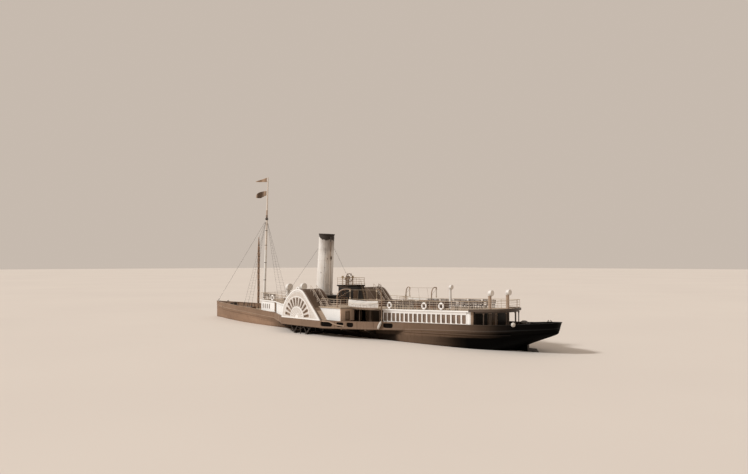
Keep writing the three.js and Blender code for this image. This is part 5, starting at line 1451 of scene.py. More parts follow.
def funnel_material():
    """Cream paint with a black top; its after side, turned from the light, is darkened by soot and by
    painted shade, and the black top reaches lower there as painted shade.
    """
    s = Shader("funnel_paint", specular=0.35)
    z = s.axis("Z")
    # after is 1 on the side facing aft, away from the light; the darkening keyed to it is painted shade as
    # well as soot and stains.
    after = s.node("ShaderNodeMapRange", interpolation_type="SMOOTHSTEP")
    s.put(s.axis("X", s.node("ShaderNodeNewGeometry").outputs["Normal"]), after.inputs["Value"])
    after.inputs["From Min"].default_value = 0.35
    after.inputs["From Max"].default_value = -0.55
    after = after.outputs[0]
    broad = s.noise(0.8, 4, 0.6)
    tone = s.mix(s.ramp(broad, (0.3, 0.0), (0.75, 1.0)), (0.79, 0.77, 0.745), (0.7, 0.665, 0.62))
    streak = s.noise(4.0, 6, 0.6, stretch=(3.5, 3.5, 0.2))
    tone = s.mix(s.ramp(streak, (0.5, 0.0), (0.75, 0.4)), tone, (0.46, 0.37, 0.29))
    mottle = s.noise(2.6, 5, 0.7, stretch=(1.4, 1.4, 0.7))
    shade_and_stain = s.math("MULTIPLY", s.ramp(mottle, (0.46, 0.0), (0.68, 0.5)), after)
    tone = s.mix(shade_and_stain, tone, (0.6, 0.51, 0.42))
    ragged = s.math("SUBTRACT", s.noise(3.2, 5, 0.65, stretch=(1, 1, 0.5)), 0.5)
    soot = s.node("ShaderNodeMapRange", interpolation_type="SMOOTHSTEP")
    s.put(s.math("ADD", z, s.math("MULTIPLY", ragged, 1.6)), soot.inputs["Value"])
    soot.inputs["From Min"].default_value = 9.2 * SCALE
    soot.inputs["From Max"].default_value = 12.0 * SCALE
    soot_and_shade = s.math("MULTIPLY", soot.outputs[0], s.math("MULTIPLY_ADD", after, 0.62, 0.06))
    tone = s.mix(soot_and_shade, tone, (0.12, 0.08, 0.055))
    # Dark marks on the after side: painted shade.
    marks = s.ramp(s.noise(5.5, 3, 0.5, stretch=(1.0, 1.0, 0.6)), (0.66, 0.0), (0.72, 0.75))
    tone = s.mix(s.math("MULTIPLY", marks, after), tone, (0.1, 0.068, 0.048))
    black = s.node("ShaderNodeMapRange", interpolation_type="SMOOTHSTEP")
    # The black top reaches lower and more raggedly on the after side: painted shade.
    drip = s.math("MULTIPLY", ragged, s.math("MULTIPLY_ADD", after, 0.75, 0.12))
    lower = s.math("MULTIPLY", after, 0.55 * SCALE)
    s.put(s.math("ADD", s.math("ADD", z, drip), lower), black.inputs["Value"])
    black.inputs["From Min"].default_value = 12.22 * SCALE
    black.inputs["From Max"].default_value = 12.34 * SCALE
    tone = s.mix(black.outputs[0], tone, (0.03, 0.021, 0.015))
    foot = s.node("ShaderNodeMapRange", interpolation_type="SMOOTHSTEP")
    s.put(s.math("ADD", z, s.math("MULTIPLY", ragged, 0.3)), foot.inputs["Value"])
    foot.inputs["From Min"].default_value = 5.3 * SCALE
    foot.inputs["From Max"].default_value = 4.5 * SCALE
    tone = s.mix(s.math("MULTIPLY", foot.outputs[0], 0.5), tone, (0.36, 0.27, 0.2))
    s.colour(tone)
    s.bump(s.noise(22.0, 4, 0.6), 0.15, 0.003)
    s.rough(streak, 0.45, 0.7)
    return s.material


def build_funnel():
    paint_work = funnel_material()
    axis = Vector((FUNNEL_HEAD[0] - FUNNEL_FOOT[0], 0, FUNNEL_HEAD[1] - FUNNEL_FOOT[1]))
    long = axis.length
    foot = (FUNNEL_FOOT[0], 0, FUNNEL_FOOT[1] + 0.004)

    def radius(share):
        return 1.1 - 0.08 * share

    profile = [(0.98, 0.1), (0.98, 0.02), (1.16, 0.02), (1.16, 0.25), (1.105, 0.28)]
    for share in span(0.05, 0.96, 0.02):
        profile.append((radius(share), share * long))
        if round(share * 100) % 18 == 2:
            profile += [(radius(share) + 0.018, share * long + 0.01),
                        (radius(share) + 0.018, share * long + 0.07), (radius(share), share * long + 0.08)]
    profile += [(1.025, 0.978 * long), (1.075, 0.982 * long), (1.085, 0.99 * long), (1.07, long - 0.006),
                (0.97, long - 0.004), (0.95, 0.97 * long), (0.955, 0.55 * long), (0.96, 0.08 * long)]
    shell = Kit().lathe(profile, foot, axis=axis, sides=72)
    make("funnel_shell", shell, paint_work, slot="cream", replaces=["funnel"], crease=40)

    rivets = Kit()
    for share in (0.2, 0.38, 0.56, 0.74):
        c = Vector(foot) + axis * share
        u = Vector((axis.z, 0, -axis.x)).normalized()
        v = Vector((0, 1, 0))
        for k in range(40):
            t = 2 * math.pi * k / 40
            out = u * math.cos(t) + v * math.sin(t)
            rivets.lathe([(0.0, -0.01), (0.02, -0.01), (0.016, 0.012), (0.0, 0.016)],
                         c + out * radius(share), axis=out, sides=5)
    make("funnel_rivets", rivets, paint_work, slot="cream", crease=45)

    pipe_x = funnel_at(8) - 1.3
    pipe = Kit()
    pipe.tube([(pipe_x, 0.3, 4.52), (pipe_x - 0.12, 0.3, 8.6), (pipe_x - 0.25, 0.3, 12.2)], 0.08, 14)
    pipe.lathe([(0.0, -0.2), (0.1, -0.2), (0.11, -0.1), (0.11, 0.0), (0.0, 0.0)],
               (pipe_x - 0.25, 0.3, 12.2), sides=14)
    for z in (6.05, 8.7, 11.45):
        x = funnel_at(z)
        pipe.beam((x - 1.0, 0.3, z), (pipe_x - 0.1 + (8 - z) * 0.02, 0.3, z), 0.1, 0.03)
        pipe.ring((pipe_x - 0.02 - 0.0325 * (z - 4.5), 0.3, z), (0, 0, 1), 0.09, 0.02, count=14, sides=6)
    make("steam_pipe", pipe, PIPE_PAINT, slot="cream", crease=45)
    whistle = Kit()
    whistle.lathe([(0.0, 0.0), (0.05, 0.0), (0.06, 0.06), (0.13, 0.08), (0.13, 0.14),
                   (0.12, 0.15), (0.12, 0.4),
                   (0.1, 0.44), (0.02, 0.46), (0.02, 0.52), (0.0, 0.53)], (pipe_x - 0.3, 0.3, 9.2), sides=18)
    whistle.tube([(pipe_x - 0.15, 0.3, 9.1), (pipe_x - 0.3, 0.3, 9.12), (pipe_x - 0.3, 0.3, 9.25)], 0.03, 8)
    make("steam_whistle", whistle, DULL_BRASS, crease=40)

    guys = Kit()
    for side in (-1, 1):
        for x_end, y_end, z_end in ((7.9, 3.3, prom(7.9)), (-0.9, 3.2, prom(-0.9))):
            z = 10.8
            x = funnel_at(z)
            guys.tube([(x + (0.75 if x_end > x else -0.75), 0.72 * side, z),
                       (x_end, y_end * side, z_end + 0.02)],
                      0.014, 5)
    make("funnel_guys", guys, IRON, slot="fitting_iron", crease=45)


build_hull()
build_topsides()
build_sponsons()
build_paddle_boxes()
build_wheels()
build_houses()
build_rails()
build_lifebuoys()
build_funnel()


# Ventilators

# Back and throat of a cowl's profile, in units of its mouth's radius, from the neck to the lip.
COWL_BACK = [(0.6, -1.15), (0.72, -0.55), (0.74, 0.0), (0.5, 0.62), (0.0, 0.93), (-0.55, 1.0), (-1.08, 1.0)]
COWL_THROAT = [(-0.6, -1.15), (-0.62, -1.02), (-0.68, -0.93), (-0.78, -0.9), (-0.88, -0.92), (-0.99, -0.96),
               (-1.08, -1.0)]


def cowl(shell, lining, x, y, foot, height, r):
    """A ventilator whose mouth looks aft."""
    z = height - r
    backs = spline(COWL_BACK, 3)
    throats = spline(COWL_THROAT, 3)

    def ring(back, throat, share, sides=26):
        centre = ((back[0] + throat[0]) / 2, (back[1] + throat[1]) / 2)
        arm = ((back[0] - throat[0]) / 2 * share, (back[1] - throat[1]) / 2 * share)
        wide = math.hypot(*arm)
        out = []
        for k in range(sides):
            t = 2 * math.pi * k / sides
            out.append((x + r * (centre[0] + arm[0] * math.cos(t)), y + r * wide * math.sin(t),
                        z + r * (centre[1] + arm[1] * math.cos(t))))
        return out

    outer = [ring(b, t, 1.0) for b, t in zip(backs, throats)]
    inner = [ring(b, t, 0.95) for b, t in zip(backs, throats)]
    shell.loft(outer + list(reversed(inner)), closed=True)
    lining.loft([ring(b, t, 0.93) for b, t in zip(backs[4:], throats[4:])])
    shell.ring((x - 1.08 * r, y, z), (1, 0, 0), r * 0.985, 0.055 * r, count=30, sides=8)
    low = z - 1.15 * r
    tall = low - foot
    shell.lathe([(0.0, 0.0), (0.8 * r, 0.0), (0.8 * r, 0.03), (0.62 * r, 0.05), (0.59 * r, tall * 0.5),
                 (0.59 * r, tall - 0.05), (0.67 * r, tall - 0.045), (0.67 * r, tall + 0.02),
                 (0.58 * r, tall + 0.025), (0.0, tall + 0.02)], (x, y, foot), sides=26)
    for side in (-1, 1):
        shell.tube([(x + 0.1 * r, y + side * 0.72 * r, low),
                    (x + 0.1 * r, y + side * 0.86 * r, low + 0.14 * r),
                    (x + 0.1 * r, y + side * 0.82 * r, low + 0.3 * r)], 0.035 * r + 0.004, 6)


def build_ventilators():
    lining = Kit()
    shells = Kit()
    coaming = Kit()
    z = prom(9.35)
    coaming.box(8.82, 9.88, -1.58, 1.58, z + 0.001, z + 0.27)
    coaming.box(8.8, 9.9, -1.6, 1.6, z + 0.27, z + 0.305)
    for y in span(-1.4, 1.4, 0.47):
        coaming.box(8.8, 8.83, y - 0.02, y + 0.02, z + 0.002, z + 0.27)
        coaming.box(9.87, 9.9, y - 0.02, y + 0.02, z + 0.002, z + 0.27)
    make("stokehold_coaming", coaming, DECK_TRIM, slot="topside_brown",
         replaces=["stokehold_vents"], crease=0, bevel=0.012)
    grating = Kit()
    for y in span(-0.6, 0.6, 0.08):
        grating.box(8.98, 9.72, y - 0.013, y + 0.013, z + 0.306, z + 0.33)
    for x in span(8.98, 9.72, 0.37):
        grating.box(x - 0.02, x + 0.02, -0.62, 0.62, z + 0.304, z + 0.335)
    make("stokehold_grating", grating, IRON, slot="fitting_iron", crease=0)
    for y in (-1.24, 1.24):
        cowl(shells, lining, 9.35, y, z + 0.305, 5.88, 0.47)
    make("stokehold_cowls", shells, CREAM, slot="cream", replaces=["stokehold_vents"], crease=50)
    stern = Kit()
    x, y = VENT_AFT
    cowl(stern, lining, x, y, deck(x) + 0.002, 6.0, 0.29)
    stern.lathe([(0.19, 0.0), (0.27, 0.0), (0.27, 0.025), (0.2, 0.04), (0.18, 0.04)],
                (x, y, prom(x) + 0.002), sides=24)
    pair_up("stern_cowl", stern, TRUNK_CREAM, "cream", "vent_aft", crease=50)
    # The starboard shell is the port one mirrored, so only its lining is kept here.
    cowl(Kit(), lining, x, -y, deck(x) + 0.002, 6.0, 0.29)
    saloon = Kit()
    cowl(saloon, lining, -19.75, 0.0, prom(-19.75) + 0.002, 6.35, 0.24)
    make("saloon_cowl", saloon, CREAM, slot="cream", replaces=["vent_saloon"], crease=50)
    make("cowl_linings", lining, COWL_INSIDE, slot="topside_brown", crease=50)


# Lifeboats and davits

def boat_shape(t):
    """Half-breadth, keel and sheer of a lifeboat at t, from -1 at one end to 1 at the other."""
    return (max(BOAT_HALF * (1 - abs(t) ** 2.6), 0.035), BOAT_KEEL + 0.3 * abs(t) ** 4,
            BOAT_SHEER + 0.16 * t * t)


def boat_x(t):
    return BOAT_X + t * BOAT_LONG


BOAT_STEPS = [math.sin(math.radians(a)) for a in range(-90, 91, 6)]


def build_lifeboats():
    planks = Kit()
    strakes = 9
    rings = []
    for t in BOAT_STEPS:
        wide, keel, sheer = boat_shape(t)
        side = []
        for k in range(strakes):
            for v, proud in ((k / strakes, 0.013), ((k + 0.5) / strakes, 0.008),
                             ((k + 0.97) / strakes, 0.0)):
                reach = wide * math.sqrt(max(1 - (1 - v) ** 3, 0.0))
                side.append((max(reach, 0.03) + proud * min(1, wide / 0.2), keel + v * (sheer - keel)))
        x = boat_x(t)
        rings.append([(x, BOAT_Y + y, z) for y, z in side] + [(x, BOAT_Y - y, z) for y, z in reversed(side)])
    planks.loft(rings)
    pair_up("boat_planking", planks, BOAT_PAINT, "boat_white", "lifeboat", crease=28)

    trim = Kit()
    for side in (-1, 1):
        line = []
        for t in BOAT_STEPS:
            wide, keel, sheer = boat_shape(t)
            line.append([(boat_x(t), BOAT_Y + side * (wide + a), sheer + b)
                         for a, b in ((-0.02, -0.05), (0.03, -0.045), (0.035, 0.0),
                                      (0.03, 0.012), (-0.02, 0.012))])
        trim.loft(line)
    keel_line = []
    for t in BOAT_STEPS:
        keel = boat_shape(t)[1]
        keel_line.append([(boat_x(t), BOAT_Y + a, keel + b)
                          for a, b in ((-0.03, -0.05), (0.03, -0.05), (0.035, 0.03), (-0.035, 0.03))])
    trim.loft(keel_line)
    for end in (-1, 1):
        x = boat_x(end)
        keel, sheer = boat_shape(1)[1:]
        trim.beam((x - end * 0.02, BOAT_Y, keel - 0.04), (x, BOAT_Y, sheer + 0.05), 0.07, 0.07,
                  up=(1, 0, 0))
    keel = boat_shape(0)[1]
    for side in (-1, 1):
        trim.tube([(boat_x(t), BOAT_Y + side * (boat_shape(t)[0] * 0.76), keel + 0.2)
                   for t in span(-0.4, 0.4, 0.1)],
                  0.02, 6)
    pair_up("boat_trim", trim, SPAR, "spar", crease=35, bevel=0.006)

    cover = Kit()
    uppers = []
    lowers = []
    for t in span(-0.975, 0.975, 0.05):
        wide, keel, sheer = boat_shape(t)
        ridge = sheer + 0.31 - 0.1 * t * t
        sag = 0.02 * (0.5 + 0.5 * math.cos(2 * math.pi * t * 4.1))
        hem = 0.16 + 0.03 * math.cos(2 * math.pi * t * 6.5)
        side = [(wide + 0.022 + 0.012 * math.sin(40 * t), sheer - hem), (wide + 0.035, sheer - 0.04),
                (wide + 0.02, sheer + 0.018)]
        for share in (0.8, 0.6, 0.4, 0.2, 0.0):
            rise = (1 - share) ** 0.85
            side.append((wide * share,
                         sheer + 0.02 + (ridge - sheer - 0.02) * rise - sag * math.sin(math.pi * share)))
        x = boat_x(t)
        row = [(x, BOAT_Y + y, z) for y, z in side] + [(x, BOAT_Y - y, z) for y, z in reversed(side[:-1])]
        uppers.append(row)
        lowers.append([(px, BOAT_Y + (py - BOAT_Y) * 0.99, pz - 0.01) for px, py, pz in row])
    cover.loft([up + list(reversed(low)) for up, low in zip(uppers, lowers)])
    covers = pair_up("boat_cover", cover, CANVAS, "sail", crease=50)

    lashing = Kit()
    for t in span(-0.85, 0.85, 0.17):
        wide, keel, sheer = boat_shape(t)
        for side in (-1, 1):
            x = boat_x(t)
            lashing.tube([(x, BOAT_Y + side * (wide + 0.028), sheer - 0.13),
                          (x, BOAT_Y + side * wide * 0.985, keel + 0.6 * (sheer - keel)),
                          (x, BOAT_Y + side * wide * 0.86, keel + 0.3 * (sheer - keel))], 0.009, 5)
    for side in (-1, 1):
        loops = []
        for t in span(-0.84, 0.84, 0.028):
            wide, keel, sheer = boat_shape(t)
            dip = abs(math.sin(math.pi * (t + 0.84) / 0.28))
            loops.append((boat_x(t), BOAT_Y + side * (wide + 0.02), sheer - 0.06 - 0.13 * dip))
        lashing.tube(loops, 0.011, 5)
    pair_up("boat_lines", lashing, ROPE, "rope", crease=50)


# Foot, top of the upright and head of each davit.
DAVITS = [
    ((-7.05, 5.78, 3.5), (-7.05, 5.78, 4.75), (-8.5, 5.0, 5.6)),
    ((-13.05, 4.16, 1.37), (-13.05, 4.16, 4.9), (-13.1, 4.98, 5.7)),
]
# A fall's cleat is reckoned from the promenade deck where the davit's foot stands lower.
CLEAT_LOWEST = 3.55


def davit_line(foot, shank, head):
    """The bent bar: upright from its foot, then over in a curve to its head."""
    line = [(foot[0], foot[1], foot[2] + (shank[2] - foot[2]) * k / 4) for k in range(5)]
    end = math.radians(120)
    for degrees in range(10, 121, 10):
        t = math.radians(degrees)
        share = (1 - math.cos(t)) / (1 - math.cos(end))
        rise = (head[2] + 0.1 - shank[2]) * math.sin(min(t, math.pi / 2))
        drop = 0.24 * (1 - math.sin(t)) if degrees > 90 else 0.0
        line.append((shank[0] + (head[0] - shank[0]) * share, shank[1] + (head[1] - shank[1]) * share,
                     shank[2] + rise - drop))
    return line


def block(kit, at, size=0.1):
    """A rope block hanging at a point, its sheave athwart."""
    x, y, z = at
    kit.loft([[(x + a * size, y + off, z + b * size) for a, b in
               ((0.0, 1.0), (0.62, 0.6), (0.8, 0.0), (0.62, -0.7), (0.0, -1.0), (-0.62, -0.7),
                (-0.8, 0.0), (-0.62, 0.6))]
              for off in (-0.5 * size, 0.5 * size)])
    kit.ring((x, y, z), (0, 1, 0), size * 0.98, 0.012, count=16, sides=5)


def build_davits():
    bars = Kit()
    blocks = Kit()
    falls = Kit()
    for foot, shank, head in DAVITS:
        line = davit_line(foot, shank, head)
        count = len(line)
        bars.tube(line, [0.075 - 0.028 * k / (count - 1) for k in range(count)], 12)
        x, y, z = foot
        bars.lathe([(0.0, 0.0), (0.15, 0.0), (0.15, 0.03), (0.1, 0.05), (0.09, 0.16), (0.0, 0.17)],
                   (x, y, z - 0.005), sides=20)
        bars.ring((x, y, min(shank[2], z + 1.1)), (0, 0, 1), 0.095, 0.025, count=20, sides=8)
        bars.ball(line[-1], 0.075, 14)
        tip = line[-1]
        end = -1 if head[0] < -10 else 1
        boat_top = boat_shape((head[0] - BOAT_X) / BOAT_LONG)[2] + 0.27
        block(blocks, (tip[0], tip[1], tip[2] - 0.16), 0.105)
        block(blocks, (tip[0], tip[1], boat_top + 0.16), 0.095)
        for off in (-0.045, 0.0, 0.045):
            falls.tube([(tip[0] + off, tip[1], tip[2] - 0.2),
                        (tip[0] + off * 0.8, tip[1], boat_top + 0.2)], 0.014, 6)
        cleat_y, cleat_z = foot[1] - 0.06, max(foot[2], CLEAT_LOWEST) + 0.72
        falls.tube([(tip[0] + 0.05, tip[1], tip[2] - 0.2),
                    (shank[0] + 0.06 * end, shank[1] - 0.07, shank[2] - 0.1),
                    (foot[0] + 0.09 * end, cleat_y, cleat_z - 0.02)], 0.014, 6)
        bars.tube([(foot[0] - 0.16, cleat_y, cleat_z), (foot[0] + 0.16, cleat_y, cleat_z)], 0.022, 8)
        blocks.tube([(tip[0], tip[1], boat_top - 0.12), (tip[0], tip[1], boat_top + 0.1)], 0.018, 6)
    fore_head, aft_head = [head for foot, shank, head in DAVITS]
    falls.tube([(x, y, z + 0.02) for x, y, z in (fore_head, aft_head)], 0.018, 6)
    for share in (0.32, 0.66):
        x = fore_head[0] + (aft_head[0] - fore_head[0]) * share
        falls.tube([(x, 5.0, 5.65), (x - 0.05, 5.1, 5.0), (x - 0.02, 5.2, 4.35)], 0.012, 5)
    pair_up("davit_bars", bars, BUFF, "cream", "davits", crease=45)
    pair_up("davit_blocks", blocks, SPAR, "spar", crease=35)
    pair_up("davit_falls", falls, ROPE, "rope", crease=50)


# Bridge

def build_bridge():
    fore, aft, wide = BRIDGE_FORE, BRIDGE_AFT, BRIDGE_HALF
    floor_kit = Kit()
    for k in range(14):
        y0 = -wide + 2 * wide * k / 14
        floor_kit.box(aft + 0.03, fore - 0.03, y0 + 0.004, y0 + 2 * wide / 14 - 0.004,
                      BRIDGE_Z - 0.03, BRIDGE_Z)
    make("bridge_planks", floor_kit, PROM_DECK, slot="deck_wood", crease=0)
    edge = Kit()
    for y0, y1 in ((-wide, -wide + 0.06), (wide - 0.06, wide)):
        edge.box(aft, fore, y0, y1, BRIDGE_Z - 0.12, BRIDGE_Z + 0.045)
    for x0, x1 in ((aft, aft + 0.06), (fore - 0.06, fore)):
        edge.box(x0, x1, -wide + 0.06, wide - 0.06, BRIDGE_Z - 0.12, BRIDGE_Z + 0.045)
    for x in span(aft + 0.3, fore - 0.3, 0.4):
        edge.box(x - 0.03, x + 0.03, -wide + 0.05, wide - 0.05, BRIDGE_Z - 0.115, BRIDGE_Z - 0.032)
    make("bridge_edge", edge, BRIDGE_EDGE_SHADE, slot="topside_brown", replaces=["bridge_platform"],
         crease=0, bevel=0.01)

    trim = Kit()
    panes = Kit()
    face_x = fore - BRIDGE_INSET
    inner = wide - BRIDGE_INSET
    for y in (-0.78, 0.0, 0.78):
        window(trim, panes, (face_x, y, 4.95), (0, -1), (1, 0), 0.24, 0.34, radius=0.05, rim=0.04)
    for side in (-1, 1):
        window(trim, panes, (fore - 1.1, side * inner, 4.95), (-side, 0), (0, side), 0.39, 0.34, radius=0.05,
               rim=0.04)
    low = prom(-3) + 0.02
    for y0, y1 in ((-1.3, -0.42), (-0.36, 0.36), (0.42, 1.3)):
        panel(trim, (face_x, 0, 0), (0, -1), (1, 0), -y1 + 0.03, -y0 - 0.03, low + 0.12, 4.42)
    for side in (-1, 1):
        for x0, x1 in ((-3.7, -3.05), (-2.95, -2.5), (-2.42, -1.9)):
            panel(trim, (0, side * inner, 0), (1, 0), (0, side), x0, x1, low + 0.12, 4.42)
    x0, x1, y0, y1 = aft + 0.13, face_x + 0.02, -inner - 0.02, inner + 0.02
    for z in (low, BRIDGE_Z - 0.24):
        trim.box(x0, x1, y0, y0 + 0.02, z, z + 0.1)
        trim.box(x0, x1, y1 - 0.02, y1, z, z + 0.1)
        trim.box(x1 - 0.02, x1, y0, y1, z, z + 0.1)
    make("bridge_house_trim", trim, TEAK, slot="door_wood", crease=35)
    make("bridge_panes", panes, DARK_GLASS, slot="dark_house", crease=35)

    ladder = Kit()
    foot = prom(aft - 0.7)
    right, left = -1.18, -0.72
    for y in (right, left):
        ladder.beam((aft - 0.85, y, foot + 0.01), (aft + 0.02, y, BRIDGE_Z + 0.02), 0.035, 0.13,
                    up=(-0.3, 0, 1))
    for k in range(8):
        share = (k + 0.7) / 8.4
        x = aft - 0.85 + 0.87 * share
        z = foot + (BRIDGE_Z - foot) * share
        ladder.box(x - 0.09, x + 0.09, right, left, z - 0.015, z + 0.015)
    make("bridge_ladder", ladder, SEAT_WOOD, slot="door_wood", crease=0, bevel=0.006)
    rails = Kit()
    for y in (right - 0.04, left + 0.04):
        rails.tube([(aft - 0.8, y, foot + 0.02), (aft - 0.72, y, foot + 0.95),
                    (aft - 0.02, y, BRIDGE_Z + 0.75)],
                   0.02, 8)
    make("bridge_ladder_rails", rails, BRASS, crease=45)

    gear = Kit()
    for y in (-0.85, 0.85):
        gear.lathe([(0.0, 0.0), (0.16, 0.0), (0.16, 0.03), (0.075, 0.07), (0.06, 0.15),
                    (0.055, 0.78), (0.08, 0.82),
                    (0.08, 0.86), (0.0, 0.87)], (-2.15, y, BRIDGE_Z + 0.002), sides=20)
        gear.lathe([(0.0, -0.07), (0.15, -0.07), (0.17, -0.05), (0.17, 0.05), (0.15, 0.07), (0.0, 0.07)],
                   (-2.15, y, BRIDGE_Z + 1.02), axis=(0, 1, 0), sides=28)
        gear.beam((-2.15, y - 0.09, BRIDGE_Z + 1.02), (-2.29, y - 0.09, BRIDGE_Z + 1.2), 0.016,
                  0.03, up=(0, 1, 0))
        gear.ball((-2.3, y - 0.09, BRIDGE_Z + 1.21), 0.026, 10)
    make("engine_telegraphs", gear, BRASS, crease=35)
    binnacle = Kit()
    base = (-1.98, 0.0, BRIDGE_Z + 0.002)
    binnacle.lathe([(0.0, 0.0), (0.24, 0.0), (0.24, 0.05), (0.19, 0.08), (0.17, 0.5),
                    (0.2, 0.8), (0.22, 0.86), (0.22, 0.9), (0.0, 0.9)], base, sides=8)
    make("binnacle", binnacle, TEAK, slot="door_wood", crease=30)
    hood = Kit()
    hood.lathe([(0.0, 0.0), (0.2, 0.0), (0.205, 0.03), (0.19, 0.12), (0.14, 0.2), (0.06, 0.25), (0.03, 0.27),
                (0.03, 0.31), (0.0, 0.32)], (base[0], base[1], base[2] + 0.9), sides=24)
    for side in (-1, 1):
        hood.ball((base[0], base[1] + side * 0.3, base[2] + 0.78), 0.085, 16)
        hood.tube([(base[0], base[1] + side * 0.16, base[2] + 0.74),
                   (base[0], base[1] + side * 0.26, base[2] + 0.76)],
                  0.02, 6)
    make("binnacle_hood", hood, BRASS, crease=35)


def panel(kit, at, along, out, u0, u1, z0, z1, rim=0.045, proud=0.014):
    """A frame round a sunk panel on a wall's face."""
    us, zs = (u0, u1), (z0, z1)
    for low, high in ((zs[0], zs[0] + rim), (zs[1] - rim, zs[1])):
        kit.slab(at, along, out, us, (-0.004, proud), (low, high))
    for low, high in ((us[0], us[0] + rim), (us[1] - rim, us[1])):
        kit.slab(at, along, out, (low, high), (-0.004, proud), (zs[0] + rim, zs[1] - rim))


def build_helm():
    x, y, z = HELM[0], 0.0, HELM[2]
    wood = Kit()
    brass = Kit()
    rim = Kit()
    radius, wide, deep = 0.52, 0.095, 0.07
    section = [(-0.5, -0.4), (-0.4, -0.5), (0.4, -0.5), (0.5, -0.4), (0.5, 0.4), (0.4, 0.5),
               (-0.4, 0.5), (-0.5, 0.4)]
    ring_points = []
    for k in range(40):
        t = 2 * math.pi * k / 40
        c, s = math.cos(t), math.sin(t)
        ring_points.append([(x + a * deep, (radius + b * wide) * c, z + (radius + b * wide) * s)
                            for a, b in section])
    rim.loft(ring_points, closed=True)
    for radius in (0.497, 0.543):
        brass.ring((x - 0.035, y, z), (1, 0, 0), radius, 0.007, count=40, sides=6)
    for k in range(6):
        t = 2 * math.pi * k / 6
        u = Vector((0, math.cos(t), math.sin(t)))
        profile = [(0.0, 0.06), (0.03, 0.07), (0.026, 0.12), (0.036, 0.17), (0.026, 0.22),
                   (0.03, 0.34), (0.026, 0.45),
                   (0.026, 0.57), (0.02, 0.58), (0.03, 0.63), (0.034, 0.67), (0.026, 0.705), (0.0, 0.72)]
        wood.lathe(profile, (x, y, z), axis=u, sides=12)
    brass.lathe([(0.0, -0.07), (0.085, -0.068), (0.1, -0.04), (0.1, 0.05), (0.085, 0.12), (0.0, 0.12)],
                (x, y, z), axis=(1, 0, 0), sides=24)
    wood.lathe([(0.09, -0.03), (0.15, -0.03), (0.155, -0.015), (0.155, 0.015), (0.15, 0.03), (0.09, 0.03)],
               (x, y, z), axis=(1, 0, 0), sides=24)
    make("helm_spokes", wood, TEAK, body="helm", slot="door_wood", replaces=["helm_wheel"], crease=35)
    make("helm_rim", rim, TEAK, body="helm", slot="door_wood", replaces=["helm_wheel"], crease=30)
    make("helm_brass", brass, BRASS, body="helm", crease=40)
    stand = Kit()
    sx = HELM[0] + 0.16
    base = BRIDGE_Z + 0.003
    stand.box(sx + 0.02, sx + 0.31, -0.2, 0.2, base, base + 0.09)
    stand.box(sx + 0.035, sx + 0.295, -0.175, 0.175, base + 0.09, base + 1.04)
    stand.box(sx + 0.015, sx + 0.315, -0.2, 0.2, base + 1.04, base + 1.1)
    stand.prism([(-0.2, base + 1.1), (0.2, base + 1.1), (0.15, base + 1.15), (-0.15, base + 1.15)],
                "x", sx + 0.02, sx + 0.31)
    for side in (-1, 1):
        panel(stand, (0, side * 0.175, 0), (1, 0), (0, side), sx + 0.06, sx + 0.27, base + 0.14,
              base + 0.98, 0.03)
    panel(stand, (sx + 0.035, 0, 0), (0, 1), (-1, 0), -0.15, 0.15, base + 0.14, base + 0.8, 0.03, 0.006)
    make("helm_pedestal", stand, TEAK_UP, slot="door_wood", replaces=["helm_stand"], crease=0, bevel=0.006)


# Doors

# Node, body, x of the leaf's middle, y of its hinge and of its free edge, the deck under it.
DOOR_ROWS = [
    ("fore_door", 13.36, 1.72, 0.98, deck(13.36)),
    ("saloon_door", SALOON_FORE, 2.07, 1.33, deck(SALOON_FORE)),
    ("veranda_door", -25.56, 0.81, 0.03, deck(-25.56)),
    ("sponson_door", -7.74, 5.1, 4.4, deck(-7.74)),
]


def door_furniture(wood, brass, x, hinge, free, floor_z):
    """Sunk panels, knobs and hinge straps on both faces of a leaf."""
    lo, hi = min(hinge, free) + 0.05, max(hinge, free) - 0.04
    bottom, high = floor_z + 0.1, floor_z + 1.8
    for out in (-1, 1):
        at = (x + out * 0.025, 0, 0)
        for z0, z1 in ((bottom + 0.03, bottom + 0.62), (bottom + 0.72, high - 0.06)):
            panel(wood, at, (0, 1), (out, 0), lo + 0.02, hi - 0.02, z0, z1, 0.05, 0.008)
        knob_y = free + math.copysign(0.09, hinge - free)
        brass.lathe([(0.0, 0.0), (0.03, 0.0), (0.028, 0.006), (0.012, 0.012), (0.012, 0.035), (0.028, 0.045),
                     (0.03, 0.06), (0.018, 0.072), (0.0, 0.074)], (x + out * 0.024, knob_y, bottom + 0.84),
                    axis=(out, 0, 0), sides=14)
    for z in (bottom + 0.25, bottom + 0.85, high - 0.3):
        brass.lathe([(0.0, -0.06), (0.037, -0.06), (0.0385, -0.05), (0.0385, 0.05),
                     (0.037, 0.06), (0.0, 0.06)],
                    (x, hinge, z), sides=12)


def build_doors():
    for name, x, hinge, free, floor_z in DOOR_ROWS:
        for side, sign in (("port", 1), ("starboard", -1)):
            wood, brass = Kit(), Kit()
            door_furniture(wood, brass, x, sign * hinge, sign * free, floor_z)
            body = name + "_" + side
            make(body + "_panels", wood, TEAK_UP, body=body, slot="door_wood", crease=0)
            make(body + "_brass", brass, BRASS, body=body, crease=40)
    wood, brass = Kit(), Kit()
    door_furniture(wood, brass, -3.71, 0.36, -0.36, prom(-3))
    make("bridge_door_panels", wood, TEAK_UP, body="bridge_door", slot="door_wood", crease=0)
    make("bridge_door_brass", brass, BRASS, body="bridge_door", crease=40)


build_ventilators()
build_lifeboats()
build_davits()
build_bridge()
build_helm()
build_doors()


# Mast

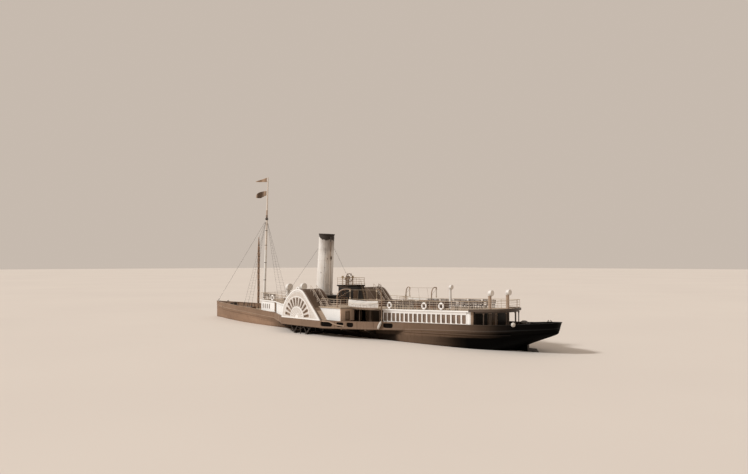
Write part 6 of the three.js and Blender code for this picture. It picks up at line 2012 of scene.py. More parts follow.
def mast_material():
    """White below the hounds, a dark doubling, then brown and paler varnish above."""
    s = Shader("mast_paint", specular=0.35)
    z = s.axis("Z")
    grain = s.noise(4.0, 7, 0.65, stretch=(11, 11, 0.5), twist=0.4)
    white = s.mix(s.ramp(grain, (0.35, 0.0), (0.8, 0.6)), (0.8, 0.785, 0.76), (0.62, 0.57, 0.51))
    dark = s.mix(grain, (0.12, 0.08, 0.055), (0.075, 0.05, 0.035))
    aged = s.mix(grain, (0.82, 0.76, 0.7), (0.68, 0.6, 0.53))
    brown = s.mix(grain, (0.5, 0.37, 0.28), (0.36, 0.26, 0.19))
    pale = s.mix(grain, (0.8, 0.72, 0.64), (0.68, 0.58, 0.5))
    tone = white
    for height, above in ((10.7, aged), (HOUNDS_Z - 0.2, dark), (HOUNDS_Z + 0.28, brown),
                          (HOUNDS_Z + 1.3, pale)):
        place = s.math("ADD", z, s.math("MULTIPLY", grain, 0.01))
        tone = s.mix(s.math("GREATER_THAN", place, height * SCALE), tone, above)
    scuff = s.noise(2.4, 5, 0.7)
    tone = s.mix(s.ramp(scuff, (0.58, 0.0), (0.8, 0.45)), tone,
                 s.mix(1.0, tone, (0.62, 0.55, 0.48), "MULTIPLY"))
    s.colour(tone)
    s.bump(grain, 0.15, 0.002)
    s.rough(scuff, 0.35, 0.6)
    return s.material


def build_mast():
    step = deck(17.3) + 0.002
    rake = Vector((MAST_HEAD[0] - MAST_FOOT[0], 0, MAST_HEAD[1])).normalized()
    foot = Vector((mast_at(step), 0, step))

    def along(z):
        return (z - step) / rake.z

    def lower(z):
        return 0.2 - 0.05 * (z - step) / (HOUNDS_Z - step)

    profile = [(0.0, 0.0)]
    bands = [3.6, 6.2, 8.8, 11.4, 13.6]
    for z in span(step, HOUNDS_Z, 0.55):
        profile.append((lower(z), along(z)))
    spar = Kit().lathe(profile + [(0.0, along(HOUNDS_Z))], foot, axis=rake, sides=28)
    topmast = [(0.0, along(HOUNDS_Z - 0.55)), (0.13, along(HOUNDS_Z - 0.55)), (0.135, along(HOUNDS_Z + 0.4)),
               (0.12, along(HOUNDS_Z + 0.45))]
    for z in span(HOUNDS_Z + 1.0, TRUCK_Z, 0.6):
        topmast.append((0.12 - 0.06 * (z - HOUNDS_Z) / (TRUCK_Z - HOUNDS_Z), along(z)))
    topmast += [(wide, along(TRUCK_Z + up))
                for wide, up in ((0.06, 0.02), (0.1, 0.04), (0.118, 0.07), (0.11, 0.11), (0.0, 0.14))]
    spar.lathe(topmast, foot, axis=rake, sides=24)
    make("mast_spars", spar, mast_material(), slot="spar", replaces=["mast"], crease=40)

    iron_work = Kit()
    for z in bands:
        wide = lower(z)
        iron_work.lathe([(wide - 0.01, along(z)), (wide + 0.012, along(z)), (wide + 0.012, along(z + 0.08)),
                         (wide - 0.01, along(z + 0.08))], foot, axis=rake, sides=28)
    iron_work.lathe([(0.14, along(HOUNDS_Z - 0.14)), (0.235, along(HOUNDS_Z - 0.12)),
                     (0.235, along(HOUNDS_Z + 0.06)),
                     (0.14, along(HOUNDS_Z + 0.09))], foot, axis=rake, sides=28)
    iron_work.lathe([(0.11, along(HOUNDS_Z + 0.36)), (0.16, along(HOUNDS_Z + 0.37)),
                     (0.16, along(HOUNDS_Z + 0.48)),
                     (0.11, along(HOUNDS_Z + 0.49))], foot, axis=rake, sides=28)
    for z in (step + 0.95, step + 1.15):
        wide = lower(z)
        for k in range(8):
            t = 2 * math.pi * (k + 0.5) / 8
            x, y = mast_at(z) + (wide + 0.06) * math.cos(t), (wide + 0.06) * math.sin(t)
            if z < step + 1.0:
                iron_work.tube([(x, y, z - 0.12), (x, y, z + 0.3)], 0.016, 6)
                iron_work.ball((x, y, z + 0.3), 0.024, 8)
        iron_work.ring((mast_at(z), 0, z), rake, wide + 0.06, 0.02, count=30, sides=6)
    make("mast_ironwork", iron_work, IRON, slot="fitting_iron", crease=40)

    coat = Kit().lathe([(0.19, 0.14), (0.215, 0.13), (0.24, 0.06), (0.32, 0.02), (0.34, 0.0),
                        (0.2, 0.0)], foot,
                       sides=32)
    make("mast_coat", coat, CANVAS_DARK, slot="sail", crease=50)


# Rigging

def deadeye(kit, at, size, facing):
    """A round of wood with a groove round its rim and three holes."""
    kit.lathe([(0.0, -0.035), (size * 0.75, -0.032), (size, -0.014), (size * 0.9, 0.0), (size, 0.014),
               (size * 0.75, 0.032), (0.0, 0.035)], at, axis=facing, sides=18)


def build_rigging():
    hounds = Vector((mast_at(15.0), 0, 15.0))
    wires = Kit()
    gear = Kit()
    lanyards = Kit()
    rungs = Kit()
    board = Kit()
    feet = []
    for x in (17.9, 16.7, 15.5):
        foot = Vector((x, flat_half(x) + 0.09, flat_top(x) + 0.085))
        along = (hounds - foot).normalized()
        feet.append((foot, along))
        low, high = foot + along * 0.14, foot + along * 0.62
        side = Vector((1, 0, 0))
        out = along.cross(side).normalized()
        for place in (low, high):
            deadeye(gear, place, 0.085, out)
        for off in (-0.045, 0.0, 0.045):
            lanyards.tube([low + side * off + out * 0.03, high + side * off + out * 0.03], 0.01, 5)
            lanyards.tube([low + side * off - out * 0.03, high + side * off - out * 0.03], 0.01, 5)
        wires.tube([high + along * 0.08, hounds + Vector((0, 0.13, 0))], 0.0125, 6)
        wires.ring(high, out, 0.088, 0.012, count=18, sides=5)
        gear.beam(foot - along * 0.02, low, 0.03, 0.016, up=tuple(out))
    for k in range(26):
        z = 3.4 + 0.4 * k
        line = []
        for foot, along in feet:
            share = (z - foot.z) / along.z
            line.append(foot + along * share)
        if line[0].x - line[2].x > 0.22:
            rungs.tube([line[0], (line[0] + line[1]) / 2 + Vector((0, 0, -0.008)), line[1],
                        (line[1] + line[2]) / 2 + Vector((0, 0, -0.008)), line[2]], 0.006, 5)
    sweep(board, [(x, flat_half(x) + 0.13) for x in (18.1, 17.3, 16.5, 15.9, 15.3)], flat_top,
          plank_section(0.05, 0.1, -0.24, 0.0), left=False)
    pair_up("shroud_wires", wires, TARRED, "rope", "shrouds", crease=50)
    pair_up("deadeyes", gear, IRON, "fitting_iron", crease=40)
    pair_up("lanyards", lanyards, TARRED, "rope", crease=50)
    pair_up("ratlines", rungs, TARRED, "rope", crease=50)
    pair_up("channel_board", board, BROWN_TRIM, "topside_brown", crease=40)

    stay = Kit()
    eye_z = HOUNDS_Z - 0.2
    upper = Vector((mast_at(eye_z) + 0.16, 0, eye_z))
    lower = Vector((30.72, 0, flat_top(30.7) + 0.12))
    stay.tube([upper, lower], 0.014, 6)
    stay.ring((mast_at(eye_z), 0, eye_z), (0, 0, 1), 0.17, 0.02, count=24, sides=6)
    make("forestay_wire", stay, TARRED, slot="rope", replaces=["forestay"], crease=50)
    screw = Kit()
    down = (lower - upper).normalized()
    screw.lathe([(0.0, 0.0), (0.02, 0.0), (0.045, 0.05), (0.045, 0.3), (0.02, 0.35), (0.0, 0.35)],
                lower - down * 0.4, axis=down, sides=10)
    screw.tube([lower - down * 0.08, (30.86, 0, flat_top(30.8) + 0.02)], 0.022, 8)
    screw.box(30.74, 30.96, -0.06, 0.06, flat_top(30.85) + 0.03, flat_top(30.85) + 0.07)
    make("forestay_screw", screw, IRON, slot="fitting_iron", crease=40)

    halyards = Kit()
    bend_z, cleat_z = 15.9, 2.9
    for y in (-0.05, 0.05):
        halyards.tube([(mast_at(TRUCK_Z) - 0.1, y * 0.4, TRUCK_Z), (mast_at(bend_z) - 0.2, y, bend_z),
                       (mast_at(cleat_z) - 0.27, y, cleat_z)], 0.007, 5)
    make("flag_halyards", halyards, ROPE, slot="rope", crease=50)


# Flags

# Foot and head of each hoist.
PENNANT_HOIST = (20.92, 21.56)
HOUSE_FLAG_HOIST = (18.92, 19.58)

FLAG_TURN = math.radians(45)


def flag_sheet(fly, outline, waves):
    """A flag's cloth: two faces over a grid that waves along its fly; outline is (share, low, high)."""
    turn = Vector((math.cos(FLAG_TURN), math.sin(FLAG_TURN), 0))
    aside = Vector((-turn.y, turn.x, 0))
    origin = Vector((mast_at(outline[0][1]), 0, 0)) + turn * 0.16
    edges = fair(outline, 1), fair(outline, 2)
    across, up = 36, 12
    grid = []
    for i in range(across + 1):
        u = i / across
        low, high = edges[0](u), edges[1](u)
        column = []
        for j in range(up + 1):
            v = j / up
            z = low + (high - low) * v
            swing = waves * min(1.0, u * 2.5) * math.sin(2 * math.pi * (1.35 * u + 0.16 * v) + 0.4)
            ripple = 0.25 * waves * math.sin(2 * math.pi * (3.1 * u - 0.4 * v)) * u
            column.append(origin + turn * (fly * u * 0.99) + aside * (swing + ripple) + Vector((0, 0, z)))
        grid.append(column)
    kit = Kit()
    half = aside * 0.004
    points, uvs = [], []
    for sign in (1, -1):
        for i, column in enumerate(grid):
            for j, p in enumerate(column):
                points.append(p + half * sign)
                uvs.append((i / across, j / up))
    row = up + 1
    layer = (across + 1) * row
    faces = []
    for i in range(across):
        for j in range(up):
            a = i * row + j
            faces.append((a, a + row, a + row + 1, a + 1))
            faces.append((layer + a + 1, layer + a + row + 1, layer + a + row, layer + a))
    rim = ([i * row for i in range(across + 1)] + [across * row + j for j in range(1, row)]
           + [i * row + up for i in range(across - 1, -1, -1)] + [j for j in range(up - 1, 0, -1)])
    for a, b in zip(rim, rim[1:] + rim[:1]):
        faces.append((a, layer + a, layer + b, b))
    return kit.add(points, faces, uvs)


def flag_toggles(hoist_low, hoist_high):
    """The short lines and toggles that hold a flag's hoist to the halyard."""
    turn = Vector((math.cos(FLAG_TURN), math.sin(FLAG_TURN), 0))
    mast_point = Vector((mast_at(hoist_low), 0, 0))
    kit = Kit()
    for z in (hoist_low + 0.08, hoist_high - 0.1):
        lift = Vector((0, 0, z))
        kit.tube([mast_point + turn * 0.07 + lift, mast_point + turn * 0.18 + lift], 0.012, 6)
        kit.ball(mast_point + turn * 0.12 + lift, 0.026, 8)
    kit.tube([mast_point + turn * 0.162 + Vector((0, 0, z)) for z in (hoist_low, hoist_high)], 0.012, 6)
    return kit


def striped_bunting():
    """Bunting with a dark middle between two brown ends, sewn with seams."""
    s = Shader("house_bunting", roughness=0.9, specular=0.15)
    u = s.axis("X", s.run)
    tone = s.ramp(u, (0.0, (0.4, 0.29, 0.21)), (0.2, (0.4, 0.29, 0.21)), (0.27, (0.16, 0.112, 0.08)),
                  (0.88, (0.13, 0.091, 0.065)), (0.93, (0.34, 0.24, 0.17)), (1.0, (0.4, 0.29, 0.21)))
    weather = s.noise(7.0, 5, 0.65)
    tone = s.mix(s.ramp(weather, (0.4, 0.0), (0.75, 0.5)), tone,
                 s.mix(1.0, tone, (0.7, 0.66, 0.62), "MULTIPLY"))
    s.colour(tone)
    threads = s.noise(220.0, 2, 0.5, stretch=(1.0, 1.0, 3.0))
    s.bump(threads, 0.15, 0.001)
    s.surface.inputs["Sheen Weight"].default_value = 0.15
    return s.material


def build_flags():
    pennant_edges = [(0.0, *PENNANT_HOIST), (0.5, 20.92, 21.27), (1.0, 20.93, 21.0)]
    house_edges = [(0.0, *HOUSE_FLAG_HOIST), (0.3, 18.7, 19.53), (0.62, 18.49, 19.4), (0.85, 18.5, 19.2),
                   (1.0, 18.58, 18.98)]
    pennant = make("pennant_cloth", flag_sheet(1.72, pennant_edges, 0.07), BUNTING, slot="flag_cloth",
                   replaces=["pennant"], crease=0)
    house = make("house_flag_cloth", flag_sheet(1.58, house_edges, 0.1), striped_bunting(),
                 slot="flag_cloth", replaces=["house_flag"], crease=0)
    for piece in (pennant, house):
        for face in piece.data.polygons:
            face.use_smooth = True
    rope_ends = Kit()
    for low, high in (PENNANT_HOIST, HOUSE_FLAG_HOIST):
        part = flag_toggles(low, high)
        rope_ends.add(part.points, part.faces, part.uvs)
    make("flag_toggles", rope_ends, ROPE, slot="rope", crease=50)


# Furled sail

SAIL_X = 18.8
SAIL_FOLDS = 9
SAIL_FOOT, SAIL_HEAD = 1.95, 12.7
SAIL_NECK = 10.55
GASKET_STEP = 0.86


def sail_radius(z):
    """Outer radius of the bundle: full below, drawn in at each gasket and towards the head."""
    if z > SAIL_NECK:
        wide = 0.185 - 0.125 * (z - SAIL_NECK) / (SAIL_HEAD - SAIL_NECK)
    else:
        wide = 0.185 - 0.05 * max(0.0, (2.5 - z) / 0.55)
    bulge = 0.5 + 0.5 * math.cos(2 * math.pi * (z - SAIL_FOOT) / GASKET_STEP)
    return wide * (1 - 0.16 * bulge ** 4)


def sail_middle(z):
    """x of the bundle's middle, which leans a little aft towards its head."""
    return SAIL_X - 0.02 * (z - SAIL_FOOT) / (SAIL_HEAD - SAIL_FOOT)


def build_furled_sail():
    """Canvas gathered in deep folds up and down, and lashed with gaskets."""
    per_fold = 8
    sides = SAIL_FOLDS * per_fold
    outer, inner = [], []
    for z in span(SAIL_FOOT, SAIL_HEAD, 0.1):
        wide = sail_radius(z)
        middle = sail_middle(z)
        for rings, shrink in ((outer, 0.0), (inner, 0.012)):
            ring = []
            for k in range(sides):
                t = 2 * math.pi * k / sides
                twist = 0.12 * math.sin(0.9 * z) + 0.03 * z
                fold = 0.5 + 0.5 * math.cos(SAIL_FOLDS * t)
                uneven = 1 + 0.06 * math.sin(3 * t + 1.7 * z) + 0.04 * math.sin(5 * t - 2.3 * z)
                r = (wide * (0.4 + 0.6 * fold ** 0.8) * uneven - shrink) * (0.97 if shrink else 1.0)
                r = min(max(r, 0.02), 0.2 if z < 10.6 else max(wide * 1.05, 0.03))
                ring.append((middle + r * math.cos(t + twist), r * math.sin(t + twist), z))
            rings.append(ring)
    cloth_kit = Kit().loft(outer + list(reversed(inner)), closed=True)
    bundle = make("sail_canvas", cloth_kit, SAILCLOTH, slot="sail", replaces=["furled_sail"], crease=70)
    lashings = Kit()
    z = SAIL_FOOT
    while z < SAIL_HEAD - 0.3:
        wide = sail_radius(z) * 0.97
        centre = sail_middle(z)
        for turn in range(3):
            lashings.ring((centre, 0, z + 0.03 * turn), (0.05, 0.02, 1), wide, 0.013, count=30, sides=6)
        lashings.ball((centre - wide, 0.02, z + 0.03), 0.03, 8)
        z += GASKET_STEP
    lashings.tube([(SAIL_X - 0.05, 0, SAIL_HEAD - 0.12), (mast_at(15.1) + 0.17, 0, 15.05)], 0.012, 6)
    lashings.tube([(SAIL_X, 0, deck(SAIL_X) + 0.02), (SAIL_X, 0, SAIL_FOOT + 0.15)], 0.018, 8)
    lashings.tube([(SAIL_X, 0, SAIL_FOOT), (SAIL_X - 0.03, 0, SAIL_HEAD - 0.05)], 0.02, 8)
    make("sail_lines", lashings, TARRED, slot="rope", crease=50)
    eye = Kit()
    eye.lathe([(0.0, 0.0), (0.09, 0.0), (0.09, 0.015), (0.04, 0.03), (0.03, 0.07), (0.0, 0.07)],
              (SAIL_X, 0, deck(SAIL_X) + 0.002), sides=18)
    make("sail_eyebolt", eye, IRON, slot="fitting_iron", crease=40)


build_mast()
build_rigging()
build_flags()
build_furled_sail()


# Skylights

def build_skylight(name, fore, aft, wide, rise, sashes):
    """Hinged sashes with panes and guard bars over the CAD's boarded body."""
    base = max(prom(fore), prom(aft))
    eave, ridge = base + rise, base + rise + 0.3
    wood, panes, bars = Kit(), Kit(), Kit()
    low = min(prom(fore), prom(aft))
    for side in (-1, 1):
        y = wide * side
        lean = Vector((0, 0.3 * side, wide)).normalized()
        for k in range(sashes):
            x0 = aft + 0.1 + (fore - aft - 0.2) * k / sashes + 0.03
            x1 = aft + 0.1 + (fore - aft - 0.2) * (k + 1) / sashes - 0.03

            def place(x, share):
                return Vector((x, y * (1 - share), eave + 0.3 * share)) + lean * 0.018

            for share in (0.07, 0.92):
                wood.beam(place(x0, share), place(x1, share), 0.075, 0.04, up=lean)
            for x in (x0 + 0.035, x1 - 0.035):
                wood.beam(place(x, 0.07), place(x, 0.92), 0.07, 0.04, up=lean)
            panes.beam(place((x0 + x1) / 2, 0.1), place((x0 + x1) / 2, 0.89), x1 - x0 - 0.12, 0.02, up=lean)
            for i in range(1, 5):
                share = 0.07 + 0.17 * i
                bars.tube([place(x0 + 0.05, share) + lean * 0.03,
                           place(x1 - 0.05, share) + lean * 0.03], 0.009, 6)
            for x in (x0 + 0.12, x1 - 0.12):
                bars.beam(place(x, 0.9) + lean * 0.02, place(x, 1.0) + lean * 0.02, 0.04, 0.012, up=lean)
        wood.beam((aft - 0.02, y + 0.03 * side, eave - 0.02),
                  (fore + 0.02, y + 0.03 * side, eave - 0.02), 0.07, 0.05)
        wood.beam((aft, y + 0.012 * side, low + 0.07), (fore, y + 0.012 * side, low + 0.07), 0.03, 0.1)
        for k in range(sashes):
            x0 = aft + 0.1 + (fore - aft - 0.2) * k / sashes
            x1 = aft + 0.1 + (fore - aft - 0.2) * (k + 1) / sashes
            panel(wood, ((x0 + x1) / 2, y, 0), (1, 0), (0, side), (x0 - x1) / 2 + 0.05, (x1 - x0) / 2 - 0.05,
                  low + 0.15, eave - 0.07, 0.04, 0.012)
    wood.tube([(aft - 0.02, 0, ridge + 0.012), (fore + 0.02, 0, ridge + 0.012)], 0.045, 10)
    for x, out in ((fore, 1), (aft, -1)):
        wood.beam((x + 0.01 * out, -wide, eave - 0.02), (x + 0.01 * out, wide, eave - 0.02), 0.03, 0.05)
        for side in (-1, 1):
            wood.beam((x + 0.01 * out, side * wide, eave + 0.01),
                      (x + 0.01 * out, 0, ridge + 0.01), 0.03, 0.05)
            wood.beam((x + 0.008 * out, side * (wide - 0.04), low + 0.03),
                      (x + 0.008 * out, side * (wide - 0.04), eave), 0.08, 0.02, up=(1, 0, 0))
    make(name + "_sashes", wood, TEAK, slot="door_wood", crease=35, bevel=0.004)
    make(name + "_panes", panes, GLASS, slot="dark_house", crease=0)
    make(name + "_bars", bars, BRASS, slot="fitting_iron", crease=45)


# Seats

def bench(wood, legs, at, along, out, long, floor, back=True):
    """A slatted seat: along its length, facing out."""
    feet = span(-long / 2 + 0.12, long / 2 - 0.12, 1.3)
    for k in range(4):
        wood.slab(at, along, out, (-long / 2, long / 2),
                  (-0.2 + 0.105 * k, -0.115 + 0.105 * k), (0.41, 0.44))
    if back:
        for z, by in ((0.56, -0.235), (0.68, -0.25), (0.8, -0.265)):
            wood.slab(at, along, out, (-long / 2, long / 2), (by, by + 0.025), (z, z + 0.085))
    for u in feet:
        for k in (-0.17, 0.17):
            legs.slab(at, along, out, (u - 0.02, u + 0.02), (k - 0.02, k + 0.02), (floor, 0.4))
        legs.slab(at, along, out, (u - 0.02, u + 0.02), (-0.21, 0.22), (0.375, 0.41))
        if back:
            legs.slab(at, along, out, (u - 0.018, u + 0.018), (-0.245, -0.2), (0.38, 0.64))
            legs.slab(at, along, out, (u - 0.018, u + 0.018), (-0.265, -0.228), (0.62, 0.87))


def build_seats():
    wood, legs = Kit(), Kit()
    for fore, aft in ((-10.1, -14.3), (-20.9, -24.4)):
        middle, long = (fore + aft) / 2, fore - aft
        for part in (-1, 1):
            x = middle + part * long / 4
            for side in (-1, 1):
                bench(wood, legs, (x, 0.27 * side, prom(x)), (1, 0), (0, side), long / 2 - 0.1, 0.0)
    x = -13.9
    while x > -24.6:
        along, inward = wall_direction(x)
        for side in (-1, 1):
            at = (x, (linear(AFT_RAIL_HALF, x) - 0.4) * side, prom(x))
            bench(wood, legs, at, (along[0], along[1] * side), (-inward[0], -inward[1] * side), 1.9, 0.0)
        x -= 2.15
    for x in (10.9, 12.5):
        for side in (-1, 1):
            bench(wood, legs, (x, 2.55 * side, prom(x)), (1, 0), (0, -side), 1.45, 0.0)
    for x in (5.75, 7.45):
        for side in (-1, 1):
            bench(wood, legs, (x, 0.27 * side, prom(x)), (1, 0), (0, side), 1.5, 0.0)
    make("promenade_seats", wood, SEAT_WOOD, slot="door_wood", crease=0, bevel=0.004)
    make("seat_legs", legs, IRON, slot="fitting_iron", crease=0)
    curved, feet = Kit(), Kit()
    run = [(x, half(x) * 0.8) for x in (-29.6, -30.6, -31.6, -32.2)]
    for k in range(4):
        sweep(curved, spaced([(x, y - 0.1 * k) for x, y in run], 0.5), deck,
              [(0.0, 0.4), (0.08, 0.4), (0.08, 0.43), (0.0, 0.43)], left=False)
    for x, y in run:
        feet.box(x - 0.02, x + 0.02, y - 0.32, y + 0.04, deck(x), deck(x) + 0.4)
    make("stern_seat", curved.mirrored(), SEAT_WOOD, slot="door_wood", crease=0)
    make("stern_seat_legs", feet.mirrored(), IRON, slot="fitting_iron", crease=0)


# Casings

def build_casings():
    trim = Kit()
    low, high = prom(3) + 0.002, FUNNEL_FOOT[1]
    for side in (-1, 1):
        at = (2.7, 1.45 * side, 0)
        for k in range(4):
            u = -2.1 + 1.08 * k
            panel(trim, at, (1, 0), (0, side), u, u + 0.96, low + 0.05, high - 0.1, 0.06, 0.016)
            for i in range(5):
                z = low + 0.16 + 0.1 * i
                if z < high - 0.2:
                    trim.slab(at, (1, 0), (0, side), (u + 0.08, u + 0.88), (-0.004, 0.012), (z, z + 0.05))
    for x, out in ((0.5, -1), (4.9, 1)):
        for k in range(3):
            v = -1.38 + 0.94 * k
            panel(trim, (x, 0, 0), (0, 1), (out, 0), v, v + 0.86, low + 0.05, high - 0.1, 0.06, 0.016)
    trim.box(0.46, 4.94, -1.49, 1.49, high - 0.07, high - 0.015)
    make("funnel_casing_trim", trim, DARK_HOUSE, slot="dark_house", crease=0, bevel=0.004)

    panels = Kit()
    for side in (-1, 1):
        y = CASING_HALF * side
        for x in span(-8.75, 7.05, 1.0):
            if abs(x - 4.2) < 0.95 or abs(x + 7.9) < 0.95:
                continue
            floor = deck(x) + 0.02
            for low, high in ((0.1, 0.85), (0.95, 1.75)):
                panel(panels, (x, y, 0), (1, 0), (0, side), -0.42, 0.42, floor + low,
                      floor + high, 0.06, 0.018)
        for x in (4.2, -7.9):
            top_z = deck(x) + 1.98
            for edge in (-0.42, 0.42):
                panels.box(x + edge - 0.05, x + edge + 0.05, y - 0.012, y + 0.042 * side,
                           deck(x) + 0.01, top_z)
            panels.box(x - 0.47, x + 0.47, y - 0.012, y + 0.042 * side, top_z - 0.02, top_z + 0.09)
    make("engine_casing_panels", panels, CASING, slot="dark_house", crease=0)


# Foredeck and stern gear

def bitts(kit, x, y, gap=0.5, tall=0.55):
    """Two iron posts on one base plate."""
    z = deck(x) + 0.001
    kit.box(x - gap / 2 - 0.16, x + gap / 2 + 0.16, y - 0.15, y + 0.15, z, z + 0.04)
    for at in (x - gap / 2, x + gap / 2):
        kit.lathe([(0.0, 0.0), (0.13, 0.0), (0.105, 0.06), (0.09, 0.12), (0.09, tall - 0.12),
                   (0.12, tall - 0.09),
                   (0.125, tall - 0.03), (0.09, tall), (0.0, tall + 0.01)], (at, y, z + 0.03), sides=20)


def fairlead(kit, x, side):
    y, z = (flat_half(x) + 0.01) * side, flat_top(x) + 0.04
    kit.box(x - 0.24, x + 0.24, y - 0.06, y + 0.06, z, z + 0.03)
    for end in (-1, 1):
        kit.tube([(x + 0.2 * end, y, z + 0.01), (x + 0.19 * end, y, z + 0.1), (x + 0.1 * end, y, z + 0.15),
                  (x + 0.05 * end, y, z + 0.12)], [0.045, 0.04, 0.032, 0.018], 8)


def build_foredeck():
    gear = Kit()
    for side in (-1, 1):
        bitts(gear, 27.5, 0.62 * side, 0.44)
        bitts(gear, 19.4, 2.35 * side, 0.5)
        bitts(gear, -30.3, 1.2 * side, 0.44, 0.42)
        fairlead(gear, 28.9, side)
        fairlead(gear, 20.3, side)
        fairlead(gear, -31.3, side)
    make("bitts", gear, IRON, slot="fitting_iron", crease=40)

    chain = Kit()
    for side in (-1, 1):
        start = Vector((25.75, 0.12 * side, deck(25.8) + 0.05))
        end = Vector((29.2, 0.36 * side, deck(29.2) + 0.05))
        count = 46
        for k in range(count):
            at = start + (end - start) * (k + 0.5) / count
            turn = (0, 0, 1) if k % 2 else (0, 1, 0)
            chain.ring(at, turn, 0.034, 0.013, count=10, sides=5)
        chain.ring(end + Vector((0.02, 0, -0.02)), (0.3, 0, 1), 0.1, 0.035, count=22, sides=8)
    make("anchor_cable", chain, IRON, slot="fitting_iron", crease=50)

    anchor = Kit()
    x, y, z = 26.3, 0.98, deck(26.9) + 0.09
    anchor.tube([(x - 0.75, y - 0.2, z), (x + 0.75, y, z)], [0.05, 0.045], 10)
    anchor.ring((x - 0.83, y - 0.21, z), (0, 0, 1), 0.08, 0.02, count=20, sides=8)
    anchor.tube([(x - 0.62, y - 0.2, z - 0.05), (x - 0.62, y - 0.2, z + 0.5)], 0.026, 8)
    anchor.ball((x - 0.62, y - 0.2, z + 0.5), 0.05, 10)
    arms = [(x + 0.72 - 0.42 * (1 - math.cos(t)), y + 0.58 * math.sin(t), z)
            for t in span(-1.15, 1.15, 0.23)]
    anchor.tube(arms, [0.03 + 0.016 * (1 - abs(k - 5) / 5) for k in range(len(arms))], 8)
    for end in (arms[0], arms[-1]):
        anchor.box(end[0] - 0.13, end[0] + 0.08, end[1] - 0.09, end[1] + 0.09, z - 0.02, z + 0.02)
    make("anchor", anchor, IRON, slot="fitting_iron", crease=45)

    hatch, bars = Kit(), Kit()
    fore, aft, wide = 22.5, 20.7, 0.8
    z = deck(aft)
    hatch.box(aft, fore, -wide, wide, deck(aft) - 0.02, z + 0.36)
    for k in range(9):
        y = -wide - 0.03 + (2 * wide + 0.06) * k / 9
        hatch.box(aft - 0.03, fore + 0.03, y + 0.006, y + (2 * wide + 0.06) / 9 - 0.006, z + 0.36, z + 0.405)
    for x in (aft + 0.35, (fore + aft) / 2, fore - 0.35):
        bars.box(x - 0.035, x + 0.035, -wide - 0.045, wide + 0.045, z + 0.403, z + 0.415)
        for side in (-1, 1):
            bars.box(x - 0.035, x + 0.035, side * (wide + 0.02) - 0.024, side * (wide + 0.02) + 0.024,
                     z + 0.2, z + 0.412)
    make("fore_hatch", hatch, TEAK, slot="door_wood", crease=0, bevel=0.006)
    make("hatch_bars", bars, IRON, slot="fitting_iron", crease=0)

    vent = Kit()
    x, y = -28.9, -0.9
    tall = 2.95 - deck(x)
    vent.lathe([(0.0, 0.0), (0.19, 0.0), (0.19, 0.03), (0.13, 0.06), (0.125, tall - 0.34),
                (0.16, tall - 0.31),
                (0.17, tall - 0.3), (0.335, tall - 0.26), (0.36, tall - 0.2), (0.33, tall - 0.1),
                (0.2, tall - 0.02), (0.0, tall)], (x, y, deck(x) + 0.001), sides=32)
    make("mushroom_ventilator", vent, IRON, slot="fitting_iron", crease=40)

    bell = Kit()
    x, z = 13.43, 3.02
    bell.lathe([(0.0, 0.24), (0.03, 0.235), (0.07, 0.21), (0.08, 0.13), (0.1, 0.06),
                (0.135, 0.0), (0.125, 0.0), (0.09, 0.07), (0.0, 0.18)], (x + 0.2, 0.0, z - 0.14), sides=28)
    bell.tube([(x - 0.05, 0, z + 0.16), (x + 0.1, 0, z + 0.2), (x + 0.2, 0, z + 0.16),
               (x + 0.2, 0, z + 0.08)], 0.018, 8)
    bell.ball((x + 0.2, 0, z - 0.14), 0.03, 10)
    make("ship_bell", bell, BRASS, slot="fitting_iron", crease=45)


def build_capstan():
    x, z = 25.4, deck(25.76) + 0.003
    iron_work = Kit()
    iron_work.lathe([(0.0, 0.002), (0.355, 0.002), (0.36, 0.02), (0.36, 0.07), (0.345, 0.082),
                     (0.26, 0.1), (0.235, 0.16),
                     (0.19, 0.3), (0.185, 0.42), (0.2, 0.52), (0.235, 0.6), (0.3, 0.65), (0.312, 0.67),
                     (0.312, 0.83), (0.29, 0.855), (0.15, 0.872), (0.06, 0.88), (0.0, 0.88)],
                    (x, 0, z), sides=48)
    for k in range(6):
        t = 2 * math.pi * k / 6
        rib = [(0.235, 0.15), (0.2, 0.3), (0.195, 0.42), (0.21, 0.52), (0.245, 0.6)]
        for (r0, z0), (r1, z1) in zip(rib, rib[1:]):
            iron_work.beam((x + r0 * math.cos(t), r0 * math.sin(t), z + z0),
                           (x + r1 * math.cos(t), r1 * math.sin(t), z + z1 + 0.01), 0.05, 0.05,
                           up=(math.cos(t), math.sin(t), 0))
    for k in range(24):
        t = 2 * math.pi * k / 24
        iron_work.slab((x, 0, z), (-math.sin(t), math.cos(t)), (math.cos(t), math.sin(t)),
                       (-0.02, 0.02), (0.32, 0.354), (0.07, 0.105))
    make("capstan_barrel", iron_work, IRON, body="capstan", slot="fitting_iron",
         replaces=["capstan"], crease=40)
    sockets = Kit()
    for k in range(10):
        t = 2 * math.pi * (k + 0.5) / 10
        sockets.slab((x, 0, z), (-math.sin(t), math.cos(t)), (math.cos(t), math.sin(t)),
                     (-0.035, 0.035), (0.28, 0.316), (0.715, 0.785))
    sockets.lathe([(0.0, 0.0), (0.055, 0.0), (0.05, 0.012), (0.0, 0.014)], (x, 0, z + 0.872), sides=24)
    make("capstan_sockets", sockets, BRASS, body="capstan", slot="fitting_iron", crease=40)


def build_rudder_straps():
    straps = Kit()
    for z, long in ((-1.45, 1.3), (-0.75, 1.4), (-0.05, 1.1)):
        for side in (-1, 1):
            straps.beam((-30.05, side * 0.075, z), (-30.0 - long, side * 0.075, z), 0.02, 0.14)
        straps.lathe([(0.0, -0.08), (0.12, -0.08), (0.12, 0.08), (0.0, 0.08)], (-30.0, 0, z), sides=20)
    make("rudder_straps", straps, IRON, body="rudder", slot="fitting_iron", crease=40)


# Deck margins, the sponsons' ends and the veranda

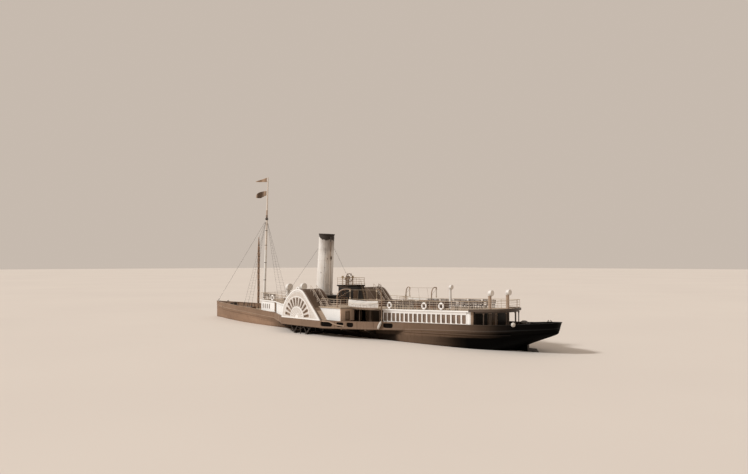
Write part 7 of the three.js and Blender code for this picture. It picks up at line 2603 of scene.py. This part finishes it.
def build_trim():
    end = Kit()
    rings = []
    for x, out in ((-15.96, sponson_y(-15.96)), (-16.4, 3.66), (-17.3, flat_half(-17.3) + 0.02)):
        low = flat_top(x) - SPONSON_DROP
        inner = flat_half(x) - 0.1
        rings.append([(x, inner, low), (x, out, low), (x, out, flat_top(x) + 0.02),
                      (x, inner, flat_top(x) + 0.02)])
    end.loft(rings)
    pair_up("sponson_tail", end, BROWN, "topside_brown", crease=0)

    band = Kit()
    line = [(-5.75, 2.36), (-6.24, 2.07), (-6.81, 1.87), (-7.47, 1.64), (-8.12, 1.51), (-8.9, 1.46)]
    curve = spline(line, 4)
    for (x0, z0), (x1, z1) in zip(curve, curve[1:]):
        z0, z1 = min(z0, flat_top(x0) - 0.02), min(z1, flat_top(x1) - 0.02)
        y0, y1 = sponson_y(x0) + 0.02, sponson_y(x1) + 0.02
        band.beam((x0, y0, z0), (x1, y1, z1), 0.045, 0.13, up=(0, 0, 1))
    pair_up("foot_band", band, BUFF, "topside_brown", crease=30)

    margin = Kit()
    for x0, x1 in ((29.9, 14.2), (-25.9, -32.6)):
        run = [(x, half(x) - 0.16) for x in span(x0, x1, 0.6)]
        sweep(margin, run, deck, [(-0.22, 0.0005), (0.0, 0.0005), (0.0, 0.022), (-0.22, 0.022)], left=False)
    pair_up("deck_margins", margin, TEAK, "deck_wood", crease=0)

    knees = Kit()
    for x, y in ((-26.6, 2.75), (-27.55, 1.95), (-27.95, 0.8)):
        for side in (-1, 1):
            at = Vector((x + 0.05, (y - 0.04) * side, 0))
            roof = prom(x) - 0.26
            knees.lathe([(0.0, 0.0), (0.11, 0.0), (0.11, 0.03), (0.075, 0.07), (0.0, 0.075)],
                        (at.x, at.y, deck(x) + 0.001), sides=20)
            knees.lathe([(0.0, 0.0), (0.06, 0.0), (0.1, 0.12), (0.1, 0.15), (0.0, 0.15)],
                        (at.x, at.y, roof - 0.16), sides=20)
    make("veranda_knees", knees, DECK_TRIM, slot="topside_brown", crease=40)

    fender = Kit()
    line = []
    for x, z in ((-13.55, 2.2), (-13.52, 2.12), (-13.42, 1.9), (-13.28, 1.6), (-13.2, 1.4), (-13.18, 1.33)):
        line.append((x, sponson_y(x) + 0.19, z))
    fender.tube(line, [0.03, 0.11, 0.15, 0.15, 0.11, 0.03], 14)
    make("rope_fender", fender, CANVAS, slot="sail", crease=50)
    tail = Kit()
    tail.tube([(-13.62, sponson_y(-13.6) - 0.08, 2.16), (-13.6, sponson_y(-13.6) + 0.06, 2.2),
               line[0]], 0.018, 6)
    ball = Kit()
    x = -30.05
    at = Vector((x, flat_half(x) + 0.24, flat_top(x) + 0.03))
    ball.lathe([(0.22 * math.sin(t), 0.22 * -math.cos(t)) for t in span(0.0, math.pi, 0.2)], at, sides=24)
    make("ball_fender", ball, CANVAS, slot="sail", crease=60)
    for turn in ((1, 0, 0), (0, 1, 0), (0.7, 0.7, 0)):
        tail.ring(at, turn, 0.226, 0.01, count=26, sides=5)
    tail.ring(at, (0, 0, 1), 0.226, 0.01, count=26, sides=5)
    tail.tube([at + Vector((0, 0, 0.22)), at + Vector((0, -0.16, 0.17)),
               (x, flat_half(x) - 0.02, flat_top(x) + 0.02)],
              0.018, 6)
    make("fender_lanyards", tail, ROPE, slot="rope", crease=50)


build_skylight("engine_skylight", -6.3, -9.2, 0.95, 0.45, 4)
build_skylight("saloon_skylight", -15.1, -18.9, 1.0, 0.45, 5)
build_seats()
build_casings()
build_foredeck()
build_capstan()
build_rudder_straps()
build_trim()


# Materials of the CAD nodes

finish_nodes(HULL, "hull")
finish_nodes(IRON, "rudder", "capstan")
finish_nodes(BROWN, "bulwark_fore", "bulwark_aft")
finish_nodes(DECK, "main_deck")
finish_nodes(SPONSON_BROWN, "sponson_port", "sponson_starboard")
finish_nodes(CROWN, "paddle_box_port", "paddle_box_starboard")
finish_nodes(FACE, "paddle_face_port", "paddle_face_starboard")
finish_nodes(WHEEL_IRON, "paddle_wheel_port", "paddle_wheel_starboard", "paddle_shaft")
finish_nodes(PROM_DECK, "promenade_deck")
finish_nodes(FORE_WHITE, "fore_house")
finish_nodes(SALOON_WHITE, "aft_saloon")
finish_nodes(WING_WHITE, "wing_wall_port", "wing_wall_starboard")
finish_nodes(SPONSON_WHITE, "sponson_house_port", "sponson_house_starboard")
finish_nodes(CASING, "engine_casing")
finish_nodes(EDGE_BROWN, "veranda_frame")
finish_nodes(DECK_TRIM, "alley_frame_port", "alley_frame_starboard")
finish_nodes(RAIL, "rail_fore", "rail_aft")
finish_nodes(CREAM, "funnel", "stokehold_vents", "vent_aft_port", "vent_aft_starboard", "vent_saloon")
finish_nodes(DARK_HOUSE, "funnel_casing", "bridge_house")
finish_nodes(BROWN, "bridge_platform")
finish_nodes(TEAK, "helm_stand", "helm_wheel", "engine_skylight", "saloon_skylight")
finish_nodes(SPAR, "mast")
finish_nodes(SAILCLOTH, "furled_sail")
finish_nodes(TARRED, "forestay", "shrouds_port", "shrouds_starboard")
finish_nodes(BUNTING, "pennant")
finish_nodes(BUNTING_DARK, "house_flag")
finish_nodes(BOAT_PAINT, "lifeboat_port", "lifeboat_starboard")
finish_nodes(CREAM, "davits_port", "davits_starboard")
for door in ("fore_door", "saloon_door", "veranda_door"):
    finish_nodes(TEAK_UP, door + "_port", door + "_starboard")
finish_nodes(DOOR_BROWN, "sponson_door_port", "sponson_door_starboard")
finish_nodes(TEAK_UP, "bridge_door")
